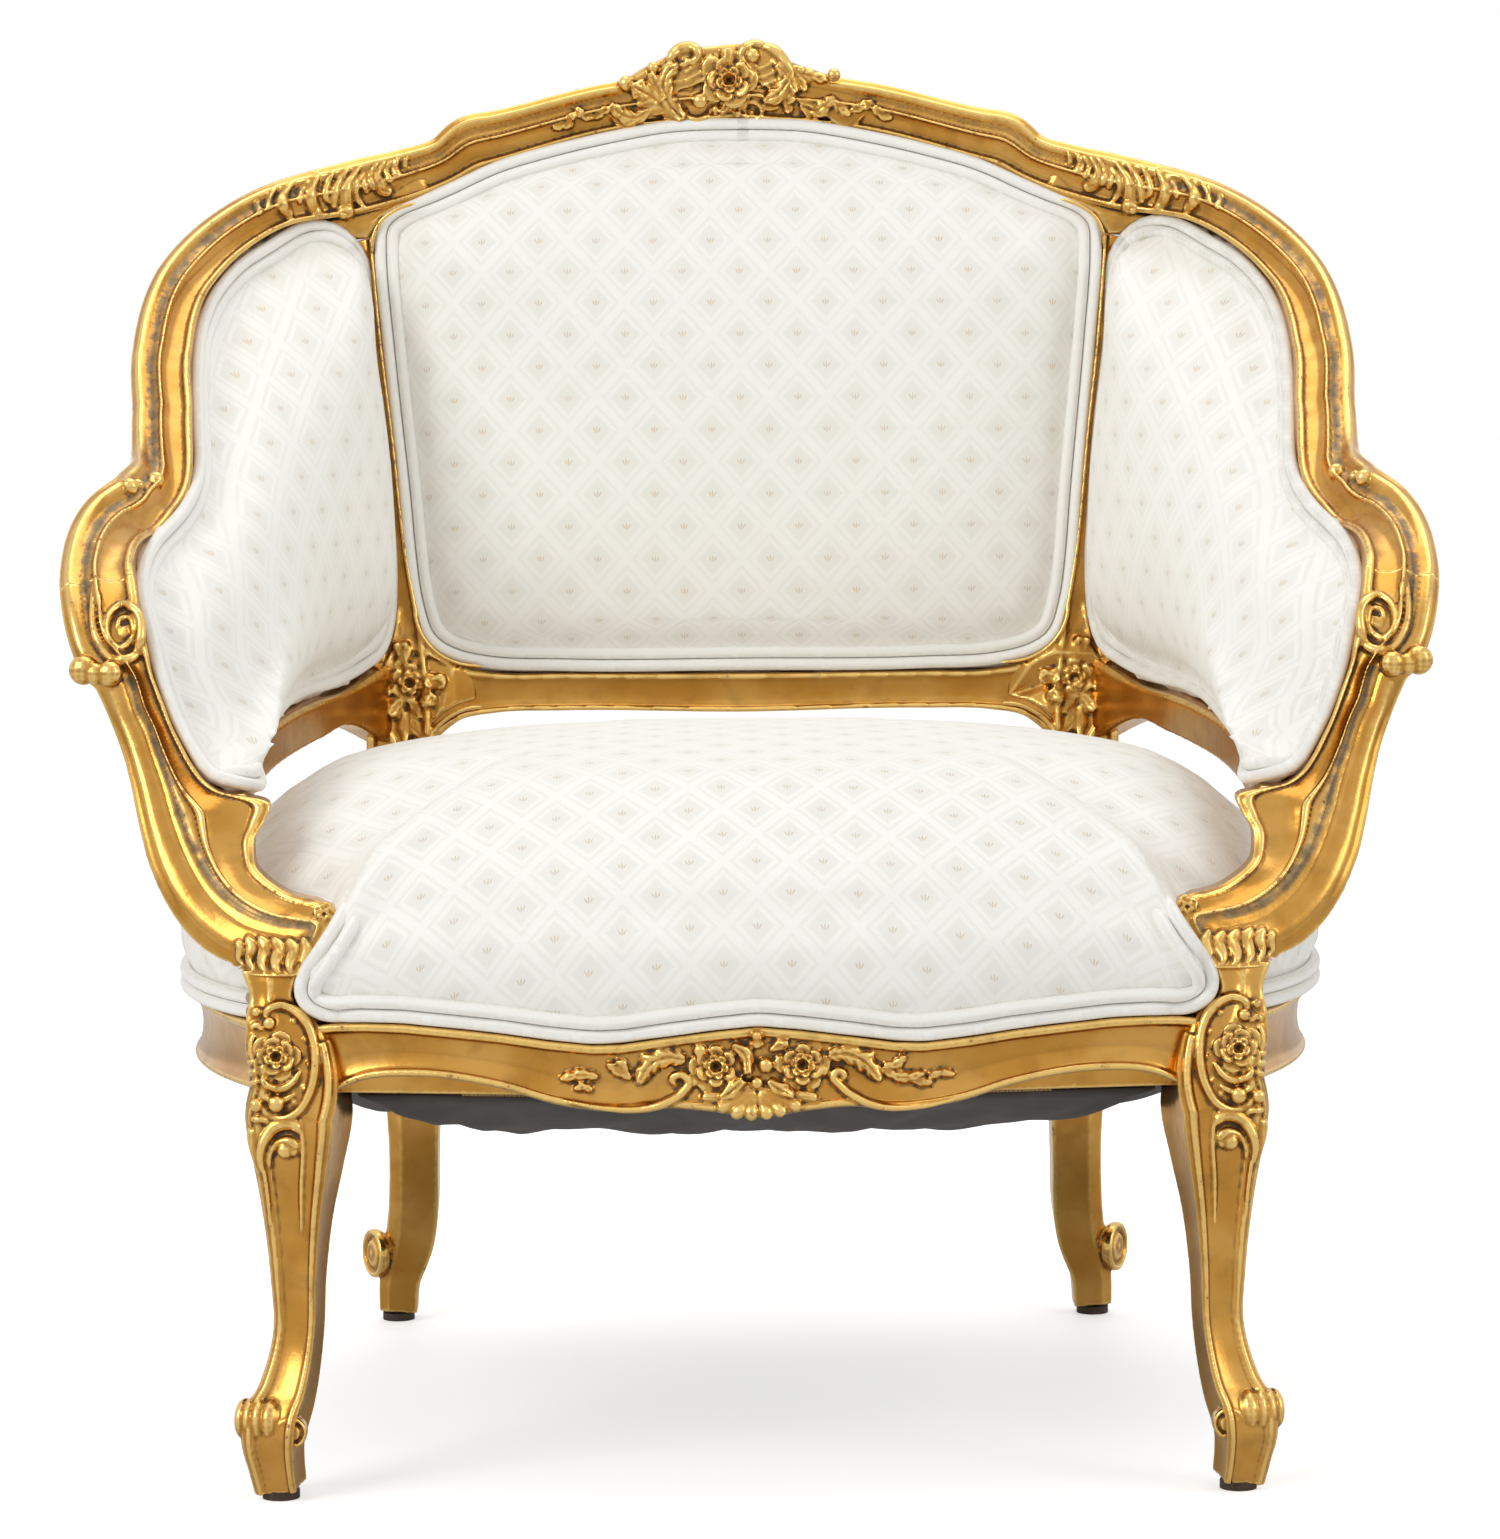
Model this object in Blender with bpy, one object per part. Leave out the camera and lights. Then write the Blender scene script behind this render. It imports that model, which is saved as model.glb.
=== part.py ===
"""Bergere armchair: a carved, gilded beech frame with a sprung seat, a padded back and padded wings.

Lengths are in metres. X runs across the chair, the front faces -Y and +Z is up. Left is the side
at -X. The origin is on the floor, in the middle of the chair's outline.
Tables give places as shares of the driving sizes, so they follow a change of those sizes.
"""
import math

import bmesh
import bpy
import numpy as np
from mathutils import Vector

# Driving sizes
WIDTH = 0.832
DEPTH = 0.630
HEIGHT = 0.878
HALF = WIDTH / 2

# Clearances
GAP = 0.0003
OVERRUN = 0.006
TENON_CLEARANCE = 0.0003

# Show wood: the face is the width across the moulding, the body is its depth
RAIL_FACE = 0.040
RAIL_BODY = 0.036
STILE_SIZE = 0.040
LEG_SIZE = 0.052
NECK_FACE = 0.035
NECK_BODY = 0.034
LOWER_RAIL_FACE = 0.027
LOWER_RAIL_BODY = 0.024
LEG_TURN = math.radians(16)
LEG_ACROSS = (math.cos(LEG_TURN), -math.sin(LEG_TURN), 0)
LEG_BEHIND = (math.sin(LEG_TURN), math.cos(LEG_TURN), 0)

# Seat rails
SEAT_LINE_SHARE = 0.3104
SEAT_LINE = SEAT_LINE_SHARE * HEIGHT
LIP_FACE = 0.040
SEAT_RAIL_BODY = 0.030
REBATE = 0.013
LIP_BODY = 0.018
RAIL_ABOVE_LINE = 0.026
RAIL_BELOW_LINE = 0.036
REAR_RAIL_BODY = 0.022
RAIL_END_SHARE = 0.25
LIP_ROUND = 0.003

# Tenons
TENON_THICK = 0.009
TENON_LONG = 0.012
TENON_TALL_SHARE = 0.6
SIDE_TENON_SHIFT_SHARE = 0.25

# Corner blocks and glides
BLOCK_TALL = 0.026
GLIDE_RADIUS = 0.011
GLIDE_THICK = 0.005
GLIDE_SIDES = 16

# Seat
CLOTH = 0.003
SEAT_TOP_SHARE = 0.4858
SEAT_CROWN = (SEAT_TOP_SHARE - SEAT_LINE_SHARE) * HEIGHT
SEAT_INSET = 0.008
SEAT_SWELL = 0.030
SEAT_PIPING_PLAY = 0.0005
SPRING_ROWS = 3
WEB_COUNT = 5
WEB_PITCH_X = 0.075
WEB_PITCH_Y = 0.0625
WEB_WIDE = 0.045
WEB_THICK = 0.0015
SPRING_WIRE = 0.0036
SPRING_END = 0.036
SPRING_WAIST = 0.020
SPRING_TURNS = 3
SPRING_STEPS = 8
SPRING_LEVEL_TURNS = 0.5
SPRING_FLARE = 1.5
SPRING_PROBES = 12
HESSIAN = 0.0015
STUFFING_THICK = 0.069
HESSIAN_CROWN = SEAT_CROWN - STUFFING_THICK
DUST_THICK = 0.002
DUST_SAG = 0.045
DUST_INSET = 0.034
DUST_SETTLING = 4

# Back and side pads; heights are above or below the pad's edge line, towards the sitter
BACK_CROWN = 0.036
SIDE_CROWN = 0.040
PAD_SETTLING = 2
PAD_LEDGE = 0.004
PAD_RIM = 0.012
PAD_OUTSET = 0.0015
LEDGE_WIDE = 0.0205
HESSIAN_BACK = 0.002
OUTSIDE_THICK = 0.003
PIPING_WIDE = 0.0164
PIPING_THICK = 0.008
PIPING_PLAY = 0.0012
PIPING_LIFT = 0.0007

# Where the crest rail, the wing rail and the arm support meet, as row numbers of FRAME_SHARES
CREST_SEAM = 6.55
ARM_SEAM = 16.0
SLOPE_STEP = 0.05
# The row of STILE_SHARES at the seat
STILE_SEAT_ROW = 6

# Fineness: points round each outline, steps between table rows, the angle of a sharp edge
SEAT_POINTS = 34
PAD_POINTS = 28
ROW_STEP = 1
SPARE_STEP_SHARE = 0.25
FINE_STEP = 1 / 6
WRAPPED_ROWS = 3
SMOOTH_ANGLE = math.radians(40)
STEEP_SHARE = 0.9
ALMOST_NONE = 1e-12

# Rings of a crowned or flat surface as shares of the way out from its middle, and the crown's curve
DOME_RING_SHARES = (1.0, 0.975, 0.88, 0.62, 0.10)
HESSIAN_RING_SHARES = (1.0, 0.9, 0.5, 0.1)
SHEET_RING_SHARES = (1.0, 0.1)
DUST_RING_SHARES = (0.1, 0.6, 0.85, 1.0)
DOME_ROUND = 2.5
DOME_EDGE = 3.16

UP = (0, 0, 1)
SIDES = (("left", 1), ("right", -1))

# The frame's show wood from the middle of the crest, over the wing and arm, to the foot of the
# arm support: x, y and z as shares of HALF, DEPTH and HEIGHT, then the face as a share of RAIL_FACE
FRAME_SHARES = [
    (0.000, 0.500, 0.961, 0.83),
    (-0.216, 0.494, 0.950, 0.80),
    (-0.397, 0.479, 0.928, 0.85),
    (-0.440, 0.475, 0.923, 0.90),
    (-0.486, 0.470, 0.909, 0.78),
    (-0.543, 0.460, 0.899, 0.83),
    (-0.615, 0.447, 0.890, 0.88),
    (-0.748, 0.397, 0.874, 0.75),
    (-0.826, 0.337, 0.850, 0.78),
    (-0.882, 0.270, 0.817, 0.85),
    (-0.904, 0.159, 0.757, 0.92),
    (-0.892, 0.079, 0.712, 0.92),
    (-0.889, -0.008, 0.670, 0.95),
    (-0.911, -0.063, 0.654, 1.02),
    (-0.938, -0.111, 0.640, 1.07),
    (-0.948, -0.190, 0.612, 1.07),
    (-0.942, -0.222, 0.597, 1.10),
    (-0.923, -0.257, 0.564, 1.07),
    (-0.886, -0.267, 0.522, 0.83),
    (-0.852, -0.283, 0.488, 0.83),
    (-0.832, -0.297, 0.467, 1.05),
    (-0.791, -0.322, 0.433, 1.40),
    (-0.774, -0.338, 0.412, 1.40),
    (-0.736, -0.365, 0.385, 1.55),
    (-0.690, -0.392, 0.345, 1.30),
]

# Rear leg and stile: x, y, z, then width and depth as shares of STILE_SIZE
STILE_SHARES = [
    (-0.579, 0.422, 0.007, 0.65, 0.65),
    (-0.576, 0.422, 0.032, 0.70, 0.70),
    (-0.563, 0.416, 0.057, 0.80, 0.80),
    (-0.553, 0.403, 0.080, 0.85, 0.83),
    (-0.547, 0.387, 0.131, 0.85, 0.85),
    (-0.549, 0.383, 0.205, 0.95, 0.97),
    (-0.555, 0.381, 0.342, 1.00, 1.00),
    (-0.561, 0.381, 0.438, 1.10, 0.95),
    (-0.561, 0.384, 0.484, 1.10, 0.90),
    (-0.559, 0.390, 0.530, 0.85, 0.80),
    (-0.563, 0.402, 0.604, 0.57, 0.70),
    (-0.572, 0.417, 0.692, 0.53, 0.67),
    (-0.594, 0.433, 0.763, 0.53, 0.67),
    (-0.625, 0.452, 0.847, 0.60, 0.67),
]

# Front leg up to the seat line: x, y, z, then width and depth as shares of LEG_SIZE
LEG_SHARES = [
    (-0.675, -0.429, 0.007, 0.48, 0.48),
    (-0.680, -0.432, 0.023, 0.52, 0.52),
    (-0.683, -0.435, 0.046, 0.60, 0.60),
    (-0.666, -0.424, 0.068, 0.54, 0.54),
    (-0.649, -0.411, 0.108, 0.47, 0.47),
    (-0.648, -0.408, 0.148, 0.52, 0.52),
    (-0.647, -0.407, 0.188, 0.65, 0.65),
    (-0.645, -0.406, 0.222, 0.83, 0.83),
    (-0.644, -0.405, 0.251, 0.98, 0.98),
    (-0.644, -0.405, 0.270, 1.00, 1.00),
    (-0.644, -0.405, SEAT_LINE_SHARE, 1.00, 1.00),
]
NECK_SHARES = (-0.684, -0.404, 0.351)

# Rails round the opening below the back pad and the wings: x, y, z, face as a share of its size
LOWER_BACK_SHARES = [
    (0.000, 0.413, 0.495, 1.00),
    (-0.298, 0.402, 0.497, 0.96),
    (-0.409, 0.395, 0.497, 1.04),
    (-0.469, 0.392, 0.497, 1.41),
    (-0.535, 0.387, 0.493, 2.59),
]
LOWER_SIDE_SHARES = [
    (-0.590, 0.386, 0.490, 2.22),
    (-0.644, 0.325, 0.491, 1.11),
    (-0.697, 0.190, 0.487, 0.93),
    (-0.722, 0.127, 0.483, 0.96),
    (-0.755, 0.016, 0.474, 0.96),
    (-0.769, -0.111, 0.462, 1.04),
    (-0.762, -0.206, 0.453, 1.19),
    (-0.750, -0.310, 0.442, 1.41),
]

# Face line of the seat rails with the lip's middle height and its face as a share of LIP_FACE
FRONT_LIP_SHARES = [
    (0.000, -0.476, 0.288, 1.35),
    (-0.064, -0.475, 0.288, 1.18),
    (-0.133, -0.473, 0.288, 1.07),
    (-0.190, -0.471, 0.284, 1.00),
    (-0.275, -0.464, 0.286, 0.92),
    (-0.358, -0.457, 0.294, 0.80),
    (-0.478, -0.446, 0.298, 0.65),
    (-0.550, -0.439, 0.297, 0.72),
    (-0.625, -0.432, 0.288, 1.00),
]
SIDE_LIP_SHARES = [
    (-0.675, -0.400, 0.288, 0.95),
    (-0.745, -0.302, 0.282, 0.80),
    (-0.811, -0.175, 0.277, 0.65),
    (-0.843, -0.032, 0.275, 0.59),
    (-0.831, 0.111, 0.275, 0.59),
    (-0.764, 0.238, 0.275, 0.61),
    (-0.661, 0.330, 0.277, 0.70),
    (-0.560, 0.392, 0.278, 0.75),
]
REAR_RAIL_PLACE_SHARE = 0.386

# Corner blocks inside the seat frame: x and y
BLOCK_FRONT_SHARES = [(-0.644, -0.405), (-0.410, -0.397), (-0.757, -0.245)]
BLOCK_REAR_SHARES = [(-0.555, 0.381), (-0.690, 0.262), (-0.370, 0.381)]

# Outline of the seat cushion, half of it: x and y
SEAT_PLAN_SHARES = [
    (0.000, -0.481),
    (-0.192, -0.476),
    (-0.385, -0.461),
    (-0.541, -0.444),
    (-0.588, -0.425),
    (-0.600, -0.380),
    (-0.640, -0.350),
    (-0.709, -0.329),
    (-0.781, -0.262),
    (-0.837, -0.159),
    (-0.862, -0.032),
    (-0.851, 0.095),
    (-0.800, 0.214),
    (-0.709, 0.302),
    (-0.620, 0.334),
    (-0.565, 0.336),
    (-0.510, 0.340),
    (-0.484, 0.368),
    (-0.472, 0.416),
    (-0.288, 0.422),
    (0.000, 0.425),
]
SEAT_MIDDLE_SHARE = -0.03
# Where the seat's piping runs: widest x and nearest y at the front and rear, y range at the sides
FRONT_RUN_SHARES = (0.565, -0.410)
REAR_RUN_SHARES = (0.450, 0.400)
SIDE_RUN_SHARES = (-0.318, 0.320)

# Edge of the back pad, half of it, and of the side pad, all round: x, y, z
BACK_EDGE_SHARES = [
    (0.000, 0.500, 0.942),
    (-0.118, 0.497, 0.940),
    (-0.202, 0.492, 0.933),
    (-0.320, 0.484, 0.920),
    (-0.404, 0.476, 0.908),
    (-0.476, 0.468, 0.892),
    (-0.526, 0.465, 0.882),
    (-0.560, 0.460, 0.876),
    (-0.584, 0.456, 0.868),
    (-0.599, 0.452, 0.858),
    (-0.600, 0.449, 0.846),
    (-0.588, 0.437, 0.763),
    (-0.576, 0.425, 0.708),
    (-0.562, 0.410, 0.647),
    (-0.553, 0.400, 0.600),
    (-0.541, 0.394, 0.562),
    (-0.519, 0.390, 0.534),
    (-0.478, 0.389, 0.521),
    (-0.430, 0.392, 0.515),
    (-0.298, 0.402, 0.511),
    (0.000, 0.413, 0.510),
]
SIDE_EDGE_SHARES = [
    (-0.645, 0.446, 0.847),
    (-0.671, 0.438, 0.860),
    (-0.712, 0.421, 0.863),
    (-0.744, 0.397, 0.856),
    (-0.776, 0.368, 0.846),
    (-0.808, 0.337, 0.835),
    (-0.832, 0.302, 0.820),
    (-0.851, 0.270, 0.804),
    (-0.862, 0.238, 0.786),
    (-0.863, 0.198, 0.769),
    (-0.861, 0.159, 0.749),
    (-0.849, 0.079, 0.707),
    (-0.841, 0.032, 0.683),
    (-0.844, -0.013, 0.665),
    (-0.859, -0.063, 0.649),
    (-0.885, -0.111, 0.634),
    (-0.897, -0.175, 0.613),
    (-0.893, -0.214, 0.596),
    (-0.880, -0.243, 0.576),
    (-0.862, -0.262, 0.544),
    (-0.843, -0.270, 0.518),
    (-0.813, -0.283, 0.492),
    (-0.784, -0.295, 0.474),
    (-0.748, -0.298, 0.466),
    (-0.721, -0.286, 0.461),
    (-0.725, -0.206, 0.471),
    (-0.732, -0.111, 0.478),
    (-0.730, 0.016, 0.488),
    (-0.716, 0.127, 0.499),
    (-0.698, 0.190, 0.502),
    (-0.660, 0.270, 0.505),
    (-0.627, 0.333, 0.513),
    (-0.601, 0.371, 0.526),
    (-0.589, 0.389, 0.552),
    (-0.586, 0.396, 0.581),
    (-0.589, 0.408, 0.625),
    (-0.599, 0.421, 0.692),
    (-0.620, 0.436, 0.763),
]
BACK_NORMAL = (0.0, -0.99, 0.14)
SIDE_NORMAL = (0.93, -0.32, 0.2)

# Carved crown on the crest and the filled corner above the stile: x and z
CROWN_SHARES = [
    (-0.235, 0.955),
    (-0.197, 0.969),
    (-0.154, 0.982),
    (-0.091, 0.996),
    (-0.008, 1.000),
    (0.031, 0.999),
    (0.077, 0.988),
    (0.111, 0.982),
    (0.175, 0.972),
    (0.235, 0.955),
]
CROWN_BODY_SHARE = 0.8
CORNER_SHARES = [
    (-0.662, 0.8485),
    (-0.604, 0.8485),
    (-0.596, 0.862),
    (-0.575, 0.874),
    (-0.526, 0.885),
    (-0.470, 0.896),
    (-0.520, 0.912),
    (-0.640, 0.905),
    (-0.700, 0.885),
]
CORNER_DEPTH_SHARES = (0.428, 0.476)

# Unit sections: first across the face (towards the pad), then from back to front
MOULDED_SHARES = [
    (-0.50, -0.34), (-0.38, -0.50), (0.42, -0.50), (0.50, -0.40), (0.50, 0.22),
    (0.38, 0.30), (0.05, 0.24), (-0.14, 0.44), (-0.34, 0.50), (-0.50, 0.30),
]
SQUARE_SHARES = [
    (-0.50, -0.40), (-0.40, -0.50), (0.40, -0.50), (0.50, -0.40),
    (0.50, 0.40), (0.40, 0.50), (-0.40, 0.50), (-0.50, 0.40),
]
CORD_PAIR_SHARES = [
    (0.50, 0.00), (0.26, 0.50), (-0.26, 0.50), (-0.50, 0.00), (-0.26, -0.50), (0.26, -0.50),
]

# Colour, metallic and roughness
GILT = ((0.72, 0.47, 0.13), 0.9, 0.34)
BEECH = ((0.42, 0.27, 0.15), 0.0, 0.62)
DAMASK = ((0.78, 0.75, 0.69), 0.0, 0.72)
HEMP = ((0.50, 0.38, 0.22), 0.0, 0.90)
HAIR = ((0.20, 0.15, 0.10), 0.0, 0.95)
STEEL = ((0.36, 0.34, 0.32), 1.0, 0.40)
CAMBRIC = ((0.05, 0.045, 0.04), 0.0, 0.95)
GLIDE_NYLON = ((0.07, 0.05, 0.04), 0.0, 0.50)


def clear_scene():
    for old in list(bpy.data.objects):
        bpy.data.objects.remove(old, do_unlink=True)


def to_metres(rows):
    """Table rows with x, y and z turned from shares to metres."""
    places = np.array(rows, dtype=float)
    places[:, :3] *= (HALF, DEPTH, HEIGHT)
    return places


def mirrored(rows):
    """Half a symmetric run, which starts in the middle, made whole from right to left."""
    other = rows[:0:-1].copy()
    other[:, 0] *= -1
    return np.vstack([other, rows])


def curve(rows):
    """A smooth curve through the rows, as a function of the row number."""
    spans = np.linalg.norm(np.diff(rows[:, :3], axis=0), axis=1)[:, None]
    slopes = np.diff(rows, axis=0) / spans
    ahead = spans[1:]
    behind = spans[:-1]
    middle = (slopes[:-1] * ahead + slopes[1:] * behind) / (ahead + behind)
    tangents = np.vstack([slopes[:1], middle, slopes[-1:]])

    def at(place):
        first = min(int(place), len(rows) - 2)
        t = place - first
        start = rows[first] * (2 * t ** 3 - 3 * t ** 2 + 1)
        stop = rows[first + 1] * (3 * t ** 2 - 2 * t ** 3)
        leave = tangents[first] * (t ** 3 - 2 * t ** 2 + t)
        arrive = tangents[first + 1] * (t ** 3 - t ** 2)
        return start + stop + (leave + arrive) * spans[first]

    return at


def stops(start, stop, step):
    """Row numbers from start to stop, at each whole step between that is not too near an end."""
    first = math.floor(start / step + 1 + SPARE_STEP_SHARE)
    last = math.ceil(stop / step - 1 - SPARE_STEP_SHARE)
    return [start] + [count * step for count in range(first, last + 1)] + [stop]


def sample(rows, start=0, stop=None, step=ROW_STEP):
    at = curve(rows)
    last = len(rows) - 1 if stop is None else stop
    return np.array([at(place) for place in stops(start, last, step)])


def closed_curve(rows, count):
    """The smooth closed curve through the rows, as points at equal steps along it."""
    wrapped = np.vstack([rows[-WRAPPED_ROWS:], rows, rows[:WRAPPED_ROWS + 1]])
    fine = sample(wrapped, WRAPPED_ROWS, WRAPPED_ROWS + len(rows), FINE_STEP)
    lengths = np.linalg.norm(np.diff(fine[:, :3], axis=0), axis=1)
    along = np.concatenate([[0], np.cumsum(lengths)])
    marks = np.arange(count) * along[-1] / count
    return np.column_stack([np.interp(marks, along, fine[:, axis]) for axis in range(3)])


def unit(vectors):
    return vectors / np.linalg.norm(vectors, axis=-1, keepdims=True)


def directions(points, closed=False):
    if closed:
        return unit(np.roll(points, -1, axis=0) - np.roll(points, 1, axis=0))
    return unit(np.gradient(points, axis=0))


def picture_across(tangents):
    """Across the run as the front view shows it, for members that bend in every direction."""
    across = np.column_stack([-tangents[:, 2], np.zeros(len(tangents)), tangents[:, 0]])
    return unit(across)


def fixed_across(direction):
    def rule(tangents):
        fixed = np.array(direction, dtype=float)
        along = tangents @ fixed
        return unit(fixed - tangents * along[:, None])
    return rule


def rings_of(points, across, sections, closed=False, tangents=None):
    """One ring of points for each place: the section lies across the run."""
    if tangents is None:
        tangents = directions(points, closed)
    wide = across(tangents)
    deep = np.cross(tangents, wide)
    rings = []
    for place, side, face, section in zip(points, wide, deep, sections):
        rings.append([place + side * u + face * v for u, v in section])
    return rings


def swept(rows, across, profile, body, grow=0.0, tangents=None):
    """A member along rows of x, y, z, face and maybe depth, larger by grow all round."""
    unit_section = np.array(profile)
    sections = []
    for row in rows:
        depth = row[4] if len(row) > 4 else body
        sections.append(unit_section * (row[3] + 2 * grow, depth + 2 * grow))
    return skin(rings_of(rows[:, :3], across, sections, False, tangents))


def skin(rings, closed=False, tips=False):
    """A closed mesh over the rings; its ends are flat, or tips, or joined into one closed run."""
    mesh = bmesh.new()
    loops = [[mesh.verts.new(Vector(point)) for point in ring] for ring in rings]
    count = len(loops[0])
    pairs = list(zip(loops, loops[1:]))
    if closed:
        pairs.append((loops[-1], loops[0]))
    for one, two in pairs:
        for corner in range(count):
            after = (corner + 1) % count
            mesh.faces.new((one[corner], one[after], two[after]))
            mesh.faces.new((one[corner], two[after], two[corner]))
    for ends in ((0, -1) if not closed else ()):
        if not tips:
            mesh.faces.new(loops[ends])
            continue
        tip = mesh.verts.new(Vector(np.mean(rings[ends], axis=0)))
        for corner in range(count):
            mesh.faces.new((loops[ends][corner], loops[ends][(corner + 1) % count], tip))
    return facing_out(mesh)


def facing_out(mesh):
    bmesh.ops.recalc_face_normals(mesh, faces=mesh.faces)
    if mesh.calc_volume(signed=True) < 0:
        bmesh.ops.reverse_faces(mesh, faces=mesh.faces)
    return mesh


def prism(outline, low, high, place):
    """An outline pushed from low to high; place turns (a, b, height) into a point."""
    rings = [[place(a, b, level) for a, b in outline] for level in (low, high)]
    return skin(rings)


def box(middle, half_axes):
    """A box from its middle and its three half-length vectors."""
    one, two, three = (np.array(axis) for axis in half_axes)
    corners = [one + two, one - two, -one - two, -one + two]
    rings = [[np.array(middle) + corner + side * three for corner in corners] for side in (-1, 1)]
    return skin(rings)


def trimmed(mesh, point, normal):
    """Cuts away what lies past the plane and closes the cut."""
    parts = mesh.verts[:] + mesh.edges[:] + mesh.faces[:]
    cut = bmesh.ops.bisect_plane(
        mesh, geom=parts, plane_co=Vector(point), plane_no=Vector(normal), clear_outer=True
    )
    edges = [part for part in cut["geom_cut"] if isinstance(part, bmesh.types.BMEdge)]
    bmesh.ops.edgeloop_fill(mesh, edges=edges)
    return facing_out(mesh)


def on_side(mesh, side):
    """Shapes are drawn for the left; side is -1 for a mirrored copy on the right."""
    if side < 0:
        for vert in mesh.verts:
            vert.co.x = -vert.co.x
        facing_out(mesh)
    return mesh


def material(name, look):
    found = bpy.data.materials.get(name)
    if found:
        return found
    made = bpy.data.materials.new(name)
    made.use_nodes = True
    shader = made.node_tree.nodes["Principled BSDF"]
    colour, metallic, roughness = look
    shader.inputs["Base Color"].default_value = (*colour, 1)
    shader.inputs["Metallic"].default_value = metallic
    shader.inputs["Roughness"].default_value = roughness
    made.diffuse_color = (*colour, 1)
    return made


def place_object(name, mesh, look):
    """Puts the mesh in the scene as a named object with its own material."""
    data = bpy.data.meshes.new(name)
    mesh.to_mesh(data)
    mesh.free()
    data.materials.append(material(name, look))
    data.shade_smooth()
    data.set_sharp_from_angle(angle=SMOOTH_ANGLE)
    piece = bpy.data.objects.new(name, data)
    bpy.context.scene.collection.objects.link(piece)
    return piece


def helper(name, mesh):
    """An object that only shapes others."""
    piece = place_object(name, mesh, BEECH)
    piece.hide_render = True
    piece.display_type = 'WIRE'
    return piece


def shape_with(piece, tool, operation):
    step = piece.modifiers.new(tool.name, 'BOOLEAN')
    step.operation = operation
    step.object = tool
    step.solver = 'EXACT'


def cut(piece, *tools):
    for tool in tools:
        shape_with(piece, tool, 'DIFFERENCE')


def join(piece, *tools):
    for tool in tools:
        shape_with(piece, tool, 'UNION')


def frame_curve():
    rows = to_metres(FRAME_SHARES)
    rows[:, 3] *= RAIL_FACE
    return curve(rows)


def frame_slope(place):
    """Direction of the frame's run at a row number."""
    at = frame_curve()
    ahead = min(place + SLOPE_STEP, len(FRAME_SHARES) - 1)
    return unit(at(ahead)[:3] - at(place - SLOPE_STEP)[:3])


def frame_run(start, stop, first_gap, last_gap):
    """Rows and directions of a stretch of the frame, drawn back from its seams."""
    places = stops(start, stop, ROW_STEP)
    at = frame_curve()
    rows = np.array([at(place) for place in places])
    slopes = np.array([frame_slope(place) for place in places])
    rows[0, :3] += slopes[0] * first_gap
    rows[-1, :3] -= slopes[-1] * last_gap
    return rows, slopes


def arm_support_mesh(grow=0.0):
    """Runs down from the arm seam; its foot is level, on top of the leg's neck."""
    rows, slopes = frame_run(ARM_SEAM, len(FRAME_SHARES) - 1, GAP / 2 - grow, 0)
    mesh = swept(rows, picture_across, MOULDED_SHARES, RAIL_BODY, grow, slopes)
    foot = NECK_SHARES[2] * HEIGHT + GAP / 2 - grow
    return trimmed(mesh, (0, 0, foot), (0, 0, -1))


def wing_rail_mesh(grow=0.0):
    end = GAP / 2 - grow
    rows, slopes = frame_run(CREST_SEAM, ARM_SEAM, end, end)
    return swept(rows, picture_across, MOULDED_SHARES, RAIL_BODY, grow, slopes)


def crest_mesh(grow=0.0):
    half, slopes = frame_run(0, CREST_SEAM, 0, GAP / 2 - grow)
    slopes[0] = (-1, 0, 0)
    other = slopes[:0:-1] * (1, -1, -1)
    slopes = np.vstack([other, slopes])
    return swept(mirrored(half), picture_across, MOULDED_SHARES, RAIL_BODY, grow, slopes)


def crest_corner_mesh(side, grow=0.0):
    low, high = (share * DEPTH for share in CORNER_DEPTH_SHARES)
    outline = np.array([(a * HALF, 0, b * HEIGHT) for a, b in CORNER_SHARES])
    outline = inset(outline, (0, 1, 0), -grow)
    mesh = prism(outline[:, (0, 2)], low - grow, high + grow, lambda x, z, y: (x, y, z))
    return on_side(mesh, side)


def crest_crown_mesh():
    crest = curve(to_metres(FRAME_SHARES))(0)
    reach = RAIL_BODY * CROWN_BODY_SHARE / 2

    def place(a, b, depth):
        return (a * HALF, depth, b * HEIGHT)

    return prism(CROWN_SHARES, crest[1] - reach, crest[1] + reach, place)


def stile_rows():
    rows = to_metres(STILE_SHARES)
    rows[:, 3:5] *= STILE_SIZE
    return sample(rows)


def footed(mesh, grow):
    """Cuts a leg off level, just over its glide."""
    return trimmed(mesh, (0, 0, GLIDE_THICK + GAP - grow), (0, 0, -1))


def stile_mesh(grow=0.0):
    rows = stile_rows()
    rows[0, 2] -= OVERRUN
    rows[-1, :3] += unit(rows[-1, :3] - rows[-2, :3]) * OVERRUN
    mesh = footed(swept(rows, fixed_across((1, 0, 0)), SQUARE_SHARES, STILE_SIZE, grow), grow)
    top = CORNER_SHARES[0][1] * HEIGHT - GAP + grow
    return trimmed(mesh, (0, 0, top), UP)


def leg_mesh(grow=0.0):
    rows = to_metres(LEG_SHARES)
    rows[:, 3:5] *= LEG_SIZE
    rows = sample(rows)
    rows[0, 2] -= OVERRUN
    rows[-1, 2] += grow
    return footed(swept(rows, fixed_across(LEG_ACROSS), SQUARE_SHARES, LEG_SIZE, grow), grow)


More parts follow.
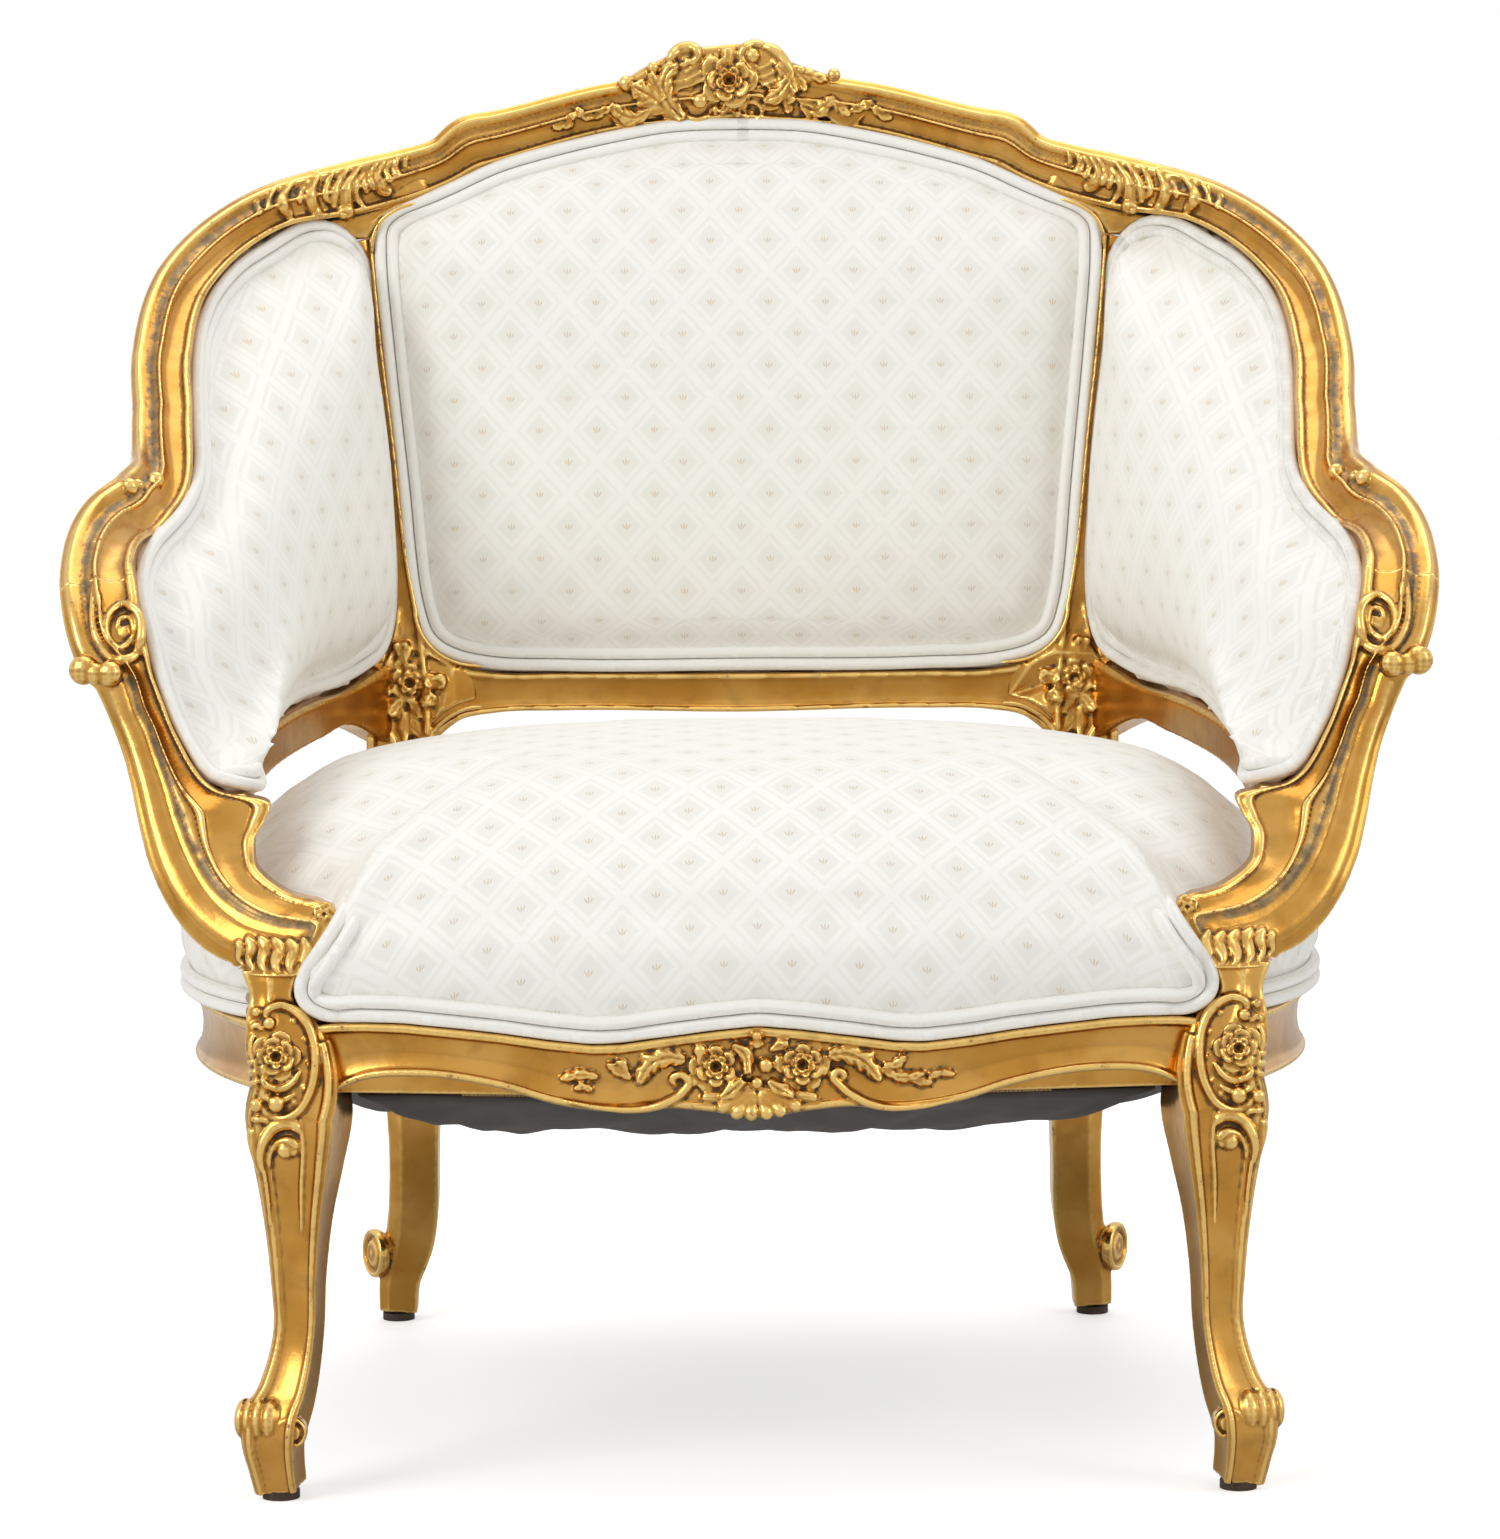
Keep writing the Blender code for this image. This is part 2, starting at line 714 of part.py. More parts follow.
def neck_mesh(grow=0.0):
    """The part of the leg above the seat line, which the arm support stands on."""
    x, y, z = to_metres([NECK_SHARES])[0]
    low = SEAT_LINE - OVERRUN
    high = z - GAP / 2 + grow
    rows = np.array([
        (x, y, low, NECK_FACE, NECK_BODY),
        (x, y, (low + high) / 2, NECK_FACE, NECK_BODY),
        (x, y, high, LEG_SIZE, NECK_BODY),
    ])
    return swept(rows, fixed_across((1, 0, 0)), SQUARE_SHARES, NECK_BODY, grow)


def lip_section(middle, face, grow):
    """Seat rail section as (height, distance behind the face line)."""
    low = middle - face / 2 - grow
    line = SEAT_LINE + grow
    top = SEAT_LINE + RAIL_ABOVE_LINE + grow
    core = SEAT_LINE - RAIL_BELOW_LINE - grow
    rear = SEAT_RAIL_BODY + grow
    fillet = LIP_ROUND - grow
    return [
        (low, fillet), (low + LIP_ROUND, -grow), (line - LIP_ROUND, -grow), (line, fillet),
        (line, REBATE - grow), (top, REBATE - grow), (top, rear), (core, rear),
        (core, LIP_BODY), (low, LIP_BODY - LIP_ROUND),
    ]


def seat_rail_mesh(rows, grow=0.0):
    points = rows[:, :3].copy()
    points[:, 2] = 0
    sections = [lip_section(row[2], row[3], grow) for row in rows]
    return skin(rings_of(points, fixed_across(UP), sections))


def rear_rail_mesh(grow=0.0):
    middle = SEAT_LINE + (RAIL_ABOVE_LINE - RAIL_BELOW_LINE) / 2
    half_tall = (RAIL_ABOVE_LINE + RAIL_BELOW_LINE) / 2 + grow
    reach = -to_metres(STILE_SHARES)[STILE_SEAT_ROW][0]
    axes = ((reach, 0, 0), (0, REAR_RAIL_BODY / 2 + grow, 0), (0, 0, half_tall))
    return box((0, REAR_RAIL_PLACE_SHARE * DEPTH, middle), axes)


def front_rail_rows():
    rows = to_metres(FRONT_LIP_SHARES)
    rows[:, 3] *= LIP_FACE
    return sample(mirrored(rows))


def side_rail_rows():
    rows = to_metres(SIDE_LIP_SHARES)
    rows[:, 3] *= LIP_FACE
    return sample(rows)


def side_rail_mesh(grow=0.0):
    """Ends inside the stile, which its rear end is cut to."""
    stile = to_metres(STILE_SHARES)[STILE_SEAT_ROW]
    reach = STILE_SIZE * RAIL_END_SHARE + grow
    mesh = seat_rail_mesh(side_rail_rows(), grow)
    mesh = trimmed(mesh, (0, stile[1] - reach + 2 * grow, 0), (0, 1, 0))
    return trimmed(mesh, (stile[0] + reach, 0, 0), (1, 0, 0))


def lower_back_mesh(grow=0.0):
    rows = to_metres(LOWER_BACK_SHARES)
    rows[:, 3] *= LOWER_RAIL_FACE
    return swept(sample(mirrored(rows)), picture_across, MOULDED_SHARES, LOWER_RAIL_BODY, grow)


def lower_side_mesh(grow=0.0):
    rows = to_metres(LOWER_SIDE_SHARES)
    rows[:, 3] *= LOWER_RAIL_FACE
    return swept(sample(rows), fixed_across(UP), MOULDED_SHARES, LOWER_RAIL_BODY, grow)


def tenon(point, direction, tall, name, side=1):
    """A tenon that starts inside its rail at the point, and the mortise that takes it."""
    along = unit(np.array(direction, dtype=float))
    up = np.array((1.0, 0, 0) if abs(along[2]) > STEEP_SHARE else UP)
    up = unit(up - along * (up @ along))
    flat = np.cross(along, up)
    shapes = []
    for kind, grow in (("tenon", 0), ("mortise", TENON_CLEARANCE)):
        reach = (TENON_LONG + OVERRUN) / 2 + grow / 2
        middle = np.array(point) + along * (reach - OVERRUN)
        axes = (along * reach, up * (tall / 2 + grow), flat * (TENON_THICK / 2 + grow))
        shapes.append(helper(f"{name}_{kind}", on_side(box(middle, axes), side)))
    return shapes


def frame_helpers():
    """Each member once more, larger by the gap, to cut whatever meets it."""
    tools = {}
    tools["crest"] = helper("crest_space", crest_mesh(GAP))
    tools["lower_back"] = helper("lower_back_space", lower_back_mesh(GAP))
    tools["front_rail"] = helper("front_rail_space", seat_rail_mesh(front_rail_rows(), GAP))
    tools["rear_rail"] = helper("rear_rail_space", rear_rail_mesh(GAP))
    for label, side in SIDES:
        shapes = {
            "wing": wing_rail_mesh(GAP),
            "support": arm_support_mesh(GAP),
            "stile": stile_mesh(GAP),
            "leg": leg_mesh(GAP),
            "neck": neck_mesh(GAP),
            "lower_side": lower_side_mesh(GAP),
            "side_rail": side_rail_mesh(GAP),
        }
        for stem, mesh in shapes.items():
            tools[stem, side] = helper(f"{stem}_space_{label}", on_side(mesh, side))
        corner = crest_corner_mesh(side, GAP)
        tools["corner", side] = helper(f"corner_space_{label}", corner)
    return tools


def make_posts():
    """Front legs, and rear legs with their stiles."""
    posts = {}
    for label, side in SIDES:
        leg = place_object(f"front_leg_{label}", on_side(leg_mesh(), side), GILT)
        neck = helper(f"neck_{label}", on_side(neck_mesh(), side))
        join(leg, neck)
        stile = place_object(f"rear_leg_{label}", on_side(stile_mesh(), side), GILT)
        posts["leg", side] = leg
        posts["stile", side] = stile
    return posts


def make_upper_frame(tools, posts):
    """Crest rail, wing rails, arm supports and the rails below the pads."""
    crest = place_object("crest_rail", crest_mesh(), GILT)
    join(crest, helper("crest_crown", crest_crown_mesh()))
    rear = place_object("lower_back_rail", lower_back_mesh(), GILT)
    for label, side in SIDES:
        corner = helper(f"crest_corner_{label}", crest_corner_mesh(side))
        join(crest, corner)
        wing = place_object(f"wing_rail_{label}", on_side(wing_rail_mesh(), side), GILT)
        cut(wing, tools["corner", side], tools["stile", side])
        support = place_object(f"arm_support_{label}", on_side(arm_support_mesh(), side), GILT)
        low = place_object(f"lower_side_rail_{label}", on_side(lower_side_mesh(), side), GILT)
        cut(low, tools["stile", side], tools["support", side])
        cut(rear, tools["stile", side])

        below, top = stile_rows()[-2:, :3]
        lean = unit(top - below)
        peg, hole = tenon(top - lean * GAP, lean, TENON_THICK, f"stile_{label}", side)
        join(posts["stile", side], peg)
        cut(crest, hole)

        seam = frame_curve()(CREST_SEAM)[:3]
        along = frame_slope(CREST_SEAM)
        peg, hole = tenon(seam, along, TENON_THICK, f"crest_end_{label}", side)
        join(crest, peg)
        cut(wing, hole)

        seam = frame_curve()(ARM_SEAM)[:3]
        along = -frame_slope(ARM_SEAM)
        peg, hole = tenon(seam, along, TENON_THICK, f"arm_seam_{label}", side)
        join(support, peg)
        cut(wing, hole)

        foot = to_metres([NECK_SHARES])[0]
        peg, hole = tenon(foot, (0, 0, -1), TENON_THICK, f"support_foot_{label}", side)
        join(support, peg)
        cut(posts["leg", side], hole)

        inner = to_metres(LOWER_BACK_SHARES)[-1, :3] + (STILE_SIZE / 2, 0, 0)
        peg, hole = tenon(inner, (-1, 0, 0), LOWER_RAIL_FACE, f"lower_back_{label}", side)
        join(rear, peg)
        cut(posts["stile", side], hole)


def make_seat_rails(tools, posts):
    front = place_object("front_seat_rail", seat_rail_mesh(front_rail_rows()), GILT)
    core_middle = SEAT_LINE + (RAIL_ABOVE_LINE - RAIL_BELOW_LINE) / 2
    tall = (RAIL_ABOVE_LINE + RAIL_BELOW_LINE) * TENON_TALL_SHARE
    rear_y = REAR_RAIL_PLACE_SHARE * DEPTH
    stile_x = to_metres(STILE_SHARES)[STILE_SEAT_ROW][0]
    leg_x, leg_y = to_metres(LEG_SHARES)[-1][:2]
    low_middle = SEAT_LINE - RAIL_BELOW_LINE / 2
    low_tall = RAIL_BELOW_LINE * TENON_TALL_SHARE
    leg = np.array((leg_x, leg_y, low_middle))
    rear = place_object("rear_seat_rail", rear_rail_mesh(), BEECH)
    across = np.array(LEG_ACROSS)
    behind = np.array(LEG_BEHIND)
    for label, side in SIDES:
        rail = place_object(f"side_seat_rail_{label}", on_side(side_rail_mesh(), side), GILT)
        cut(rail, tools["leg", side], tools["neck", side], tools["stile", side])
        cut(front, tools["leg", side], tools["neck", side])
        cut(rear, tools["stile", side])

        start = leg + across * LEG_SIZE / 2
        peg, hole = tenon(start, -across, low_tall, f"front_rail_{label}", side)
        join(front, peg)
        cut(posts["leg", side], hole)

        start = leg + behind * LEG_SIZE / 2 - across * LEG_SIZE * SIDE_TENON_SHIFT_SHARE
        peg, hole = tenon(start, -behind, low_tall, f"side_rail_front_{label}", side)
        join(rail, peg)
        cut(posts["leg", side], hole)

        start = (stile_x + STILE_SIZE / 2, rear_y, core_middle)
        peg, hole = tenon(start, (-1, 0, 0), tall, f"rear_rail_{label}", side)
        join(rear, peg)
        cut(posts["stile", side], hole)


def make_glides():
    for label, side in SIDES:
        for stem, table in (("front", LEG_SHARES), ("rear", STILE_SHARES)):
            x, y = to_metres(table)[0][:2]

            def place(a, b, level):
                return (x + a, y + b, level)

            turn = [count * 2 * math.pi / GLIDE_SIDES for count in range(GLIDE_SIDES)]
            outline = [(GLIDE_RADIUS * math.cos(t), GLIDE_RADIUS * math.sin(t)) for t in turn]
            mesh = on_side(prism(outline, 0, GLIDE_THICK, place), side)
            place_object(f"{stem}_glide_{label}", mesh, GLIDE_NYLON)


def make_corner_blocks(tools):
    low = SEAT_LINE - RAIL_BELOW_LINE + OVERRUN
    blocks = (("front", BLOCK_FRONT_SHARES, "leg"), ("rear", BLOCK_REAR_SHARES, "stile"))

    def place(a, b, level):
        return (a * HALF, b * DEPTH, level)

    for stem, outline, post in blocks:
        for label, side in SIDES:
            mesh = on_side(prism(outline, low, low + BLOCK_TALL, place), side)
            block = place_object(f"corner_block_{stem}_{label}", mesh, BEECH)
            cut(block, tools[post, side], tools["side_rail", side], tools[f"{stem}_rail"])


def seat_loop():
    """The cushion's outline, all round, in metres."""
    rows = np.array(SEAT_PLAN_SHARES, dtype=float) * (HALF, DEPTH)
    left = np.column_stack([rows, np.zeros(len(rows))])
    right = left[-2:0:-1] * (-1, 1, 1)
    return closed_curve(np.vstack([left, right]), SEAT_POINTS)


def inset(loop, normal, distance):
    """Moves a closed loop towards its inside by the distance."""
    inward = np.cross(np.array(normal), directions(loop, True))
    to_middle = np.mean(loop, axis=0) - loop
    if np.sum(inward * to_middle) < 0:
        inward = -inward
    return loop + unit(inward) * distance


def seat_middle():
    return np.array((0, SEAT_MIDDLE_SHARE * DEPTH, 0))


def dome_height(share):
    return (1 - share ** DOME_ROUND) ** (1 / DOME_EDGE)


def dome(loop, base, crown, shares=DOME_RING_SHARES):
    """Level rings over the seat's outline, from its edge up to the middle."""
    rings = []
    for share in shares:
        ring = seat_middle() + (loop - seat_middle()) * share
        ring[:, 2] = base + crown * dome_height(share)
        rings.append(ring)
    return rings


def at_level(loop, level):
    flat = loop.copy()
    flat[:, 2] = level
    return flat


def hessian_level(x, y, loop, base, crown):
    """Height of the faceted hessian above the point (x, y)."""
    ray = np.array((x, y, 0)) - seat_middle()
    best = 1.0
    for start, stop in zip(loop, np.roll(loop, -1, axis=0)):
        edge = stop - start
        place = start - seat_middle()
        turn = ray[0] * edge[1] - ray[1] * edge[0]
        if abs(turn) < ALMOST_NONE:
            continue
        reach = (place[0] * edge[1] - place[1] * edge[0]) / turn
        along = (place[0] * ray[1] - place[1] * ray[0]) / turn
        if reach > 0 and 0 <= along <= 1:
            best = 1 / reach
    shares = HESSIAN_RING_SHARES[::-1]
    heights = [base + crown * dome_height(share) for share in shares]
    return float(np.interp(best, shares, heights))


def hessian_loop():
    return inset(seat_loop(), UP, SEAT_RAIL_BODY)


def make_seat(tools):
    loop = seat_loop()
    skirt = inset(loop, UP, SEAT_INSET)
    base = SEAT_LINE + GAP
    swell = SEAT_LINE + SEAT_SWELL
    crown = SEAT_CROWN - SEAT_SWELL
    over_piping = base + PIPING_WIDE + 2 * GAP
    outer = [at_level(skirt, base), at_level(skirt, over_piping)]
    outer += dome(loop, swell, crown)
    lining = inset(skirt, UP, CLOTH)
    inner = [at_level(lining, base), at_level(lining, over_piping)]
    inner += dome(inset(loop, UP, CLOTH), swell, crown - CLOTH)
    posts = [tools[stem, side] for _, side in SIDES for stem in ("neck", "support", "stile")]
    rails = [tools["side_rail", side] for _, side in SIDES]
    rails += [tools["front_rail"], tools["rear_rail"]]
    cover = place_object("seat_cover", skin(outer[::-1] + inner), DAMASK)
    cut(cover, *posts, *rails)

    top = dome(inset(loop, UP, CLOTH + GAP), swell, crown - CLOTH - GAP)
    rail_top = SEAT_LINE + RAIL_ABOVE_LINE + GAP
    over_hessian = rail_top + HESSIAN + GAP
    under = dome(hessian_loop(), over_hessian, HESSIAN_CROWN, HESSIAN_RING_SHARES)
    stuffing = place_object("seat_stuffing", skin(top[::-1] + under), HAIR)
    cut(stuffing, *posts)

    lid = dome(hessian_loop(), rail_top + HESSIAN, HESSIAN_CROWN, HESSIAN_RING_SHARES)
    floor = dome(hessian_loop(), rail_top, HESSIAN_CROWN, HESSIAN_RING_SHARES)
    place_object("seat_hessian", skin(lid[::-1] + floor), HEMP)

    path = inset(loop, UP, SEAT_INSET - PIPING_THICK / 2 - SEAT_PIPING_PLAY)
    path = at_level(path, base + PIPING_WIDE / 2 + GAP / 2)
    legs = [tools["leg", side] for _, side in SIDES]
    for stem, run in seat_runs(path).items():
        mesh = skin(rings_of(run, fixed_across(UP), cord_pair_sections(len(run))))
        welt = place_object(f"seat_piping_{stem}", mesh, DAMASK)
        cut(welt, *posts, *legs)


def cord_pair_sections(count, grow=0.0):
    return [np.array(CORD_PAIR_SHARES) * (PIPING_WIDE + 2 * grow, PIPING_THICK + 2 * grow)] * count


def seat_runs(path):
    """The stretches of the seat's edge between its posts."""
    x = path[:, 0] / HALF
    y = path[:, 1] / DEPTH
    front = (y < FRONT_RUN_SHARES[1]) & (abs(x) < FRONT_RUN_SHARES[0])
    rear = (y > REAR_RUN_SHARES[1]) & (abs(x) < REAR_RUN_SHARES[0])
    low, high = SIDE_RUN_SHARES
    beside = (y > low) & (y < high)
    marks = {"front": front, "rear": rear, "left": beside & (x < 0), "right": beside & (x > 0)}
    runs = {}
    for stem, kept in marks.items():
        start = next(i for i in range(len(kept)) if kept[i] and not kept[i - 1])
        turned = np.roll(path, -start, axis=0)
        runs[stem] = turned[np.roll(kept, -start)]
    return runs


def web_level():
    """Underside of the seat rails, which the webbing is tacked to."""
    return SEAT_LINE - RAIL_BELOW_LINE - GAP


def web_ends():
    """Where the bands end under the rails: front and rear for each x, outer x for each y."""
    middle = (LIP_BODY + SEAT_RAIL_BODY) / 2
    front = front_rail_rows()[::-1]
    side = side_rail_rows()
    rear = REAR_RAIL_PLACE_SHARE * DEPTH

    def front_y(x):
        return float(np.interp(x, front[:, 0], front[:, 1])) + middle

    def outer_x(y):
        return float(np.interp(y, side[:, 1], side[:, 0])) + middle

    return front_y, rear, outer_x


def band_lines(pitch):
    """Both edges of each band, in order."""
    middles = [(count - (WEB_COUNT - 1) / 2) * pitch for count in range(WEB_COUNT)]
    return [middle + half for middle in middles for half in (-WEB_WIDE / 2, WEB_WIDE / 2)]


def make_webbing():
    """One lattice of crossing bands under the springs."""
    across = band_lines(WEB_PITCH_X)
    along = band_lines(WEB_PITCH_Y)
    front_y, rear_y, outer_x = web_ends()
    last = 2 * WEB_COUNT + 1

    def spot(i, j, level):
        x = across[min(max(i - 1, 0), last - 2)]
        y = along[min(max(j - 1, 0), last - 2)]
        if i == 0:
            x = outer_x(y)
        if i == last:
            x = -outer_x(y)
        if j == 0:
            y = front_y(x)
        if j == last:
            y = rear_y
        return (x, y, level)

    kept = []
    for i in range(last):
        for j in range(last):
            on_band = i % 2 == 1 or j % 2 == 1
            corner = i in (0, last - 1) and j in (0, last - 1)
            end = (i in (0, last - 1) and j % 2 == 0) or (j in (0, last - 1) and i % 2 == 0)
            if on_band and not corner and not end:
                kept.append((i, j))
    mesh = bmesh.new()
    verts = {}

    def vert(i, j, level):
        key = (i, j, level)
        if key not in verts:
            height = web_level() - WEB_THICK * (1 - level)
            verts[key] = mesh.verts.new(spot(i, j, height))
        return verts[key]

    edges = {}
    for i, j in kept:
        ring = [(i, j), (i + 1, j), (i + 1, j + 1), (i, j + 1)]
        mesh.faces.new([vert(a, b, 1) for a, b in ring])
        mesh.faces.new([vert(a, b, 0) for a, b in ring[::-1]])
        for one, two in zip(ring, ring[1:] + ring[:1]):
            edges[one, two] = (two, one) not in edges
            if (two, one) in edges:
                edges[two, one] = False
    for (one, two), outer in edges.items():
        if outer:
            mesh.faces.new((vert(*one, 0), vert(*two, 0), vert(*two, 1), vert(*one, 1)))
    place_object("seat_webbing", facing_out(mesh), HEMP)


def make_springs():
    """Waisted coil springs, each one tube from the webbing to the hessian."""
    floor = web_level() + GAP + SPRING_WIRE / 2
    rail_top = SEAT_LINE + RAIL_ABOVE_LINE + GAP
    rows = [(count - (SPRING_ROWS - 1) / 2) * 2 for count in range(SPRING_ROWS)]
    turns = SPRING_TURNS * SPRING_STEPS
    for number, (row, column) in enumerate([(row, column) for row in rows for column in rows]):
        x = column * WEB_PITCH_X
        y = row * WEB_PITCH_Y
        angles = [2 * math.pi * count / SPRING_PROBES for count in range(SPRING_PROBES)]
        around = [(math.cos(angle), math.sin(angle)) for angle in angles]
        levels = [
            hessian_level(x + a * SPRING_END, y + b * SPRING_END, hessian_loop(), rail_top, HESSIAN_CROWN)
            for a, b in around
        ]
        top = min(levels) - GAP - SPRING_WIRE / 2
        points = []
        for step in range(turns + 1):
            share = step / turns
            flare = abs(2 * share - 1) ** SPRING_FLARE
            radius = SPRING_WAIST + (SPRING_END - SPRING_WAIST) * flare
            angle = 2 * math.pi * step / SPRING_STEPS
            climbed = share * SPRING_TURNS - SPRING_LEVEL_TURNS
            rise = min(max(climbed / (SPRING_TURNS - 2 * SPRING_LEVEL_TURNS), 0), 1)
            level = floor + (top - floor) * rise
            points.append((x + radius * math.cos(angle), y + radius * math.sin(angle), level))
        half = SPRING_WIRE / 2
        section = [(half, 0), (0, half), (-half, 0), (0, -half)]
        path = np.array(points)
        mesh = skin(rings_of(path, fixed_across(UP), [section] * len(path)))
        place_object(f"seat_spring_{number + 1}", mesh, STEEL)


def make_dust_cover():
    loop = inset(seat_loop(), UP, DUST_INSET)
    top = web_level() - WEB_THICK - GAP
    rings = []
    for share in DUST_RING_SHARES:
        ring = seat_middle() + (loop - seat_middle()) * share
        ring[:, 2] = top - DUST_SAG * (1 - share ** DUST_SETTLING)
        rings.append(ring)
    under = [at_level(ring, ring[0, 2] - DUST_THICK) for ring in rings[::-1]]
    place_object("dust_cover", skin(rings + under), CAMBRIC)


def back_edge():
    left = to_metres(BACK_EDGE_SHARES)
    right = left[-2:0:-1] * (-1, 1, 1)
    return closed_curve(np.vstack([left, right]), PAD_POINTS)


def side_edge(side):
    edge = closed_curve(to_metres(SIDE_EDGE_SHARES), PAD_POINTS)
    return edge * (side, 1, 1)


def spread(edge, lift, shares, normal, crown=0.0, settling=1):
    """Rings from the edge to its middle, raised along the normal and crowned.

    The edge's own rise and fall dies away towards the middle with this power of the share.
    """
    middle = np.mean(edge, axis=0)
    reach = edge - middle
    own_rise = (reach @ normal)[:, None] * normal
    rings = []
    for share in shares:
        rise = lift + crown * dome_height(share)
        rings.append(middle + (reach - own_rise) * share + own_rise * share ** settling + normal * rise)
    return rings


def pad_mesh(edge, normal, crown):
    """A pad with a ledge for its piping round a crowned middle."""
    outer = inset(edge, normal, -PAD_OUTSET)
    inner = inset(edge, normal, LEDGE_WIDE)
    crowned = spread(inner, PAD_LEDGE, DOME_RING_SHARES, normal, crown, PAD_SETTLING)
    front = [outer + normal * PAD_LEDGE] + crowned
    back = spread(outer, PAD_LEDGE - PAD_RIM, SHEET_RING_SHARES, normal)
    return skin(front[::-1] + back, tips=True)


def sheet_mesh(edge, normal, top, thick):
    outer = inset(edge, normal, -PAD_OUTSET)
    upper = spread(outer, top, SHEET_RING_SHARES, normal)
    lower = spread(outer, top - thick, SHEET_RING_SHARES, normal)
    return skin(upper[::-1] + lower, tips=True)


def edge_piping_mesh(edge, normal, grow=0.0):
    """A pair of cords side by side on the pad's ledge."""
    path = inset(edge, normal, PIPING_WIDE / 2 + PIPING_PLAY) + normal * PAD_LEDGE

    def across(tangents):
        return unit(np.cross(normal, tangents))

    along = directions(path, True)
    up = np.cross(along, across(along))
    up *= np.sign(up @ normal)[:, None]
    path = path + up * (PIPING_THICK / 2 + PIPING_LIFT)
    return skin(rings_of(path, across, cord_pair_sections(len(path), grow), True), True)


def make_pads(tools):
    """The back and both wings: pad, hessian behind it, outside cover and piping."""
    back_tools = [tools["crest"], tools["lower_back"]]
    for _, side in SIDES:
        back_tools += [tools["corner", side], tools["stile", side]]
    sets = [("back", back_edge(), BACK_NORMAL, BACK_CROWN, back_tools)]
    for label, side in SIDES:
        stems = ("wing", "support", "lower_side", "stile", "corner")
        side_tools = [tools[stem, side] for stem in stems] + [tools["crest"]]
        normal = np.array(SIDE_NORMAL) * (side, 1, 1)
        sets.append((f"side_{label}", side_edge(side), normal, SIDE_CROWN, side_tools))
    for stem, edge, direction, crown, around in sets:
        normal = unit(np.array(direction, dtype=float))
        behind = PAD_LEDGE - PAD_RIM - GAP
        outside = behind - HESSIAN_BACK - GAP
        pad = place_object(f"{stem}_pad", pad_mesh(edge, normal, crown), DAMASK)
        cloth = sheet_mesh(edge, normal, behind, HESSIAN_BACK)
        if stem != "back":
            cut(pad, helper(f"{stem}_piping_space", edge_piping_mesh(edge, normal, GAP)))
        lining = place_object(f"{stem}_hessian", cloth, HEMP)
        cover = sheet_mesh(edge, normal, outside, OUTSIDE_THICK)
        cover = place_object(f"outside_{stem}", cover, DAMASK)
        welt = place_object(f"{stem}_piping", edge_piping_mesh(edge, normal), DAMASK)
        for piece in (pad, lining, cover, welt):
            cut(piece, *around)


def centre_on_floor():
    """Puts the origin on the floor in the middle of the outline, by a parent empty."""
    solids = [piece for piece in bpy.data.objects if not piece.hide_render]
    depths = [vert.co.y for piece in solids for vert in piece.data.vertices]
    chair = bpy.data.objects.new("armchair", None)
    bpy.context.scene.collection.objects.link(chair)
    chair.location.y = -(min(depths) + max(depths)) / 2
    for piece in bpy.data.objects:
        if piece is not chair:
            piece.parent = chair


def main():
    clear_scene()
    tools = frame_helpers()
    posts = make_posts()
    make_upper_frame(tools, posts)
    make_seat_rails(tools, posts)
    make_corner_blocks(tools)
    make_glides()
    make_webbing()
    make_springs()
    make_seat(tools)
    make_dust_cover()
    make_pads(tools)
    centre_on_floor()


main()
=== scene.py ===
"""The looks of a carved and gilded bergere armchair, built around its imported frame.

Lengths are in metres. X runs across the chair, the front faces -Y and +Z is up. Left is at -X.
Tables of the members give places as shares of the driving sizes, in the frame's own proportions.
Tables of the carving give millimetres, as the front view shows them.
"""
import math

import bmesh
import bpy
import numpy as np
from mathutils import Matrix, Vector
from mathutils.bvhtree import BVHTree
from mathutils.kdtree import KDTree


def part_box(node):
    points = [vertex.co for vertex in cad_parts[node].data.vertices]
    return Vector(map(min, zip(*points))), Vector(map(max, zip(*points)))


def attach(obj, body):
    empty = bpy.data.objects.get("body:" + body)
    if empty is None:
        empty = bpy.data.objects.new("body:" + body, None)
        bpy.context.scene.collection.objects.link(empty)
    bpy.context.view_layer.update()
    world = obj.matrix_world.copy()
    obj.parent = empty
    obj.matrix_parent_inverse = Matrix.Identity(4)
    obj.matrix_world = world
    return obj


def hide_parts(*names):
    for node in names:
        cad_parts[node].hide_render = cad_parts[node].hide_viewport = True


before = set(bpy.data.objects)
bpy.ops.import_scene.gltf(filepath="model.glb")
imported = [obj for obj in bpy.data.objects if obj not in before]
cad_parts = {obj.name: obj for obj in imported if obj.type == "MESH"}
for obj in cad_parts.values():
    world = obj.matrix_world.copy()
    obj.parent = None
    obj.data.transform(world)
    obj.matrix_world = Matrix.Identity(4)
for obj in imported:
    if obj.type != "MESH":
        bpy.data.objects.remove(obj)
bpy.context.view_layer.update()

# Driving sizes and other measures of the frame
HALF = 0.416
DEPTH = 0.630
HEIGHT = 0.878
RAIL_FACE = 0.040
RAIL_BODY = 0.036
STILE_SIZE = 0.040
LEG_SIZE = 0.052
LEG_TURN = math.radians(16)
LOWER_RAIL_FACE = 0.027
LOWER_RAIL_BODY = 0.024
LIP_FACE = 0.040
SEAT_RAIL_BODY = 0.030
REBATE = 0.013
RAIL_ABOVE_LINE = 0.026
RAIL_BELOW_LINE = 0.036
GAP = 0.0003
SEAM_LAP = 0.0007

# Seams of the frame's run, and where the arm begins to spread, as row numbers of FRAME_SHARES
CREST_SEAM = 6.55
ARM_SEAM = 16.0
ARM_SPREAD = 17.35

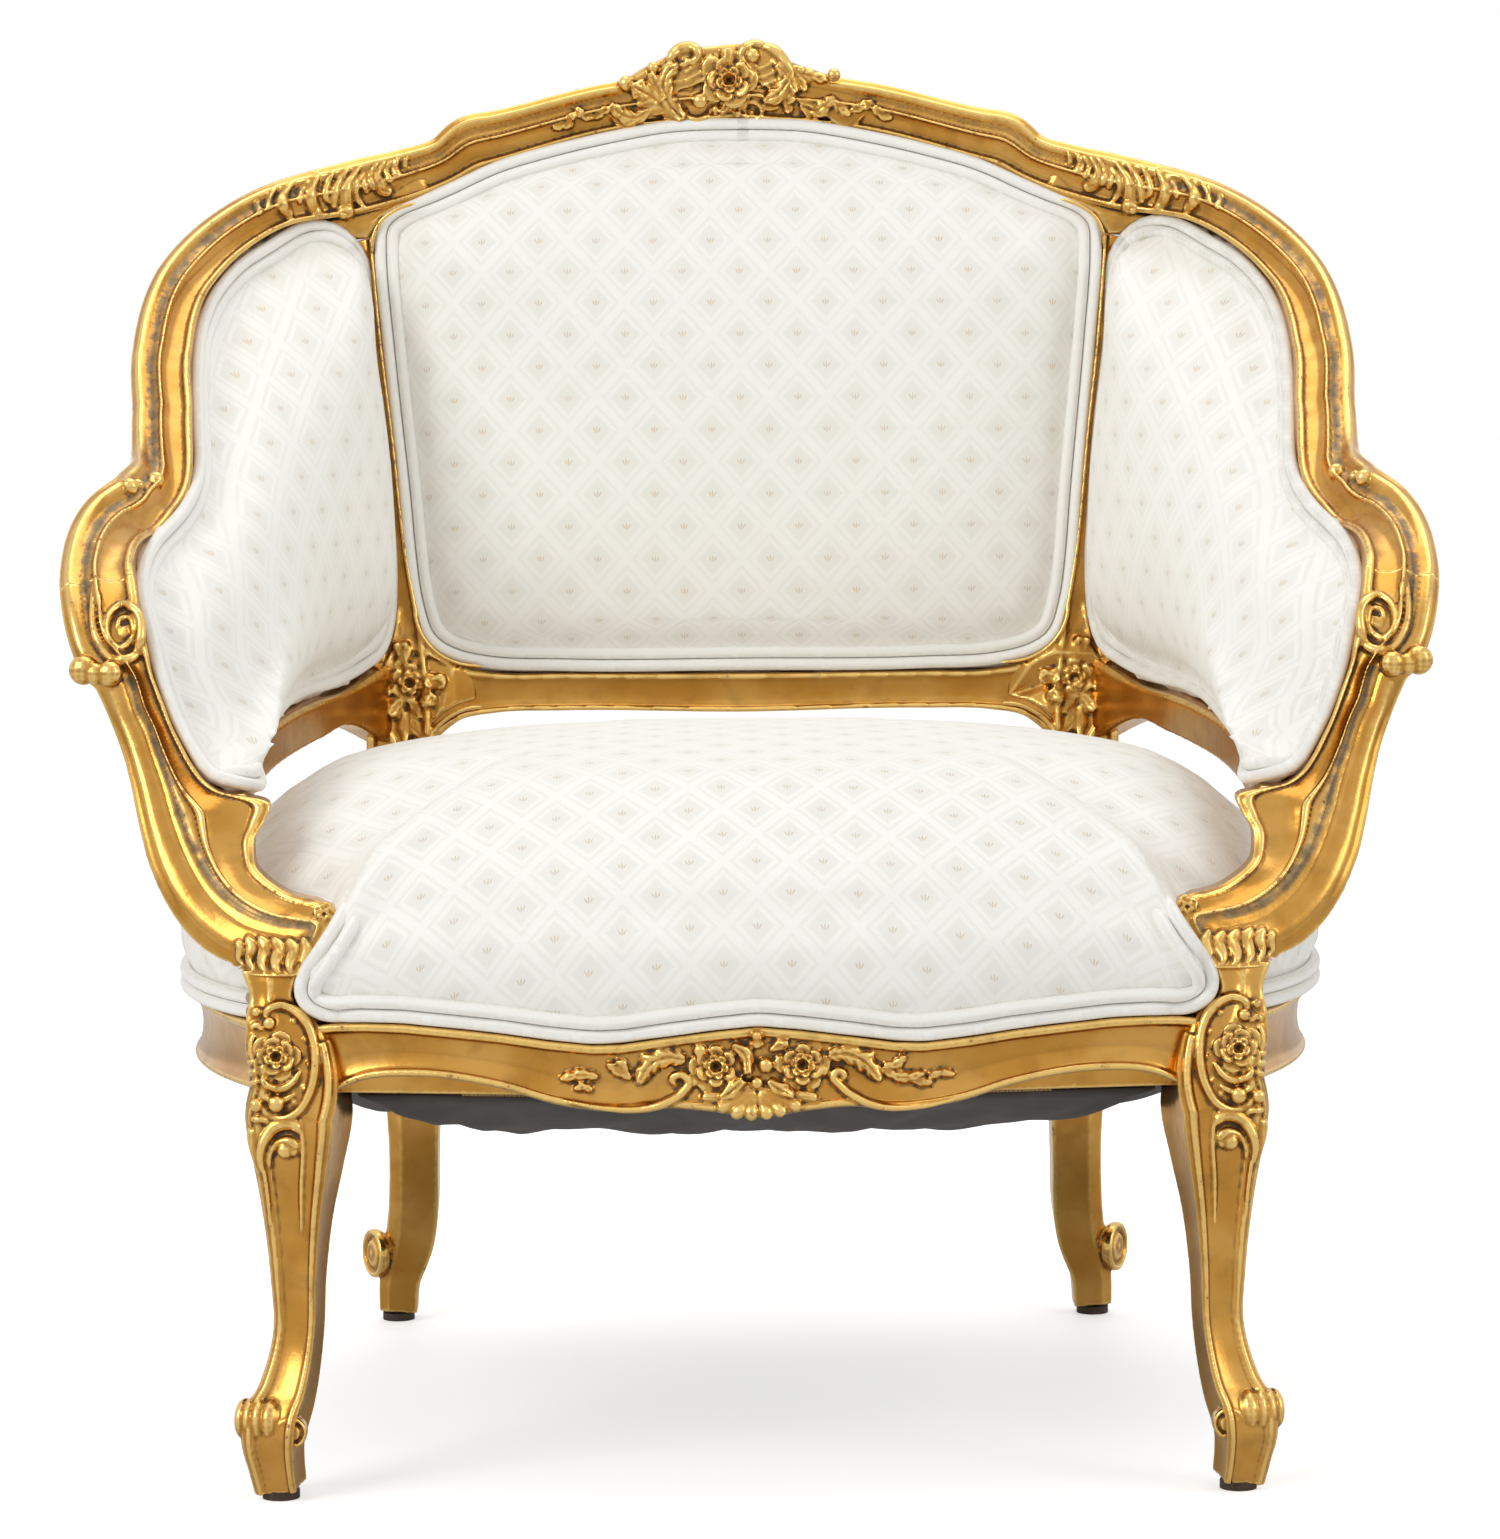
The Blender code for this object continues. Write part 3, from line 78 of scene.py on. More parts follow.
# From the middle of the crest, over the wing and arm, to the foot of the arm support:
# x, y and z as shares of HALF, DEPTH and HEIGHT, then the face as a share of RAIL_FACE
FRAME_SHARES = [
    (0.0, 0.5, 0.961, 0.83), (-0.216, 0.494, 0.95, 0.8), (-0.397, 0.479, 0.928, 0.85),
    (-0.44, 0.475, 0.923, 0.9), (-0.486, 0.47, 0.909, 0.78), (-0.543, 0.46, 0.899, 0.83),
    (-0.615, 0.447, 0.89, 0.88), (-0.748, 0.397, 0.874, 0.75), (-0.826, 0.337, 0.85, 0.78),
    (-0.882, 0.27, 0.817, 0.85), (-0.904, 0.159, 0.757, 0.92), (-0.892, 0.079, 0.712, 0.92),
    (-0.889, -0.008, 0.67, 0.95), (-0.911, -0.063, 0.654, 1.02), (-0.938, -0.111, 0.64, 1.07),
    (-0.948, -0.19, 0.612, 1.07), (-0.942, -0.222, 0.597, 1.1), (-0.923, -0.257, 0.564, 1.07),
    (-0.886, -0.267, 0.522, 0.83), (-0.852, -0.283, 0.488, 0.83), (-0.832, -0.297, 0.467, 1.05),
    (-0.791, -0.322, 0.433, 1.4), (-0.774, -0.338, 0.412, 1.4), (-0.736, -0.365, 0.385, 1.55),
    (-0.69, -0.392, 0.345, 1.3),
]

# Rear leg and stile: x, y, z, then width and depth as shares of STILE_SIZE
STILE_SHARES = [
    (-0.579, 0.422, 0.007, 0.65, 0.65), (-0.576, 0.422, 0.032, 0.7, 0.7),
    (-0.563, 0.416, 0.057, 0.8, 0.8), (-0.553, 0.403, 0.08, 0.85, 0.83),
    (-0.547, 0.387, 0.131, 0.85, 0.85), (-0.549, 0.383, 0.205, 0.95, 0.97),
    (-0.555, 0.381, 0.342, 1.0, 1.0), (-0.561, 0.381, 0.438, 1.1, 0.95),
    (-0.561, 0.384, 0.484, 1.1, 0.9), (-0.559, 0.39, 0.53, 0.85, 0.8),
    (-0.569, 0.402, 0.604, 0.46, 0.7), (-0.584, 0.417, 0.692, 0.34, 0.67),
    (-0.603, 0.433, 0.763, 0.36, 0.67), (-0.624, 0.452, 0.847, 0.48, 0.67),
]

# Front leg up to the seat line: x, y, z, then width and depth as shares of LEG_SIZE
SEAT_LINE_SHARE = 0.3104
SEAT_LINE = SEAT_LINE_SHARE * HEIGHT
LEG_SHARES = [
    (-0.675, -0.429, 0.007, 0.48, 0.48), (-0.68, -0.432, 0.023, 0.52, 0.52),
    (-0.683, -0.435, 0.046, 0.6, 0.6), (-0.666, -0.424, 0.068, 0.54, 0.54),
    (-0.649, -0.411, 0.108, 0.47, 0.47), (-0.648, -0.408, 0.148, 0.52, 0.52),
    (-0.647, -0.407, 0.188, 0.65, 0.65), (-0.645, -0.406, 0.222, 0.83, 0.83),
    (-0.644, -0.405, 0.251, 0.98, 0.98), (-0.644, -0.405, 0.27, 1.0, 1.0),
    (-0.644, -0.405, SEAT_LINE_SHARE, 1.0, 1.0),
]
# From the knee up through the neck under the arm's foot
NECK_ROWS = [
    (-0.645, -0.405, 0.282, 0.95, 0.96), (-0.655, -0.405, 0.297, 0.92, 0.88),
    (-0.667, -0.405, 0.31, 0.86, 0.78), (-0.677, -0.405, 0.3234, 0.64, 0.66),
    (-0.68, -0.404, 0.3354, 0.48, 0.54), (-0.68, -0.403, 0.346, 0.6, 0.49),
    (-0.68, -0.402, 0.3516, 0.67, 0.46),
]

# Rails below the back pad and the wings: x, y, z, face as a share of LOWER_RAIL_FACE
LOWER_BACK_SHARES = [
    (0.0, 0.413, 0.495, 1.0), (-0.298, 0.402, 0.497, 0.96), (-0.409, 0.395, 0.497, 1.04),
    (-0.469, 0.392, 0.497, 1.41), (-0.535, 0.387, 0.493, 2.59),
]
LOWER_SIDE_SHARES = [
    (-0.59, 0.386, 0.49, 2.22), (-0.644, 0.325, 0.491, 1.11), (-0.697, 0.19, 0.487, 0.93),
    (-0.722, 0.127, 0.483, 0.96), (-0.755, 0.016, 0.474, 0.96), (-0.769, -0.111, 0.462, 1.04),
    (-0.762, -0.206, 0.453, 1.19), (-0.75, -0.31, 0.442, 1.41),
]

# Face line of the seat rails: x, y, the lip's middle height, its face as a share of LIP_FACE
FRONT_LIP_SHARES = [
    (0.0, -0.476, 0.288, 1.35), (-0.064, -0.475, 0.288, 1.18), (-0.133, -0.473, 0.288, 1.07),
    (-0.19, -0.471, 0.284, 1.0), (-0.275, -0.464, 0.286, 0.92), (-0.358, -0.457, 0.294, 0.8),
    (-0.478, -0.446, 0.298, 0.65), (-0.55, -0.439, 0.297, 0.72), (-0.625, -0.432, 0.288, 1.0),
]
SIDE_LIP_SHARES = [
    (-0.675, -0.4, 0.288, 0.95), (-0.745, -0.302, 0.282, 0.8), (-0.811, -0.175, 0.277, 0.65),
    (-0.843, -0.032, 0.275, 0.59), (-0.831, 0.111, 0.275, 0.59), (-0.764, 0.238, 0.275, 0.61),
    (-0.661, 0.33, 0.277, 0.7), (-0.56, 0.392, 0.278, 0.75),
]

# Carved crown on the crest: x and z
CROWN_TALL = 0.022
CROWN_SHARES = [
    (-0.235, 0.955), (-0.197, 0.969), (-0.154, 0.982), (-0.091, 0.996), (-0.008, 1.0), (0.031, 0.999),
    (0.077, 0.988), (0.111, 0.982), (0.175, 0.972), (0.235, 0.955),
]

FRONT_WAVE = [
    (0, 6.3), (26, 3.8), (52, 0.4), (79, -3.6), (96, -4.2), (122, -1.9), (149, 1.8), (183, 5.0),
    (206, 7.0), (229, 7.6), (247, 7.0), (264, 5.0),
]
# Ends of the seat's front welt, going down beside the arm's foot: x and z in mm
WELT_CORNER = [
    (-243.0, 348.0), (-250.0, 335.8), (-258.6, 323.1), (-266.4, 311.5), (-269.4, 302.8),
    (-269.0, 294.6), (-265.0, 287.2), (-256.5, 281.6), (-244.4, 279.3),
]

SEAT_PLAN_SHARES = [
    (0.0, -0.481), (-0.192, -0.476), (-0.385, -0.461), (-0.541, -0.446), (-0.618, -0.44),
    (-0.636, -0.426), (-0.64, -0.392), (-0.642, -0.352), (-0.709, -0.329), (-0.781, -0.262),
    (-0.837, -0.159), (-0.862, -0.032), (-0.851, 0.095), (-0.8, 0.214), (-0.709, 0.302), (-0.62, 0.334),
    (-0.565, 0.336), (-0.51, 0.34), (-0.484, 0.368), (-0.472, 0.416), (-0.288, 0.422), (0.0, 0.425),
]

# Edge of the back pad, half of it, and of the side pad, all round: x, y, z
BACK_EDGE_SHARES = [
    (0.0, 0.5, 0.942), (-0.118, 0.497, 0.94), (-0.202, 0.492, 0.933), (-0.32, 0.484, 0.92),
    (-0.404, 0.476, 0.908), (-0.476, 0.468, 0.892), (-0.526, 0.465, 0.882), (-0.56, 0.46, 0.876),
    (-0.584, 0.456, 0.868), (-0.599, 0.452, 0.858), (-0.6, 0.449, 0.846), (-0.588, 0.437, 0.763),
    (-0.576, 0.425, 0.708), (-0.562, 0.41, 0.647), (-0.553, 0.4, 0.6), (-0.541, 0.394, 0.562),
    (-0.519, 0.39, 0.534), (-0.478, 0.389, 0.521), (-0.43, 0.392, 0.515), (-0.298, 0.402, 0.511),
    (0.0, 0.413, 0.51),
]
SIDE_EDGE_SHARES = [
    (-0.645, 0.446, 0.847), (-0.671, 0.438, 0.86), (-0.712, 0.421, 0.863), (-0.744, 0.397, 0.856),
    (-0.776, 0.368, 0.846), (-0.808, 0.337, 0.835), (-0.832, 0.302, 0.82), (-0.851, 0.27, 0.804),
    (-0.862, 0.238, 0.786), (-0.863, 0.198, 0.769), (-0.861, 0.159, 0.749), (-0.849, 0.079, 0.707),
    (-0.841, 0.032, 0.683), (-0.844, -0.013, 0.665), (-0.859, -0.063, 0.649), (-0.885, -0.111, 0.634),
    (-0.897, -0.175, 0.613), (-0.893, -0.214, 0.596), (-0.88, -0.243, 0.576), (-0.862, -0.262, 0.544),
    (-0.843, -0.27, 0.518), (-0.813, -0.283, 0.492), (-0.784, -0.295, 0.474), (-0.748, -0.298, 0.466),
    (-0.721, -0.286, 0.461), (-0.725, -0.206, 0.471), (-0.732, -0.111, 0.478), (-0.73, 0.016, 0.488),
    (-0.716, 0.127, 0.499), (-0.698, 0.19, 0.502), (-0.66, 0.27, 0.505), (-0.627, 0.333, 0.513),
    (-0.601, 0.371, 0.526), (-0.589, 0.389, 0.552), (-0.586, 0.396, 0.581), (-0.589, 0.408, 0.625),
    (-0.599, 0.421, 0.692), (-0.62, 0.436, 0.763),
]
BACK_NORMAL = (0.0, -0.99, 0.14)
SIDE_NORMAL = (0.93, -0.32, 0.2)

# Carving, drawn for the left or across the middle, in millimetres as the front view shows it

# Crest: leaves as rows of x, z and half width in millimetres, then lobes and rise
CREST_LEAVES = [
    ([(-36.6, 826.3, 4.8), (-46.1, 836.5, 6.2), (-50.8, 847.4, 6.2), (-47.3, 858.3, 4.8),
      (-40.4, 863.7, 2.1)], 3, 3.5),
    ([(-39.3, 828.3, 3.4), (-50.2, 835.2, 7.5), (-61.1, 843.4, 8.2), (-72.1, 848.9, 2.1)], 4, 3.5),
    ([(-50.2, 839.3, 2.7), (-55.6, 848.8, 4.1), (-59.0, 857.7, 2.1)], 2, 3.0),
    ([(36.3, 855.1, 3.4), (29.4, 844.3, 5.5), (18.4, 838.2, 2.1)], 2, 4.0),
    ([(26.8, 863.3, 2.7), (36.3, 853.7, 4.1), (40.4, 844.2, 2.1)], 2, 3.5),
    ([(33.6, 861.9, 2.7), (43.2, 852.3, 4.1), (47.2, 845.5, 1.7)], 2, 3.0),
    ([(35.0, 860.6, 2.7), (47.3, 856.4, 4.1), (62.4, 852.9, 2.1)], 3, 3.0),
    ([(-2.9, 841.7, 3.4), (-6.3, 836.3, 4.1), (-11.9, 830.9, 1.7)], 1, 3.0),
    ([(5.4, 844.4, 3.4), (2.6, 837.6, 4.1), (-2.9, 830.8, 1.7)], 1, 3.0),
    ([(-112.0, 824.7, 2.7), (-120.3, 823.3, 3.4), (-126.5, 820.7, 1.4)], 2, 2.2),
    ([(-109.9, 830.8, 1.7), (-114.7, 827.4, 2.7), (-116.2, 821.3, 1.4)], 1, 2.2),
    ([(-98.3, 828.7, 2.1), (-105.8, 829.4, 3.1), (-110.6, 834.9, 1.4)], 2, 2.2),
    ([(-98.3, 827.3, 2.1), (-92.8, 832.0, 3.1), (-87.3, 834.0, 1.4)], 2, 2.2),
    ([(-59.9, 832.5, 2.1), (-69.5, 827.8, 4.5), (-79.1, 829.9, 4.5), (-86.5, 837.4, 1.4)], 3, 2.6),
    ([(31.4, 836.1, 2.1), (36.2, 840.1, 3.1), (38.3, 844.2, 1.4)], 1, 2.4),
    ([(33.5, 838.8, 2.1), (35.5, 834.0, 2.7), (34.1, 830.6, 1.4)], 1, 2.4),
    ([(43.1, 836.0, 2.1), (52.7, 831.9, 4.8), (60.9, 835.9, 4.1), (66.4, 841.3, 1.4)], 3, 2.6),
    ([(66.4, 837.9, 2.1), (71.9, 833.1, 3.1), (77.4, 828.3, 1.4)], 2, 2.2),
    ([(78.7, 831.7, 2.1), (85.6, 834.4, 3.4), (93.2, 837.8, 1.4)], 2, 2.2),
    ([(93.2, 834.4, 2.1), (98.7, 829.6, 3.4), (106.2, 826.1, 1.4)], 2, 2.2),
]

# Crest: scrolls as rows of x, z and half width, then rise
CREST_SCROLLS = [
    ([(-47.3, 864.4, 2.7), (-43.8, 870.5, 4.1), (-35.5, 875.2, 4.8), (-28.7, 874.5, 4.1),
      (-26.7, 869.7, 3.4), (-30.8, 865.7, 2.7), (-36.9, 867.8, 2.1)], 5.0),
    ([(-44.5, 862.4, 1.4), (-36.3, 863.7, 2.1), (-29.4, 867.7, 1.4)], 4.0),
    ([(21.4, 874.9, 2.7), (13.8, 877.7, 3.4), (6.3, 875.7, 3.4), (2.8, 869.6, 3.1), (6.2, 863.4, 2.7),
      (13.7, 862.7, 1.7)], 5.0),
    ([(13.1, 876.3, 2.7), (24.1, 874.2, 4.1), (32.3, 866.0, 4.1), (37.0, 856.5, 3.4),
      (34.2, 845.6, 3.4), (26.6, 838.1, 2.7), (17.7, 836.2, 1.4)], 5.0),
    ([(24.1, 867.4, 1.4), (29.5, 859.2, 2.1), (28.1, 849.7, 2.1), (21.2, 842.9, 1.4)], 4.0),
    ([(-37.2, 836.5, 1.4), (-35.2, 829.7, 1.8), (-27.7, 826.2, 2.1), (-20.1, 829.6, 1.8),
      (-17.3, 836.4, 1.4)], 3.0),
    ([(3.2, 830.8, 1.8), (5.3, 836.9, 1.8), (11.5, 838.2, 1.8), (17.0, 833.4, 1.8), (14.9, 826.6, 1.6),
      (8.0, 826.0, 1.4), (6.0, 830.8, 1.4), (10.1, 832.8, 1.1)], 3.5),
    ([(15.6, 836.2, 1.7), (21.1, 833.4, 1.7), (29.3, 834.7, 1.4)], 3.0),
    ([(-6.1, 864.9, 4.8), (-6.1, 870.3, 5.5), (-6.1, 875.1, 5.5)], 5.0),
    ([(-11.6, 866.3, 2.1), (-19.8, 866.3, 2.7), (-24.0, 859.5, 2.1)], 4.0),
    ([(-0.6, 865.5, 2.1), (6.2, 862.1, 2.7), (10.3, 855.3, 2.7), (8.8, 847.1, 2.1)], 4.0),
    ([(-36.3, 858.2, 1.0), (-29.5, 862.3, 1.0), (-22.6, 866.3, 0.8)], 3.0),
    ([(-35.7, 852.8, 1.0), (-28.1, 856.8, 1.0), (-21.2, 860.2, 0.8)], 3.0),
    ([(-35.7, 847.4, 1.0), (-27.5, 851.4, 1.0), (-20.6, 854.1, 0.8)], 3.0),
    ([(-34.4, 841.9, 1.0), (-26.8, 845.9, 1.0), (-19.3, 847.3, 0.8)], 3.0),
    ([(24.0, 864.7, 1.0), (18.5, 862.0, 1.0), (12.4, 860.7, 0.8)], 3.0),
    ([(26.7, 859.2, 1.0), (19.9, 855.9, 1.0), (13.0, 854.6, 0.8)], 3.0),
    ([(26.7, 853.1, 1.0), (19.8, 849.8, 1.0), (13.0, 848.4, 0.8)], 3.0),
    ([(23.9, 847.0, 1.0), (17.0, 843.6, 1.0), (10.2, 843.0, 0.8)], 3.0),
    ([(-17.1, 870.4, 1.1), (-21.2, 867.7, 1.2), (-26.7, 865.0, 1.0)], 3.0),
    ([(-12.9, 871.7, 1.1), (-17.1, 864.9, 1.2), (-21.9, 862.2, 1.0)], 3.0),
]

# Crest: berries as x, z and radius
CREST_BALLS = [
    (-57.6, 861.8, 4.1), (-76.1, 851.0, 5.5), (-56.4, 833.2, 3.4), (-50.2, 833.1, 3.1),
    (-25.5, 839.1, 5.5), (11.0, 869.5, 5.1), (43.9, 859.1, 3.4), (40.5, 860.5, 2.7), (66.5, 855.6, 4.8),
    (58.3, 852.9, 3.1), (10.1, 830.8, 2.2), (-9.1, 830.9, 2.7), (0.5, 830.1, 2.7), (-14.6, 833.6, 3.4),
]

# Crest: roses as x, z, radius and number of petals
CREST_ROSES = [(-5.5, 853.3, 18.0, 5)]

# Shoulder: fronds from the outer edge inwards
SHOULDER_FRONDS = [
    ([(-323.1, 771.8, 1.4), (-324.6, 766.4, 2.7), (-321.2, 761.6, 2.7)], 3.0),
    ([(-311.5, 779.8, 1.0), (-316.3, 773.8, 2.0), (-317.8, 765.0, 2.0)], 2.6),
    ([(-299.9, 783.8, 1.0), (-307.5, 775.7, 3.4), (-308.9, 766.3, 5.4), (-302.9, 760.2, 4.1)], 4.0),
    ([(-291.0, 785.1, 1.0), (-295.9, 778.4, 2.0), (-297.4, 768.2, 2.0)], 2.6),
    ([(-282.8, 789.8, 1.0), (-289.1, 781.0, 3.4), (-290.6, 769.6, 5.4), (-284.6, 760.7, 4.1)], 4.0),
    ([(-274.0, 791.7, 1.0), (-278.8, 783.7, 2.4), (-280.4, 772.9, 2.7), (-277.0, 769.5, 2.0)], 3.0),
    ([(-263.8, 794.4, 1.0), (-272.1, 783.6, 2.7), (-275.6, 771.5, 3.7), (-275.0, 765.4, 2.7)], 3.4),
    ([(-257.0, 795.0, 1.0), (-266.0, 782.2, 4.1), (-268.9, 768.7, 6.8), (-267.0, 760.0, 6.1)], 4.6),
    ([(-254.3, 791.6, 1.0), (-259.8, 783.5, 2.4), (-260.7, 774.1, 3.1), (-256.7, 768.0, 2.7)], 3.0),
    ([(-251.6, 792.9, 1.0), (-255.1, 783.5, 2.0), (-253.2, 776.1, 2.4)], 2.6),
    ([(-246.1, 797.0, 1.0), (-251.0, 786.9, 2.7), (-248.4, 778.8, 3.1)], 3.0),
    ([(-240.7, 798.3, 1.0), (-246.2, 787.5, 3.4), (-243.6, 780.1, 5.4), (-236.9, 776.7, 4.1)], 4.0),
    ([(-236.6, 798.9, 1.0), (-240.1, 790.9, 2.4), (-236.8, 784.1, 2.7)], 3.0),
    ([(-231.8, 800.3, 1.4), (-234.6, 793.5, 3.4), (-232.0, 787.4, 3.4)], 3.2),
    ([(-226.4, 800.9, 1.4), (-227.8, 794.2, 2.7)], 2.6),
]

# Shoulder: fillets round the corners of the pads
SHOULDER_LINES = [
    ([(-301.0, 755.4, 1.5), (-286.0, 756.7, 1.5), (-273.9, 751.9, 1.5), (-267.2, 744.4, 1.5),
      (-263.2, 734.9, 1.5)], 2.2),
    ([(-250.3, 734.8, 1.5), (-249.5, 745.6, 1.5), (-244.6, 756.4, 1.5), (-234.3, 764.5, 1.5),
      (-219.3, 769.8, 1.5)], 2.2),
]

# Shoulder: outline of the wood between the pads' rounded corners, x and z
SHOULDER_WEB = [
    (-266.3, 745.1), (-267.5, 747.0), (-271.5, 750.1), (-278.3, 754.3), (-288.4, 758.4),
    (-304.8, 758.5), (-312.8, 765.4), (-299.0, 774.9), (-217.0, 789.3), (-210.1, 778.4),
    (-220.7, 770.9), (-233.7, 766.9), (-244.0, 760.2), (-249.6, 751.4), (-252.8, 745.6),
]

# Shoulder: rolled tips
SHOULDER_BALLS = [(-269.0, 761.3, 2.7), (-256.0, 767.3, 2.0)]

# Arm: balls above the volute, which sit on the wing rail, and below it
ARM_TOP_BALLS = [(-382.8, 586.2, 5.7), (-378.6, 586.8, 4.2), (-368.9, 589.7, 5.4)]
ARM_LOW_BALLS = [(-398.6, 480.5, 9.1), (-391.9, 478.6, 6.7), (-382.9, 478.5, 7.9)]

# Arm: volute
ARM_SCROLLS = [
    ([(-395.2, 535.0, 1.5), (-394.8, 519.8, 2.3), (-391.4, 499.8, 2.9), (-380.7, 486.4, 3.3),
      (-369.2, 488.1, 3.3), (-364.8, 500.2, 3.1), (-367.6, 514.2, 2.9), (-376.2, 518.7, 2.7),
      (-384.3, 512.5, 2.5), (-384.5, 500.4, 2.3), (-377.2, 493.4, 2.2), (-369.8, 499.7, 2.1),
      (-372.1, 510.6, 2.0), (-378.1, 510.0, 1.9), (-379.4, 503.4, 1.6)], 3.4),
    ([(-377.0, 505.2, 4.2), (-375.8, 502.7, 7.3), (-374.7, 499.7, 6.1)], 1.6),
    ([(-390.5, 525.9, 0.8), (-389.0, 510.1, 1.1), (-383.2, 492.5, 1.0)], 2.0),
]

# Arm: gadroons under its foot
ARM_FLUTES = [
    ([(-304.6, 326.0, 1.4), (-301.4, 321.4, 3.2), (-302.4, 315.4, 2.2), (-299.8, 311.4, 0.8)], 2.8),
    ([(-298.6, 328.6, 1.6), (-294.4, 322.0, 4.2), (-295.8, 314.2, 2.8), (-292.8, 309.6, 1.0)], 3.2),
    ([(-291.0, 329.4, 1.6), (-286.2, 321.4, 4.8), (-287.8, 313.2, 3.2), (-285.4, 308.8, 1.0)], 3.6),
    ([(-282.8, 329.0, 1.6), (-277.8, 320.6, 4.9), (-279.6, 312.4, 3.2), (-277.6, 308.4, 1.0)], 3.6),
    ([(-274.0, 328.4, 1.6), (-269.2, 319.8, 4.8), (-271.6, 312.2, 3.0), (-270.2, 308.6, 1.0)], 3.4),
    ([(-264.8, 329.0, 1.6), (-261.8, 320.6, 4.0), (-265.2, 313.2, 2.4)], 3.0),
]

# Arm: how its mouldings spread towards the rosette: x and z of the outer edge, of the worn
# fillet and of the inner edge, then y
ARM_EDGES = [
    (-390.6, 469.0, -370.5, 474.6, -358.5, 478.1, -180.5),
    (-386.2, 460.4, -367.7, 467.2, -355.6, 469.8, -182.0),
    (-381.6, 449.8, -364.8, 456.8, -351.8, 460.3, -184.0),
    (-376.6, 438.1, -358.6, 445.3, -346.4, 446.7, -188.0),
    (-372.0, 425.8, -353.5, 431.7, -339.5, 433.8, -193.0),
    (-369.8, 418.1, -350.4, 424.5, -333.6, 423.8, -196.5),
    (-367.7, 411.1, -347.2, 416.8, -325.8, 414.4, -200.3),
    (-365.9, 404.1, -344.4, 409.9, -315.3, 408.4, -204.0),
    (-364.3, 397.8, -342.2, 403.6, -302.5, 406.2, -207.5),
    (-362.5, 390.6, -339.8, 396.6, -288.7, 402.4, -211.0),
    (-360.0, 382.0, -336.4, 388.7, -291.1, 391.7, -215.5),
    (-357.0, 371.8, -332.0, 379.3, -296.1, 382.2, -220.5),
    (-352.8, 362.1, -326.6, 369.6, -296.0, 371.9, -226.5),
    (-344.0, 345.5, -316.1, 355.2, -291.5, 362.9, -235.0),
    (-330.7, 328.8, -302.4, 344.5, -276.5, 352.8, -243.0),
    (-316.8, 318.3, -287.3, 338.1, -264.3, 349.4, -250.0),
    (-305.3, 313.7, -271.1, 335.7, -253.4, 346.9, -256.0),
    (-301.4, 311.8, -259.2, 333.7, -246.8, 341.8, -260.0),
    (-300.1, 311.1, -261.5, 325.8, -251.5, 329.2, -264.5),
    (-299.5, 309.0, -266.2, 316.7, -258.0, 319.0, -270.0),
    (-299.1, 307.0, -270.9, 307.0, -264.9, 307.0, -276.0),
]

# Arm: height from which the worn fillet moves inwards, over what height and how far across; then the
# rows over which the front turns forward
FILLET_TOP = 0.495
FILLET_TURN = 0.012
FILLET_SHIFT = 0.2
TURNING_ROWS = 6

# Arm: rosette where it ends
ARM_ROSES = [(-252.1, 341.4, 7.0, 5)]

# Knee: scrolls and folded lobes
KNEE_SCROLLS = [
    ([(-285.6, 281.0, 2.2), (-284.8, 287.2, 2.6), (-277.9, 290.2, 3.0), (-269.4, 287.4, 3.2),
      (-261.9, 280.1, 3.4), (-257.6, 268.4, 3.4), (-256.9, 254.4, 3.4), (-260.0, 240.4, 3.2),
      (-266.6, 229.6, 3.0), (-276.6, 224.8, 2.8), (-285.6, 227.8, 2.4), (-289.0, 234.2, 2.0)], 5.0),
    ([(-288.4, 249.6, 1.6), (-284.2, 244.4, 2.4), (-276.6, 242.6, 2.8), (-269.6, 246.6, 2.4),
      (-265.4, 253.6, 1.8)], 4.4),
    ([(-292.6, 274.6, 1.4), (-294.4, 266.4, 2.0), (-293.4, 258.2, 1.4)], 2.2),
    ([(-286.8, 275.5, 1.4), (-291.4, 279.0, 2.0), (-294.6, 276.7, 1.4)], 2.4),
    ([(-290.5, 262.2, 1.3), (-294.0, 262.8, 1.6), (-296.6, 263.4, 1.2)], 1.8),
    ([(-290.5, 257.4, 1.3), (-294.0, 257.5, 1.6), (-296.8, 256.9, 1.2)], 1.8),
    ([(-290.6, 252.6, 1.3), (-294.0, 251.5, 1.6), (-296.6, 249.8, 1.2)], 1.8),
    ([(-289.5, 247.8, 1.3), (-293.2, 245.6, 1.6), (-296.0, 243.3, 1.2)], 1.8),
    ([(-287.6, 238.4, 1.4), (-282.7, 236.0, 2.2), (-274.4, 236.4, 2.2), (-268.6, 239.8, 1.4)], 3.6),
    ([(-288.1, 191.5, 1.7), (-289.6, 202.1, 2.6), (-287.2, 212.6, 3.5), (-279.5, 220.7, 4.1),
      (-270.3, 221.8, 4.1), (-265.1, 215.9, 2.3)], 4.0),
    ([(-284.5, 195.0, 1.4), (-284.4, 204.4, 2.3), (-279.1, 210.2, 2.9), (-271.6, 211.3, 3.5),
      (-267.0, 206.6, 2.9)], 4.4),
    ([(-290.5, 190.7, 1.6), (-292.2, 201.3, 2.9), (-293.4, 211.7, 4.2), (-293.6, 219.9, 4.0)], 3.8),
    ([(-265.6, 225.3, 1.2), (-264.7, 207.7, 1.4), (-266.2, 184.3, 1.4), (-266.6, 155.0, 0.9)], 2.0),
    ([(-288.0, 196.2, 1.4), (-285.9, 178.6, 1.3), (-285.1, 158.1, 0.8)], 2.4),
    ([(-294.5, 224.4, 1.7), (-287.6, 224.3, 2.3), (-283.0, 220.7, 1.7)], 3.4),
]

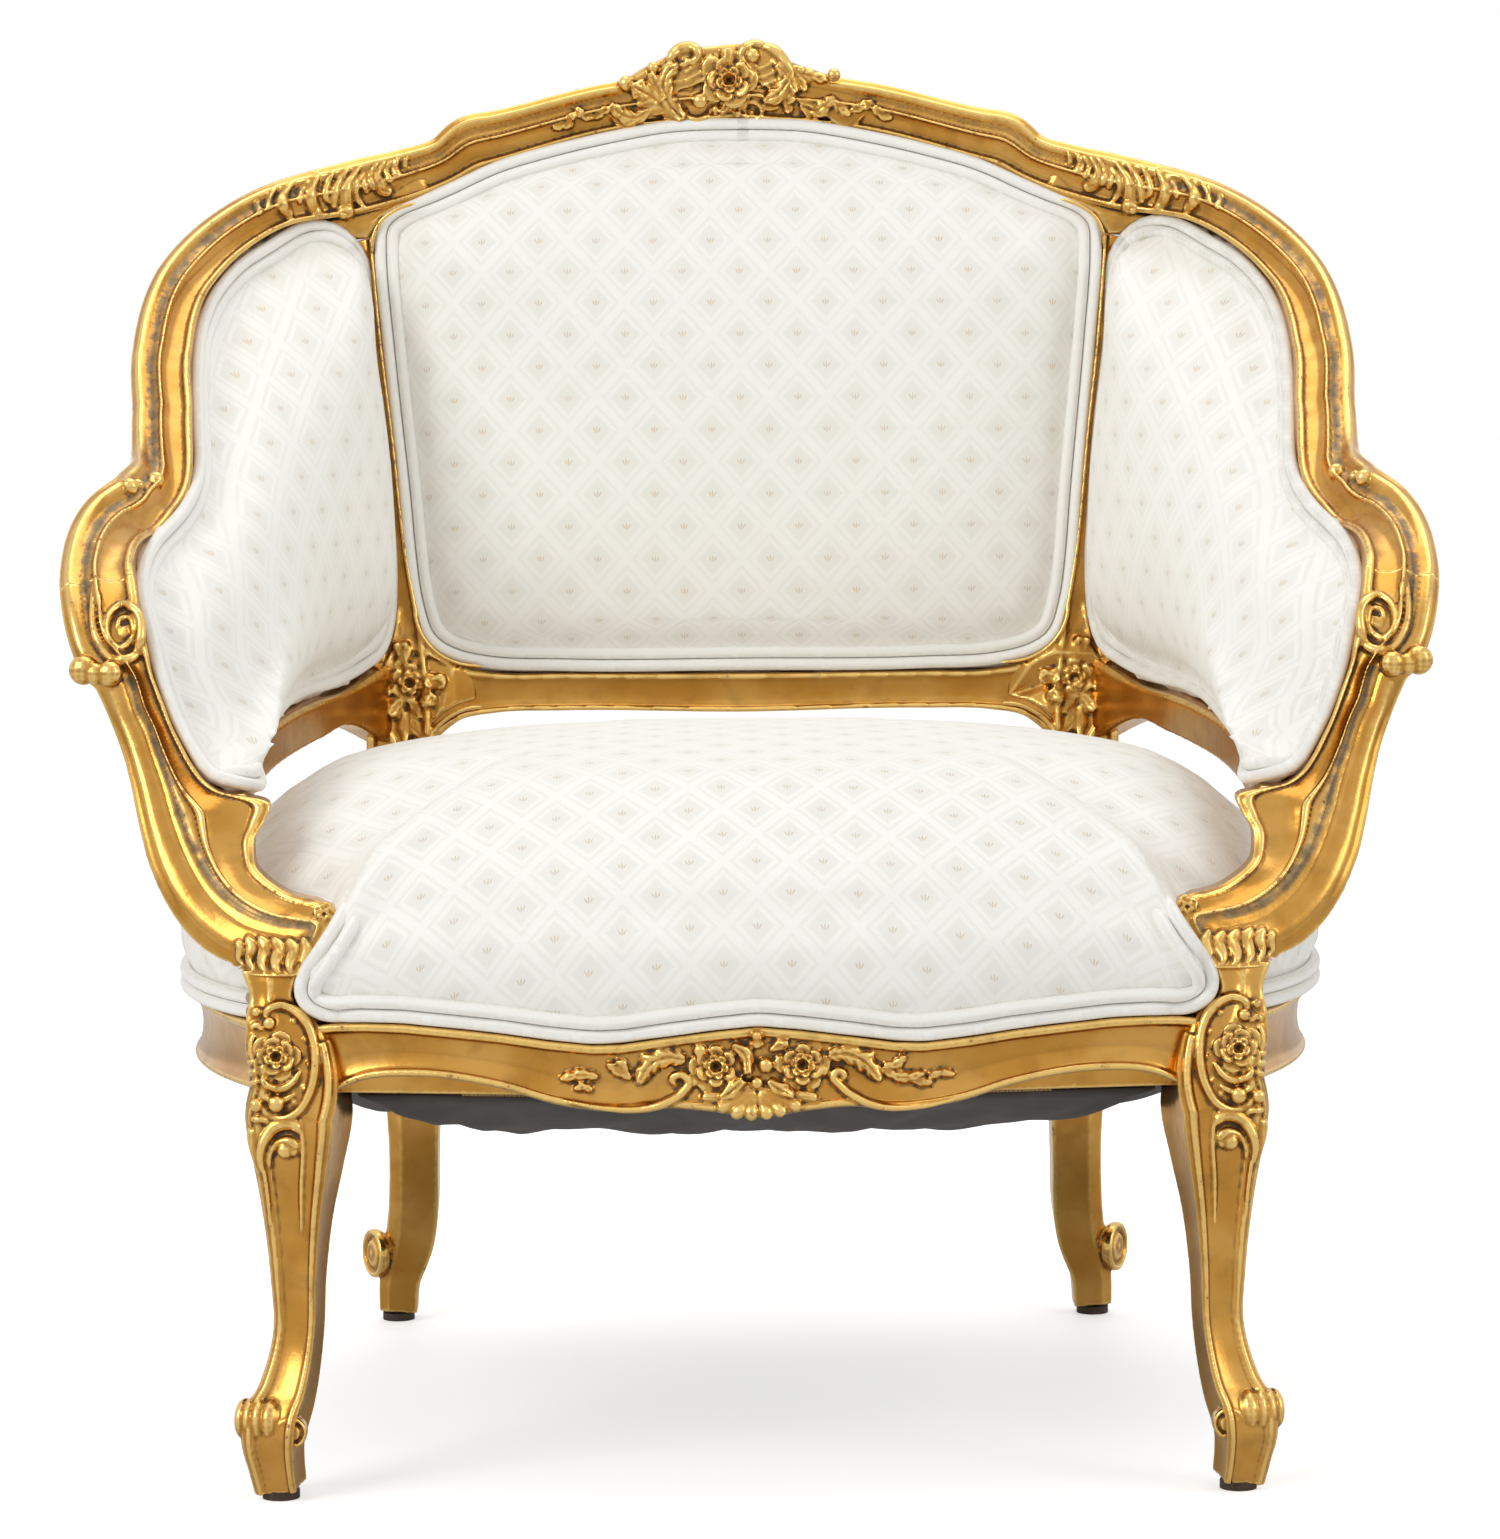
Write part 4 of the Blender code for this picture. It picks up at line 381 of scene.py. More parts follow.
# Knee: berries
KNEE_BALLS = [
    (-283.3, 280.3, 3.8), (-279.9, 233.6, 5.2), (-291.4, 233.1, 4.0), (-291.0, 286.4, 3.0),
    (-275.1, 206.1, 5.2), (-270.5, 206.0, 3.5),
]

# Knee: flowers inside the scrolls
KNEE_ROSES = [(-279.6, 261.6, 13.4, 5)]

# Knee: line of pearls
KNEE_PEARLS = [
    (-269.4, 281.3, 1.5), (-262.6, 270.8, 1.5), (-261.1, 256.8, 1.5), (-263.6, 242.8, 1.5),
    (-269.5, 234.7, 1.5),
]

# Foot: a ribbed roll and the disc at its end: middles in metres, then distance along the axis
# and radius in millimetres
FOOT_DRUM = (-0.2985, -0.2880, 0.0475)
FOOT_RIBS = [
    (-6.5, 7.0), (-5.5, 10.5), (-3.5, 12.0), (-1.8, 12.0), (-0.8, 11.0), (0.4, 12.4), (2.4, 13.2),
    (4.2, 12.4), (5.0, 11.6), (6.0, 12.8), (8.2, 13.8), (10.4, 12.8), (11.2, 11.8), (12.4, 12.6),
    (15.0, 13.2), (18.0, 12.0), (21.0, 9.0),
]
FOOT_DISC = (-0.2734, -0.2990, 0.0420)
FOOT_RINGS = [
    (-6.0, 9.6), (3.2, 9.6), (4.4, 8.8), (4.6, 7.8), (3.0, 7.0), (2.2, 6.4), (2.4, 5.8), (4.6, 5.2),
    (5.4, 3.6), (5.0, 2.6), (5.9, 1.2),
]

# Rear leg: the scroll on its outer side
REAR_SCROLL = (-0.2565, 0.2430, 0.0475)
REAR_SCROLL_AXIS = (-0.90, -0.44, 0.0)
REAR_RINGS = [
    (-16.0, 9.0), (-6.5, 10.5), (-5.0, 15.8), (-1.0, 17.2), (2.4, 16.6), (3.2, 15.2), (2.6, 13.6),
    (0.4, 12.2), (0.2, 10.4), (2.2, 9.0), (3.0, 6.8), (2.0, 4.6), (2.4, 2.8), (3.4, 1.2),
]

# Stile: leaves round the flower
STILE_LEAVES = [
    ([(-228.6, 455.1, 2.0), (-231.9, 463.9, 4.1), (-235.8, 470.7, 2.0)], 2, 3.0),
    ([(-229.2, 457.8, 1.4), (-227.8, 465.9, 2.7), (-229.7, 472.0, 1.4)], 1, 3.0),
    ([(-239.0, 437.5, 2.7), (-245.7, 437.6, 5.4), (-251.8, 439.0, 2.7)], 2, 3.0),
    ([(-230.9, 433.4, 2.7), (-235.7, 428.0, 5.4), (-239.8, 422.6, 2.7)], 2, 3.0),
    ([(-215.9, 442.8, 2.7), (-209.1, 445.4, 5.4), (-202.4, 442.7, 2.7)], 2, 3.0),
    ([(-218.7, 434.6, 2.7), (-213.3, 431.9, 4.7), (-209.9, 436.6, 2.7)], 2, 3.0),
    ([(-226.8, 434.7, 2.0), (-222.8, 427.9, 3.4), (-218.9, 421.1, 1.4)], 1, 2.6),
    ([(-230.3, 425.2, 2.0), (-229.8, 414.3, 3.4), (-229.2, 404.1, 1.4)], 1, 2.6),
    ([(-225.6, 423.8, 2.0), (-222.3, 414.3, 3.4), (-217.7, 406.1, 1.4)], 1, 2.6),
]

# Stile: outline of the wood between the openings' rounded corners, x and z
STILE_WEB = [
    (-233.5, 493.1), (-223.4, 488.9), (-218.2, 475.3), (-209.5, 463.7), (-194.8, 455.5),
    (-179.2, 452.7), (-179.5, 431.6), (-193.0, 429.0), (-203.3, 423.7), (-210.8, 415.6),
    (-215.0, 404.7), (-215.8, 392.5), (-233.4, 392.6), (-234.7, 402.2), (-240.0, 412.4),
    (-248.7, 419.3), (-260.8, 422.7), (-260.4, 449.9), (-248.9, 455.9), (-241.3, 462.6),
    (-235.8, 474.1),
]


# Webs of the stile and the shoulder: their two faces along Y and how far the front falls back at
# its ends, which starts at WEB_FLAT from the middle
STILE_WEB_NEAR = 0.2125
STILE_WEB_FAR = 0.240
STILE_WEB_FALL = 0.0180
SHOULDER_WEB_NEAR = 0.2612
SHOULDER_WEB_FAR = 0.284
SHOULDER_WEB_FALL = 0.0065
WEB_FLAT = 0.023
WEB_FALL_OVER = 0.025

# Heights where the legs and what stands on them end inside the seat rails, and where the front
# leg's turn fades out
REAR_LEG_TOP = 0.268
STILE_BOTTOM = 0.262
SHANK_TOP = 0.262
NECK_BOTTOM = 0.256
TURN_FROM = 0.225
TURN_OVER = 0.035

# Stile: beads along the openings
STILE_BEADS = [
    ([(-214.5, 389.7, 1.6), (-213.7, 402.7, 1.6), (-208.8, 412.8, 1.6), (-199.9, 420.9, 1.6),
      (-189.0, 426.3, 1.6), (-175.4, 428.2, 1.6)], 2.4),
    ([(-234.8, 389.9, 1.6), (-236.0, 400.8, 1.6), (-241.3, 410.4, 1.6), (-250.1, 416.5, 1.6),
      (-262.2, 420.0, 1.6)], 2.4),
    ([(-210.4, 389.7, 0.9), (-209.6, 400.6, 0.9), (-205.5, 409.4, 0.9), (-197.2, 416.8, 0.9),
      (-186.3, 422.2, 0.9)], 1.6),
    ([(-223.4, 493.0, 1.5), (-217.5, 476.7, 1.5), (-208.8, 465.8, 1.5), (-194.1, 457.5, 1.5),
      (-175.1, 454.7, 1.5)], 2.2),
    ([(-233.5, 495.8, 1.5), (-236.4, 475.5, 1.5), (-242.0, 464.7, 1.5), (-250.2, 458.0, 1.5),
      (-261.8, 452.6, 1.5)], 2.2),
]

# Stile: flower
STILE_ROSES = [(-226.0, 444.2, 15.6, 6)]

# Apron: leaves
APRON_LEAVES = [
    ([(-41.9, 259.7, 2.9), (-52.2, 261.5, 5.2), (-62.6, 257.6, 5.2), (-69.6, 246.0, 1.7)], 4, 3.6),
    ([(39.9, 261.9, 2.9), (50.3, 262.9, 5.2), (61.8, 257.6, 5.2), (70.4, 247.1, 1.7)], 4, 3.6),
    ([(-92.6, 249.7, 1.7), (-101.8, 251.0, 3.2), (-114.5, 248.2, 1.2)], 3, 2.6),
    ([(-96.1, 241.6, 1.7), (-100.7, 244.0, 2.3), (-106.5, 242.9, 1.2)], 2, 2.4),
    ([(-73.0, 249.0, 1.7), (-81.1, 253.1, 2.9), (-87.3, 257.8, 1.2)], 3, 2.6),
    ([(-75.3, 253.0, 1.2), (-78.7, 257.7, 2.0), (-82.2, 258.9, 1.2)], 1, 2.4),
    ([(72.2, 255.2, 1.7), (80.2, 256.3, 2.9), (84.9, 260.9, 1.2)], 3, 2.6),
    ([(72.1, 252.3, 1.7), (82.5, 248.1, 3.2), (96.3, 250.3, 1.2)], 3, 2.6),
    ([(84.2, 249.3, 1.7), (91.7, 245.7, 2.6), (100.9, 244.5, 1.2)], 2, 2.4),
    ([(98.6, 248.0, 1.7), (105.6, 250.2, 2.3), (113.6, 249.0, 1.2)], 2, 2.4),
    ([(-22.5, 238.0, 2.3), (-15.5, 242.0, 4.6), (-9.1, 248.4, 2.3)], 1, 4.4),
    ([(5.3, 247.7, 2.3), (12.1, 242.4, 4.0), (20.2, 239.4, 1.7)], 1, 4.0),
    ([(-15.3, 268.8, 2.3), (-8.4, 264.1, 3.5), (-6.2, 252.4, 2.3)], 1, 4.4),
    ([(6.5, 265.1, 1.7), (12.3, 268.5, 2.9), (16.9, 269.6, 1.7)], 1, 4.0),
]

# Apron: scroll ends of the bead and the fluted base
APRON_SCROLLS = [
    ([(-114.6, 236.6, 1.2), (-91.6, 232.3, 1.7), (-68.6, 231.5, 2.3), (-54.7, 234.8, 2.9),
      (-44.3, 240.6, 3.2), (-40.2, 246.9, 3.2), (-44.8, 251.0, 2.9), (-50.0, 248.8, 2.6),
      (-47.7, 244.1, 2.3)], 4.0),
    ([(115.9, 235.0, 1.2), (92.8, 231.2, 1.7), (69.7, 232.0, 2.3), (55.9, 237.3, 2.9),
      (47.9, 243.2, 2.9), (43.3, 249.6, 3.2), (45.6, 252.5, 2.9), (49.7, 250.2, 2.6),
      (46.7, 246.1, 2.3)], 4.0), ([(-1.1, 241.9, 2.3), (-16.7, 238.6, 3.5), (-34.0, 238.1, 3.5)], 3.4),
    ([(-1.1, 241.9, 2.3), (-13.3, 235.0, 4.0), (-24.8, 231.7, 4.0)], 3.6),
    ([(-1.1, 240.7, 2.3), (-8.7, 232.7, 4.0), (-14.5, 227.5, 4.0)], 3.8),
    ([(-1.1, 239.6, 2.3), (-4.0, 232.6, 4.0), (-4.7, 226.2, 4.0)], 3.8),
    ([(-1.1, 239.6, 2.3), (2.9, 232.6, 4.0), (5.1, 226.7, 4.0)], 3.8),
    ([(-1.1, 240.7, 2.3), (7.5, 233.7, 4.0), (14.9, 228.4, 4.0)], 3.8),
    ([(-1.1, 241.9, 2.3), (12.1, 236.0, 4.0), (25.3, 231.8, 4.0)], 3.6),
    ([(-1.1, 241.9, 2.3), (17.9, 239.4, 3.5), (35.2, 236.9, 3.5)], 3.4),
    ([(-0.9, 276.8, 2.9), (-0.9, 272.1, 3.5), (-0.9, 266.3, 2.9)], 3.4),
    ([(-5.0, 268.7, 1.7), (-0.9, 269.8, 2.3), (3.7, 268.6, 1.7)], 3.4),
]

# Apron: buds
APRON_BALLS = [
    (4.2, 256.4, 4.6), (-1.1, 246.0, 4.0), (-33.8, 265.4, 4.0), (37.0, 253.2, 4.0), (-37.4, 246.9, 2.9),
    (-7.4, 243.1, 2.9),
]

# Apron: roses
APRON_ROSES = [(-24.6, 256.1, 14.4, 6), (25.5, 256.8, 14.4, 6)]

# Rounds of a rose's petals: size, height of the rim in millimetres and turn; then the section
# of a round, from the heart over the rim: how far out and how high
ROSE_ROUNDS = [(1.06, 2.8, 0.0), (0.8, 4.8, 0.5), (0.5, 6.2, 0.2), (0.3, 6.6, 0.7)]
PETAL_SECTION = [
    (0.26, -1.5), (0.32, 0.3), (0.62, 0.52), (0.84, 0.86), (0.94, 1.0), (1.03, 0.96), (1.05, 0.7),
    (0.98, 0.35), (0.94, -1.5),
]

# Mouldings run across the face from the inner edge to the outer one: where each stretch ends, as
# shares of the face and the body, and how far it swells (+) or hollows (-) as a share of its length
FRAME_MOULDING = [
    (0.5, -0.42, 0.0), (0.5, 0.18, 0.0), (0.47, 0.26, 0.4), (0.4, 0.27, 0.4), (0.375, 0.18, 0.0),
    (0.02, 0.36, -0.13), (0.0, 0.42, 0.3), (-0.03, 0.38, 0.0), (-0.045, 0.28, 0.0), (-0.14, 0.31, 0.35),
    (-0.15, 0.27, 0.0), (-0.25, 0.29, 0.35), (-0.265, 0.24, 0.0), (-0.3, 0.36, 0.3), (-0.46, 0.31, 0.3),
    (-0.5, 0.16, 0.35), (-0.5, -0.36, 0.0), (-0.4, -0.5, 0.2), (0.42, -0.5, 0.0),
]
WORN_ACROSS = -0.15
WORN_HEIGHT = 0.30
CALM_HEIGHT = 0.30
PLAIN_MOULDING = [
    (0.5, -0.42, 0.0), (0.5, 0.34, 0.0), (0.38, 0.34, 0.6), (0.36, 0.26, 0.0), (-0.3, 0.34, -0.06),
    (-0.32, 0.3, 0.0), (-0.5, 0.34, 0.6), (-0.5, -0.42, 0.0), (-0.42, -0.5, 0.2), (0.42, -0.5, 0.0),
]
LEG_MOULDING = [
    (0.5, -0.4, 0.0), (0.5, 0.34, -0.03), (0.5, 0.46, 0.4), (0.4, 0.5, 0.4), (0.37, 0.45, 0.0),
    (-0.24, 0.45, -0.04), (-0.27, 0.5, 0.4), (-0.38, 0.5, 0.4), (-0.4, 0.46, 0.0), (-0.46, 0.46, 0.5),
    (-0.46, 0.4, 0.5), (-0.5, 0.38, 0.4), (-0.5, 0.27, 0.4), (-0.45, 0.24, 0.0), (-0.45, -0.37, -0.04),
    (-0.5, -0.4, 0.4), (-0.46, -0.5, 0.4), (0.44, -0.5, -0.03),
]
NECK_MOULDING = [
    (0.5, -0.4, 0.0), (0.49, 0.3, 0.0), (0.42, 0.44, 0.3), (0.1, 0.47, -0.06), (-0.12, 0.47, 0.2),
    (-0.4, 0.42, -0.06), (-0.49, 0.28, 0.3), (-0.49, -0.37, 0.0), (-0.45, -0.5, 0.4),
    (0.44, -0.5, -0.03),
]
REAR_LEG_MOULDING = [
    (0.5, -0.44, 0.0), (0.5, 0.36, 0.0), (0.44, 0.43, 0.3), (-0.24, 0.43, 0.0), (-0.44, 0.3, 0.08),
    (-0.5, 0.2, 0.15), (-0.5, -0.44, 0.0), (-0.44, -0.5, 0.3), (0.44, -0.5, 0.0),
]
STILE_MOULDING = [
    (0.5, -0.46, 0.0), (0.5, 0.4, 0.0), (0.36, 0.4, 0.5), (0.34, 0.3, 0.0), (-0.34, 0.3, -0.05),
    (-0.36, 0.4, 0.0), (-0.5, 0.4, 0.5), (-0.5, -0.46, 0.0), (-0.46, -0.5, 0.3), (0.46, -0.5, 0.0),
]

# The photograph's camera: frame and focal length in its pixels, place and angles
PHOTO_WIDE = 1500
PHOTO_TALL = 1539
FOCAL_PIXELS = 4948.1
SENSOR = 36.0
CAMERA_PLACE = (-0.0495, -3.1422, 0.6667)
CAMERA_YAW = math.radians(0.925)
CAMERA_PITCH = math.radians(4.823)
CAMERA_ROLL = math.radians(-0.382)

# The tables' places are moved so that the front glide lies under its foot
FOOT_Y = sum(corner.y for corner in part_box("front_glide_left")) / 2
SHIFT = FOOT_Y - LEG_SHARES[0][1] * DEPTH

# Fineness of the fused carving, coarser while trying things
VOXEL = 0.0011
RUN_STEP = 0.003
ARC_POINTS = 5
UP = np.array((0.0, 0.0, 1.0))
FORWARD = np.array((0.0, -1.0, 0.0))
SIDES = (("left", 1), ("right", -1))


def to_metres(rows, size):
    """Table rows turned into metres: places by the driving sizes, what follows them by the size."""
    made = np.array(rows, dtype=float)
    made[:, :3] *= (HALF, DEPTH, HEIGHT)
    made[:, 3:] *= size
    made[:, 1] += SHIFT
    return made


def mirrored(rows):
    """Half a symmetric run, which starts in the middle, made whole from right to left."""
    other = rows[:0:-1].copy()
    other[:, 0] *= -1
    return np.vstack([other, rows])


def curve(rows):
    """A smooth curve through the rows, as a function of the row number."""
    spans = np.linalg.norm(np.diff(rows[:, :3], axis=0), axis=1)[:, None]
    slopes = np.diff(rows, axis=0) / spans
    middle = (slopes[:-1] * spans[1:] + slopes[1:] * spans[:-1]) / (spans[1:] + spans[:-1])
    tangents = np.vstack([slopes[:1], middle, slopes[-1:]])

    def at(places):
        places = np.atleast_1d(places)
        first = np.clip(places.astype(int), 0, len(rows) - 2)
        t = (places - first)[:, None]
        start = rows[first] * (2 * t ** 3 - 3 * t ** 2 + 1)
        stop = rows[first + 1] * (3 * t ** 2 - 2 * t ** 3)
        leave = tangents[first] * (t ** 3 - 2 * t ** 2 + t)
        arrive = tangents[first + 1] * (t ** 3 - t ** 2)
        return start + stop + (leave + arrive) * spans[first]

    return at


def evenly(rows, start=0.0, stop=None, step=RUN_STEP):
    """Rows along the curve from row number start to stop, about one step apart."""
    at = curve(rows)
    stop = len(rows) - 1 if stop is None else stop
    fine = np.linspace(start, stop, 40 * len(rows))
    places = at(fine)[:, :3]
    along = np.concatenate([[0], np.cumsum(np.linalg.norm(np.diff(places, axis=0), axis=1))])
    count = max(4, int(along[-1] / step))
    return at(np.interp(np.linspace(0, along[-1], count), along, fine))


def unit(vectors):
    return vectors / np.maximum(np.linalg.norm(vectors, axis=-1, keepdims=True), 1e-12)


def directions(points, closed=False):
    if closed:
        return unit(np.roll(points, -1, axis=0) - np.roll(points, 1, axis=0))
    return unit(np.gradient(points, axis=0))


def softened(values, rounds, closed=False):
    """Evens out a run of values; its ends stay."""
    for _ in range(rounds):
        ahead = np.roll(values, -1, axis=0)
        behind = np.roll(values, 1, axis=0)
        eased = (ahead + behind + 2 * values) / 4
        if not closed:
            eased[0] = values[0]
            eased[-1] = values[-1]
        values = eased
    return values


def moulding(stretches):
    """Section points of a moulding, all round."""
    corners = np.array([stretch[:2] for stretch in stretches])
    points = []
    for index, (across, height, swell) in enumerate(stretches):
        start = corners[index - 1]
        stop = np.array((across, height))
        chord = stop - start
        outward = np.array((chord[1], -chord[0]))
        count = ARC_POINTS if swell else 1
        for step in range(1, count + 1):
            t = step / count
            points.append(start + chord * t + outward * swell * 4 * t * (1 - t))
    return np.array(points)


def picture_across(tangents):
    """Across the run as the front view shows it."""
    return unit(np.column_stack([-tangents[:, 2], np.zeros(len(tangents)), tangents[:, 0]]))


def fixed_across(direction):
    def rule(tangents):
        fixed = np.array(direction, dtype=float)
        return unit(fixed - tangents * (tangents @ fixed)[:, None])
    return rule


def loft(rings, closed=False):
    """A closed shell over the rings: points and faces."""
    rings = np.asarray(rings)
    rows, count = rings.shape[:2]
    faces = []
    last = rows if closed else rows - 1
    for row in range(last):
        here = row * count
        there = ((row + 1) % rows) * count
        for corner in range(count):
            after = (corner + 1) % count
            faces.append((here + corner, here + after, there + after, there + corner))
    if not closed:
        faces.append(tuple(range(count))[::-1])
        faces.append(tuple(range((rows - 1) * count, rows * count)))
    return rings.reshape(-1, 3), faces


def swept(rows, across, section, body, tangents=None):
    """A member along rows of x, y, z, face and maybe depth."""
    points = rows[:, :3]
    if tangents is None:
        tangents = directions(points)
    wide = across(tangents)
    deep = np.cross(tangents, wide)
    faces = rows[:, 3]
    depths = rows[:, 4] if rows.shape[1] > 4 else np.full(len(rows), body)
    u = section[:, 0][None, :, None] * faces[:, None, None]
    v = section[:, 1][None, :, None] * depths[:, None, None]
    rings = points[:, None, :] + wide[:, None, :] * u + deep[:, None, :] * v
    return loft(rings)


def on_side(shell, side):
    """Shapes are drawn for the left; side is -1 for a mirrored copy on the right."""
    points, faces = shell
    if side > 0:
        return shell
    return points * (-1, 1, 1), [face[::-1] for face in faces]


def mesh_from(shells):
    """One bmesh of all the shells, each with its faces out."""
    mesh = bmesh.new()
    for points, faces in shells:
        verts = [mesh.verts.new(point) for point in points]
        made = []
        for face in faces:
            made.append(mesh.faces.new([verts[index] for index in face]))
        bmesh.ops.recalc_face_normals(mesh, faces=made)
    return mesh


def object_from(name, mesh):
    data = bpy.data.meshes.new(name)
    mesh.to_mesh(data)
    mesh.free()
    piece = bpy.data.objects.new(name, data)
    bpy.context.scene.collection.objects.link(piece)
    return piece


def apply_modifiers(piece):
    """Turns what the modifiers show into the piece's own mesh."""
    graph = bpy.context.evaluated_depsgraph_get()
    made = bpy.data.meshes.new_from_object(piece.evaluated_get(graph))
    old = piece.data
    piece.modifiers.clear()
    piece.data = made
    made.name = piece.name
    bpy.data.meshes.remove(old)
    return piece


def fused(name, shells, voxel):
    """The shells grown together into one closed skin."""
    piece = object_from(name, mesh_from(shells))
    step = piece.modifiers.new("fuse", 'REMESH')
    step.mode = 'VOXEL'
    step.voxel_size = voxel
    step.adaptivity = 0
    return apply_modifiers(piece)


def coordinates(data):
    points = np.empty(len(data.vertices) * 3, np.float32)
    data.vertices.foreach_get("co", points)
    return points.reshape(-1, 3).astype(float)


def outward_normals(data):
    normals = np.empty(len(data.vertices) * 3, np.float32)
    data.vertex_normals.foreach_get("vector", normals)
    return normals.reshape(-1, 3).astype(float)


def neighbour_mean(data):
    """A function that gives the mean of each vertex's neighbours."""
    edges = np.empty(len(data.edges) * 2, np.int32)
    data.edges.foreach_get("vertices", edges)
    edges = edges.reshape(-1, 2)
    here = np.concatenate([edges[:, 0], edges[:, 1]])
    there = np.concatenate([edges[:, 1], edges[:, 0]])
    total = len(data.vertices)
    number = np.maximum(np.bincount(here, minlength=total), 1)

    def mean(values):
        sums = [np.bincount(here, values[there, axis], total) for axis in range(values.shape[1])]
        return np.column_stack(sums) / number[:, None]

    return mean


def finish_skin(piece, near, far):
    """Smooths a fused skin and stores how hollow it is, finely and broadly, in millimetres."""
    data = piece.data
    mean = neighbour_mean(data)
    points = coordinates(data)
    points += 0.5 * (mean(points) - points)
    data.vertices.foreach_set("co", points.astype(np.float32).ravel())
    data.update()
    normals = outward_normals(data)
    eased = points.copy()
    done = 0
    for rounds, label in ((near, "hollow"), (far, "deep")):
        for _ in range(rounds - done):
            eased += 0.5 * (mean(eased) - eased)
        done = rounds
        relief = np.einsum("ij,ij->i", eased - points, normals) * 1000
        store_values(data, label, relief)
    data.shade_smooth()


def store_values(data, label, values):
    store = data.attributes.new(label, 'FLOAT', 'POINT')
    store.data.foreach_set("value", values.astype(np.float32))


def mark_worn(piece, lines):
    """Stores how near each point is to the lines where the leaf has worn off."""
    data = piece.data
    points = coordinates(data)
    worn = np.zeros(len(points))
    for line, radius, strength in lines:
        tree = KDTree(len(line))
        for index, place in enumerate(line):
            tree.insert(place, index)
        tree.balance()
        far = np.array([tree.find(point)[2] for point in points])
        worn = np.maximum(worn, np.clip(1.5 - far / radius, 0, 1) * strength)
    store_values(data, "worn", worn)


def worn_line(rows, slopes):
    """The line along a frame member that hands have worn."""
    wide = picture_across(slopes)
    deep = np.cross(slopes, wide)
    return rows[:, :3] + wide * rows[:, 3:4] * WORN_ACROSS + deep * RAIL_BODY * WORN_HEIGHT


# Rows of the members, in metres

def frame_rows():
    return to_metres(FRAME_SHARES, RAIL_FACE)


def frame_member(start, stop, first_lap=SEAM_LAP):
    """A stretch of the frame's run; skins lap over their seams by a hair."""
    rows = evenly(frame_rows(), start, stop)
    slopes = directions(rows[:, :3])
    rows[0, :3] -= slopes[0] * first_lap
    rows[-1, :3] += slopes[-1] * SEAM_LAP
    return rows, slopes


def crest_shells():
    half, slopes = frame_member(0, CREST_SEAM, 0)
    slopes[0] = (-1, 0, 0)
    slopes = np.vstack([slopes[:0:-1] * (1, -1, -1), slopes])
    shells = [swept(mirrored(half), picture_across, moulding(FRAME_MOULDING), RAIL_BODY, slopes)]
    crest_y = half[0, 1]
    crown = np.array(CROWN_SHARES) * (HALF, HEIGHT)
    low = crown[::-1] * (0.8, 1) - (0, CROWN_TALL)
    outline = np.vstack([crown, low])
    shells.append(upright_block(outline, crest_y - 0.4 * RAIL_BODY, crest_y + 0.4 * RAIL_BODY))
    web = outline_block(SHOULDER_WEB, SHOULDER_WEB_NEAR, SHOULDER_WEB_FAR, SHOULDER_WEB_FALL)
    return shells + [on_side(web, side) for _, side in SIDES]


def upright_block(outline, near, far):
    """An outline of x and z, pushed from near to far along y, with softly rounded front edges."""
    middle = outline.mean(axis=0)
    rings = []
    for y, share in ((near, 0.93), (near + 0.0015, 0.985), (near + 0.004, 1.0), (far, 1.0)):
        flat = middle + (outline - middle) * share
        rings.append(np.column_stack([flat[:, 0], np.full(len(flat), y), flat[:, 1]]))
    return loft(rings)


def wing_shells():
    rows, slopes = frame_member(CREST_SEAM, ARM_SEAM)
    return [swept(rows, picture_across, moulding(FRAME_MOULDING), RAIL_BODY, slopes)]


def arm_rows():
    return frame_member(ARM_SEAM, ARM_SPREAD)


def support_shells():
    rows, slopes = arm_rows()
    wide = picture_across(slopes)
    edges = []
    inwards = FILLET_SHIFT * np.clip((FILLET_TOP - rows[:, 2:3]) / FILLET_TURN, 0, 1)
    for share in (-0.5, WORN_ACROSS + inwards, 0.5):
        edges.append(rows[:, :3] + wide * rows[:, 3:4] * share)
    spread = np.array(ARM_EDGES) / 1000
    levels = spread[:, 6]
    outer, fillet, inner = (
        np.column_stack([spread[:, place], levels, spread[:, place + 1]]) for place in (0, 2, 4)
    )
    joined = [np.vstack([run[::4], more]) for run, more in zip(edges, (outer, fillet, inner))]
    order = np.arange(len(spread))
    easing = np.clip((order - TURNING_ROWS) / (len(spread) - TURNING_ROWS - 1), 0, 1) ** 2
    plain = np.concatenate([np.zeros(len(edges[0][::4])), easing])
    own = np.cross(slopes, wide)[::4]
    ahead = np.clip(order / TURNING_ROWS, 0, 1)[:, None]
    fronts = np.vstack([own, unit(own[-1] * (1 - ahead) + FORWARD * ahead)])
    return [fanned(joined, plain, fronts)]


def arm_fillet():
    spread = np.array(ARM_EDGES[:-2]) / 1000
    line = np.column_stack([spread[:, 2], spread[:, 6] - WORN_HEIGHT * RAIL_BODY, spread[:, 3]])
    return evenly(line)


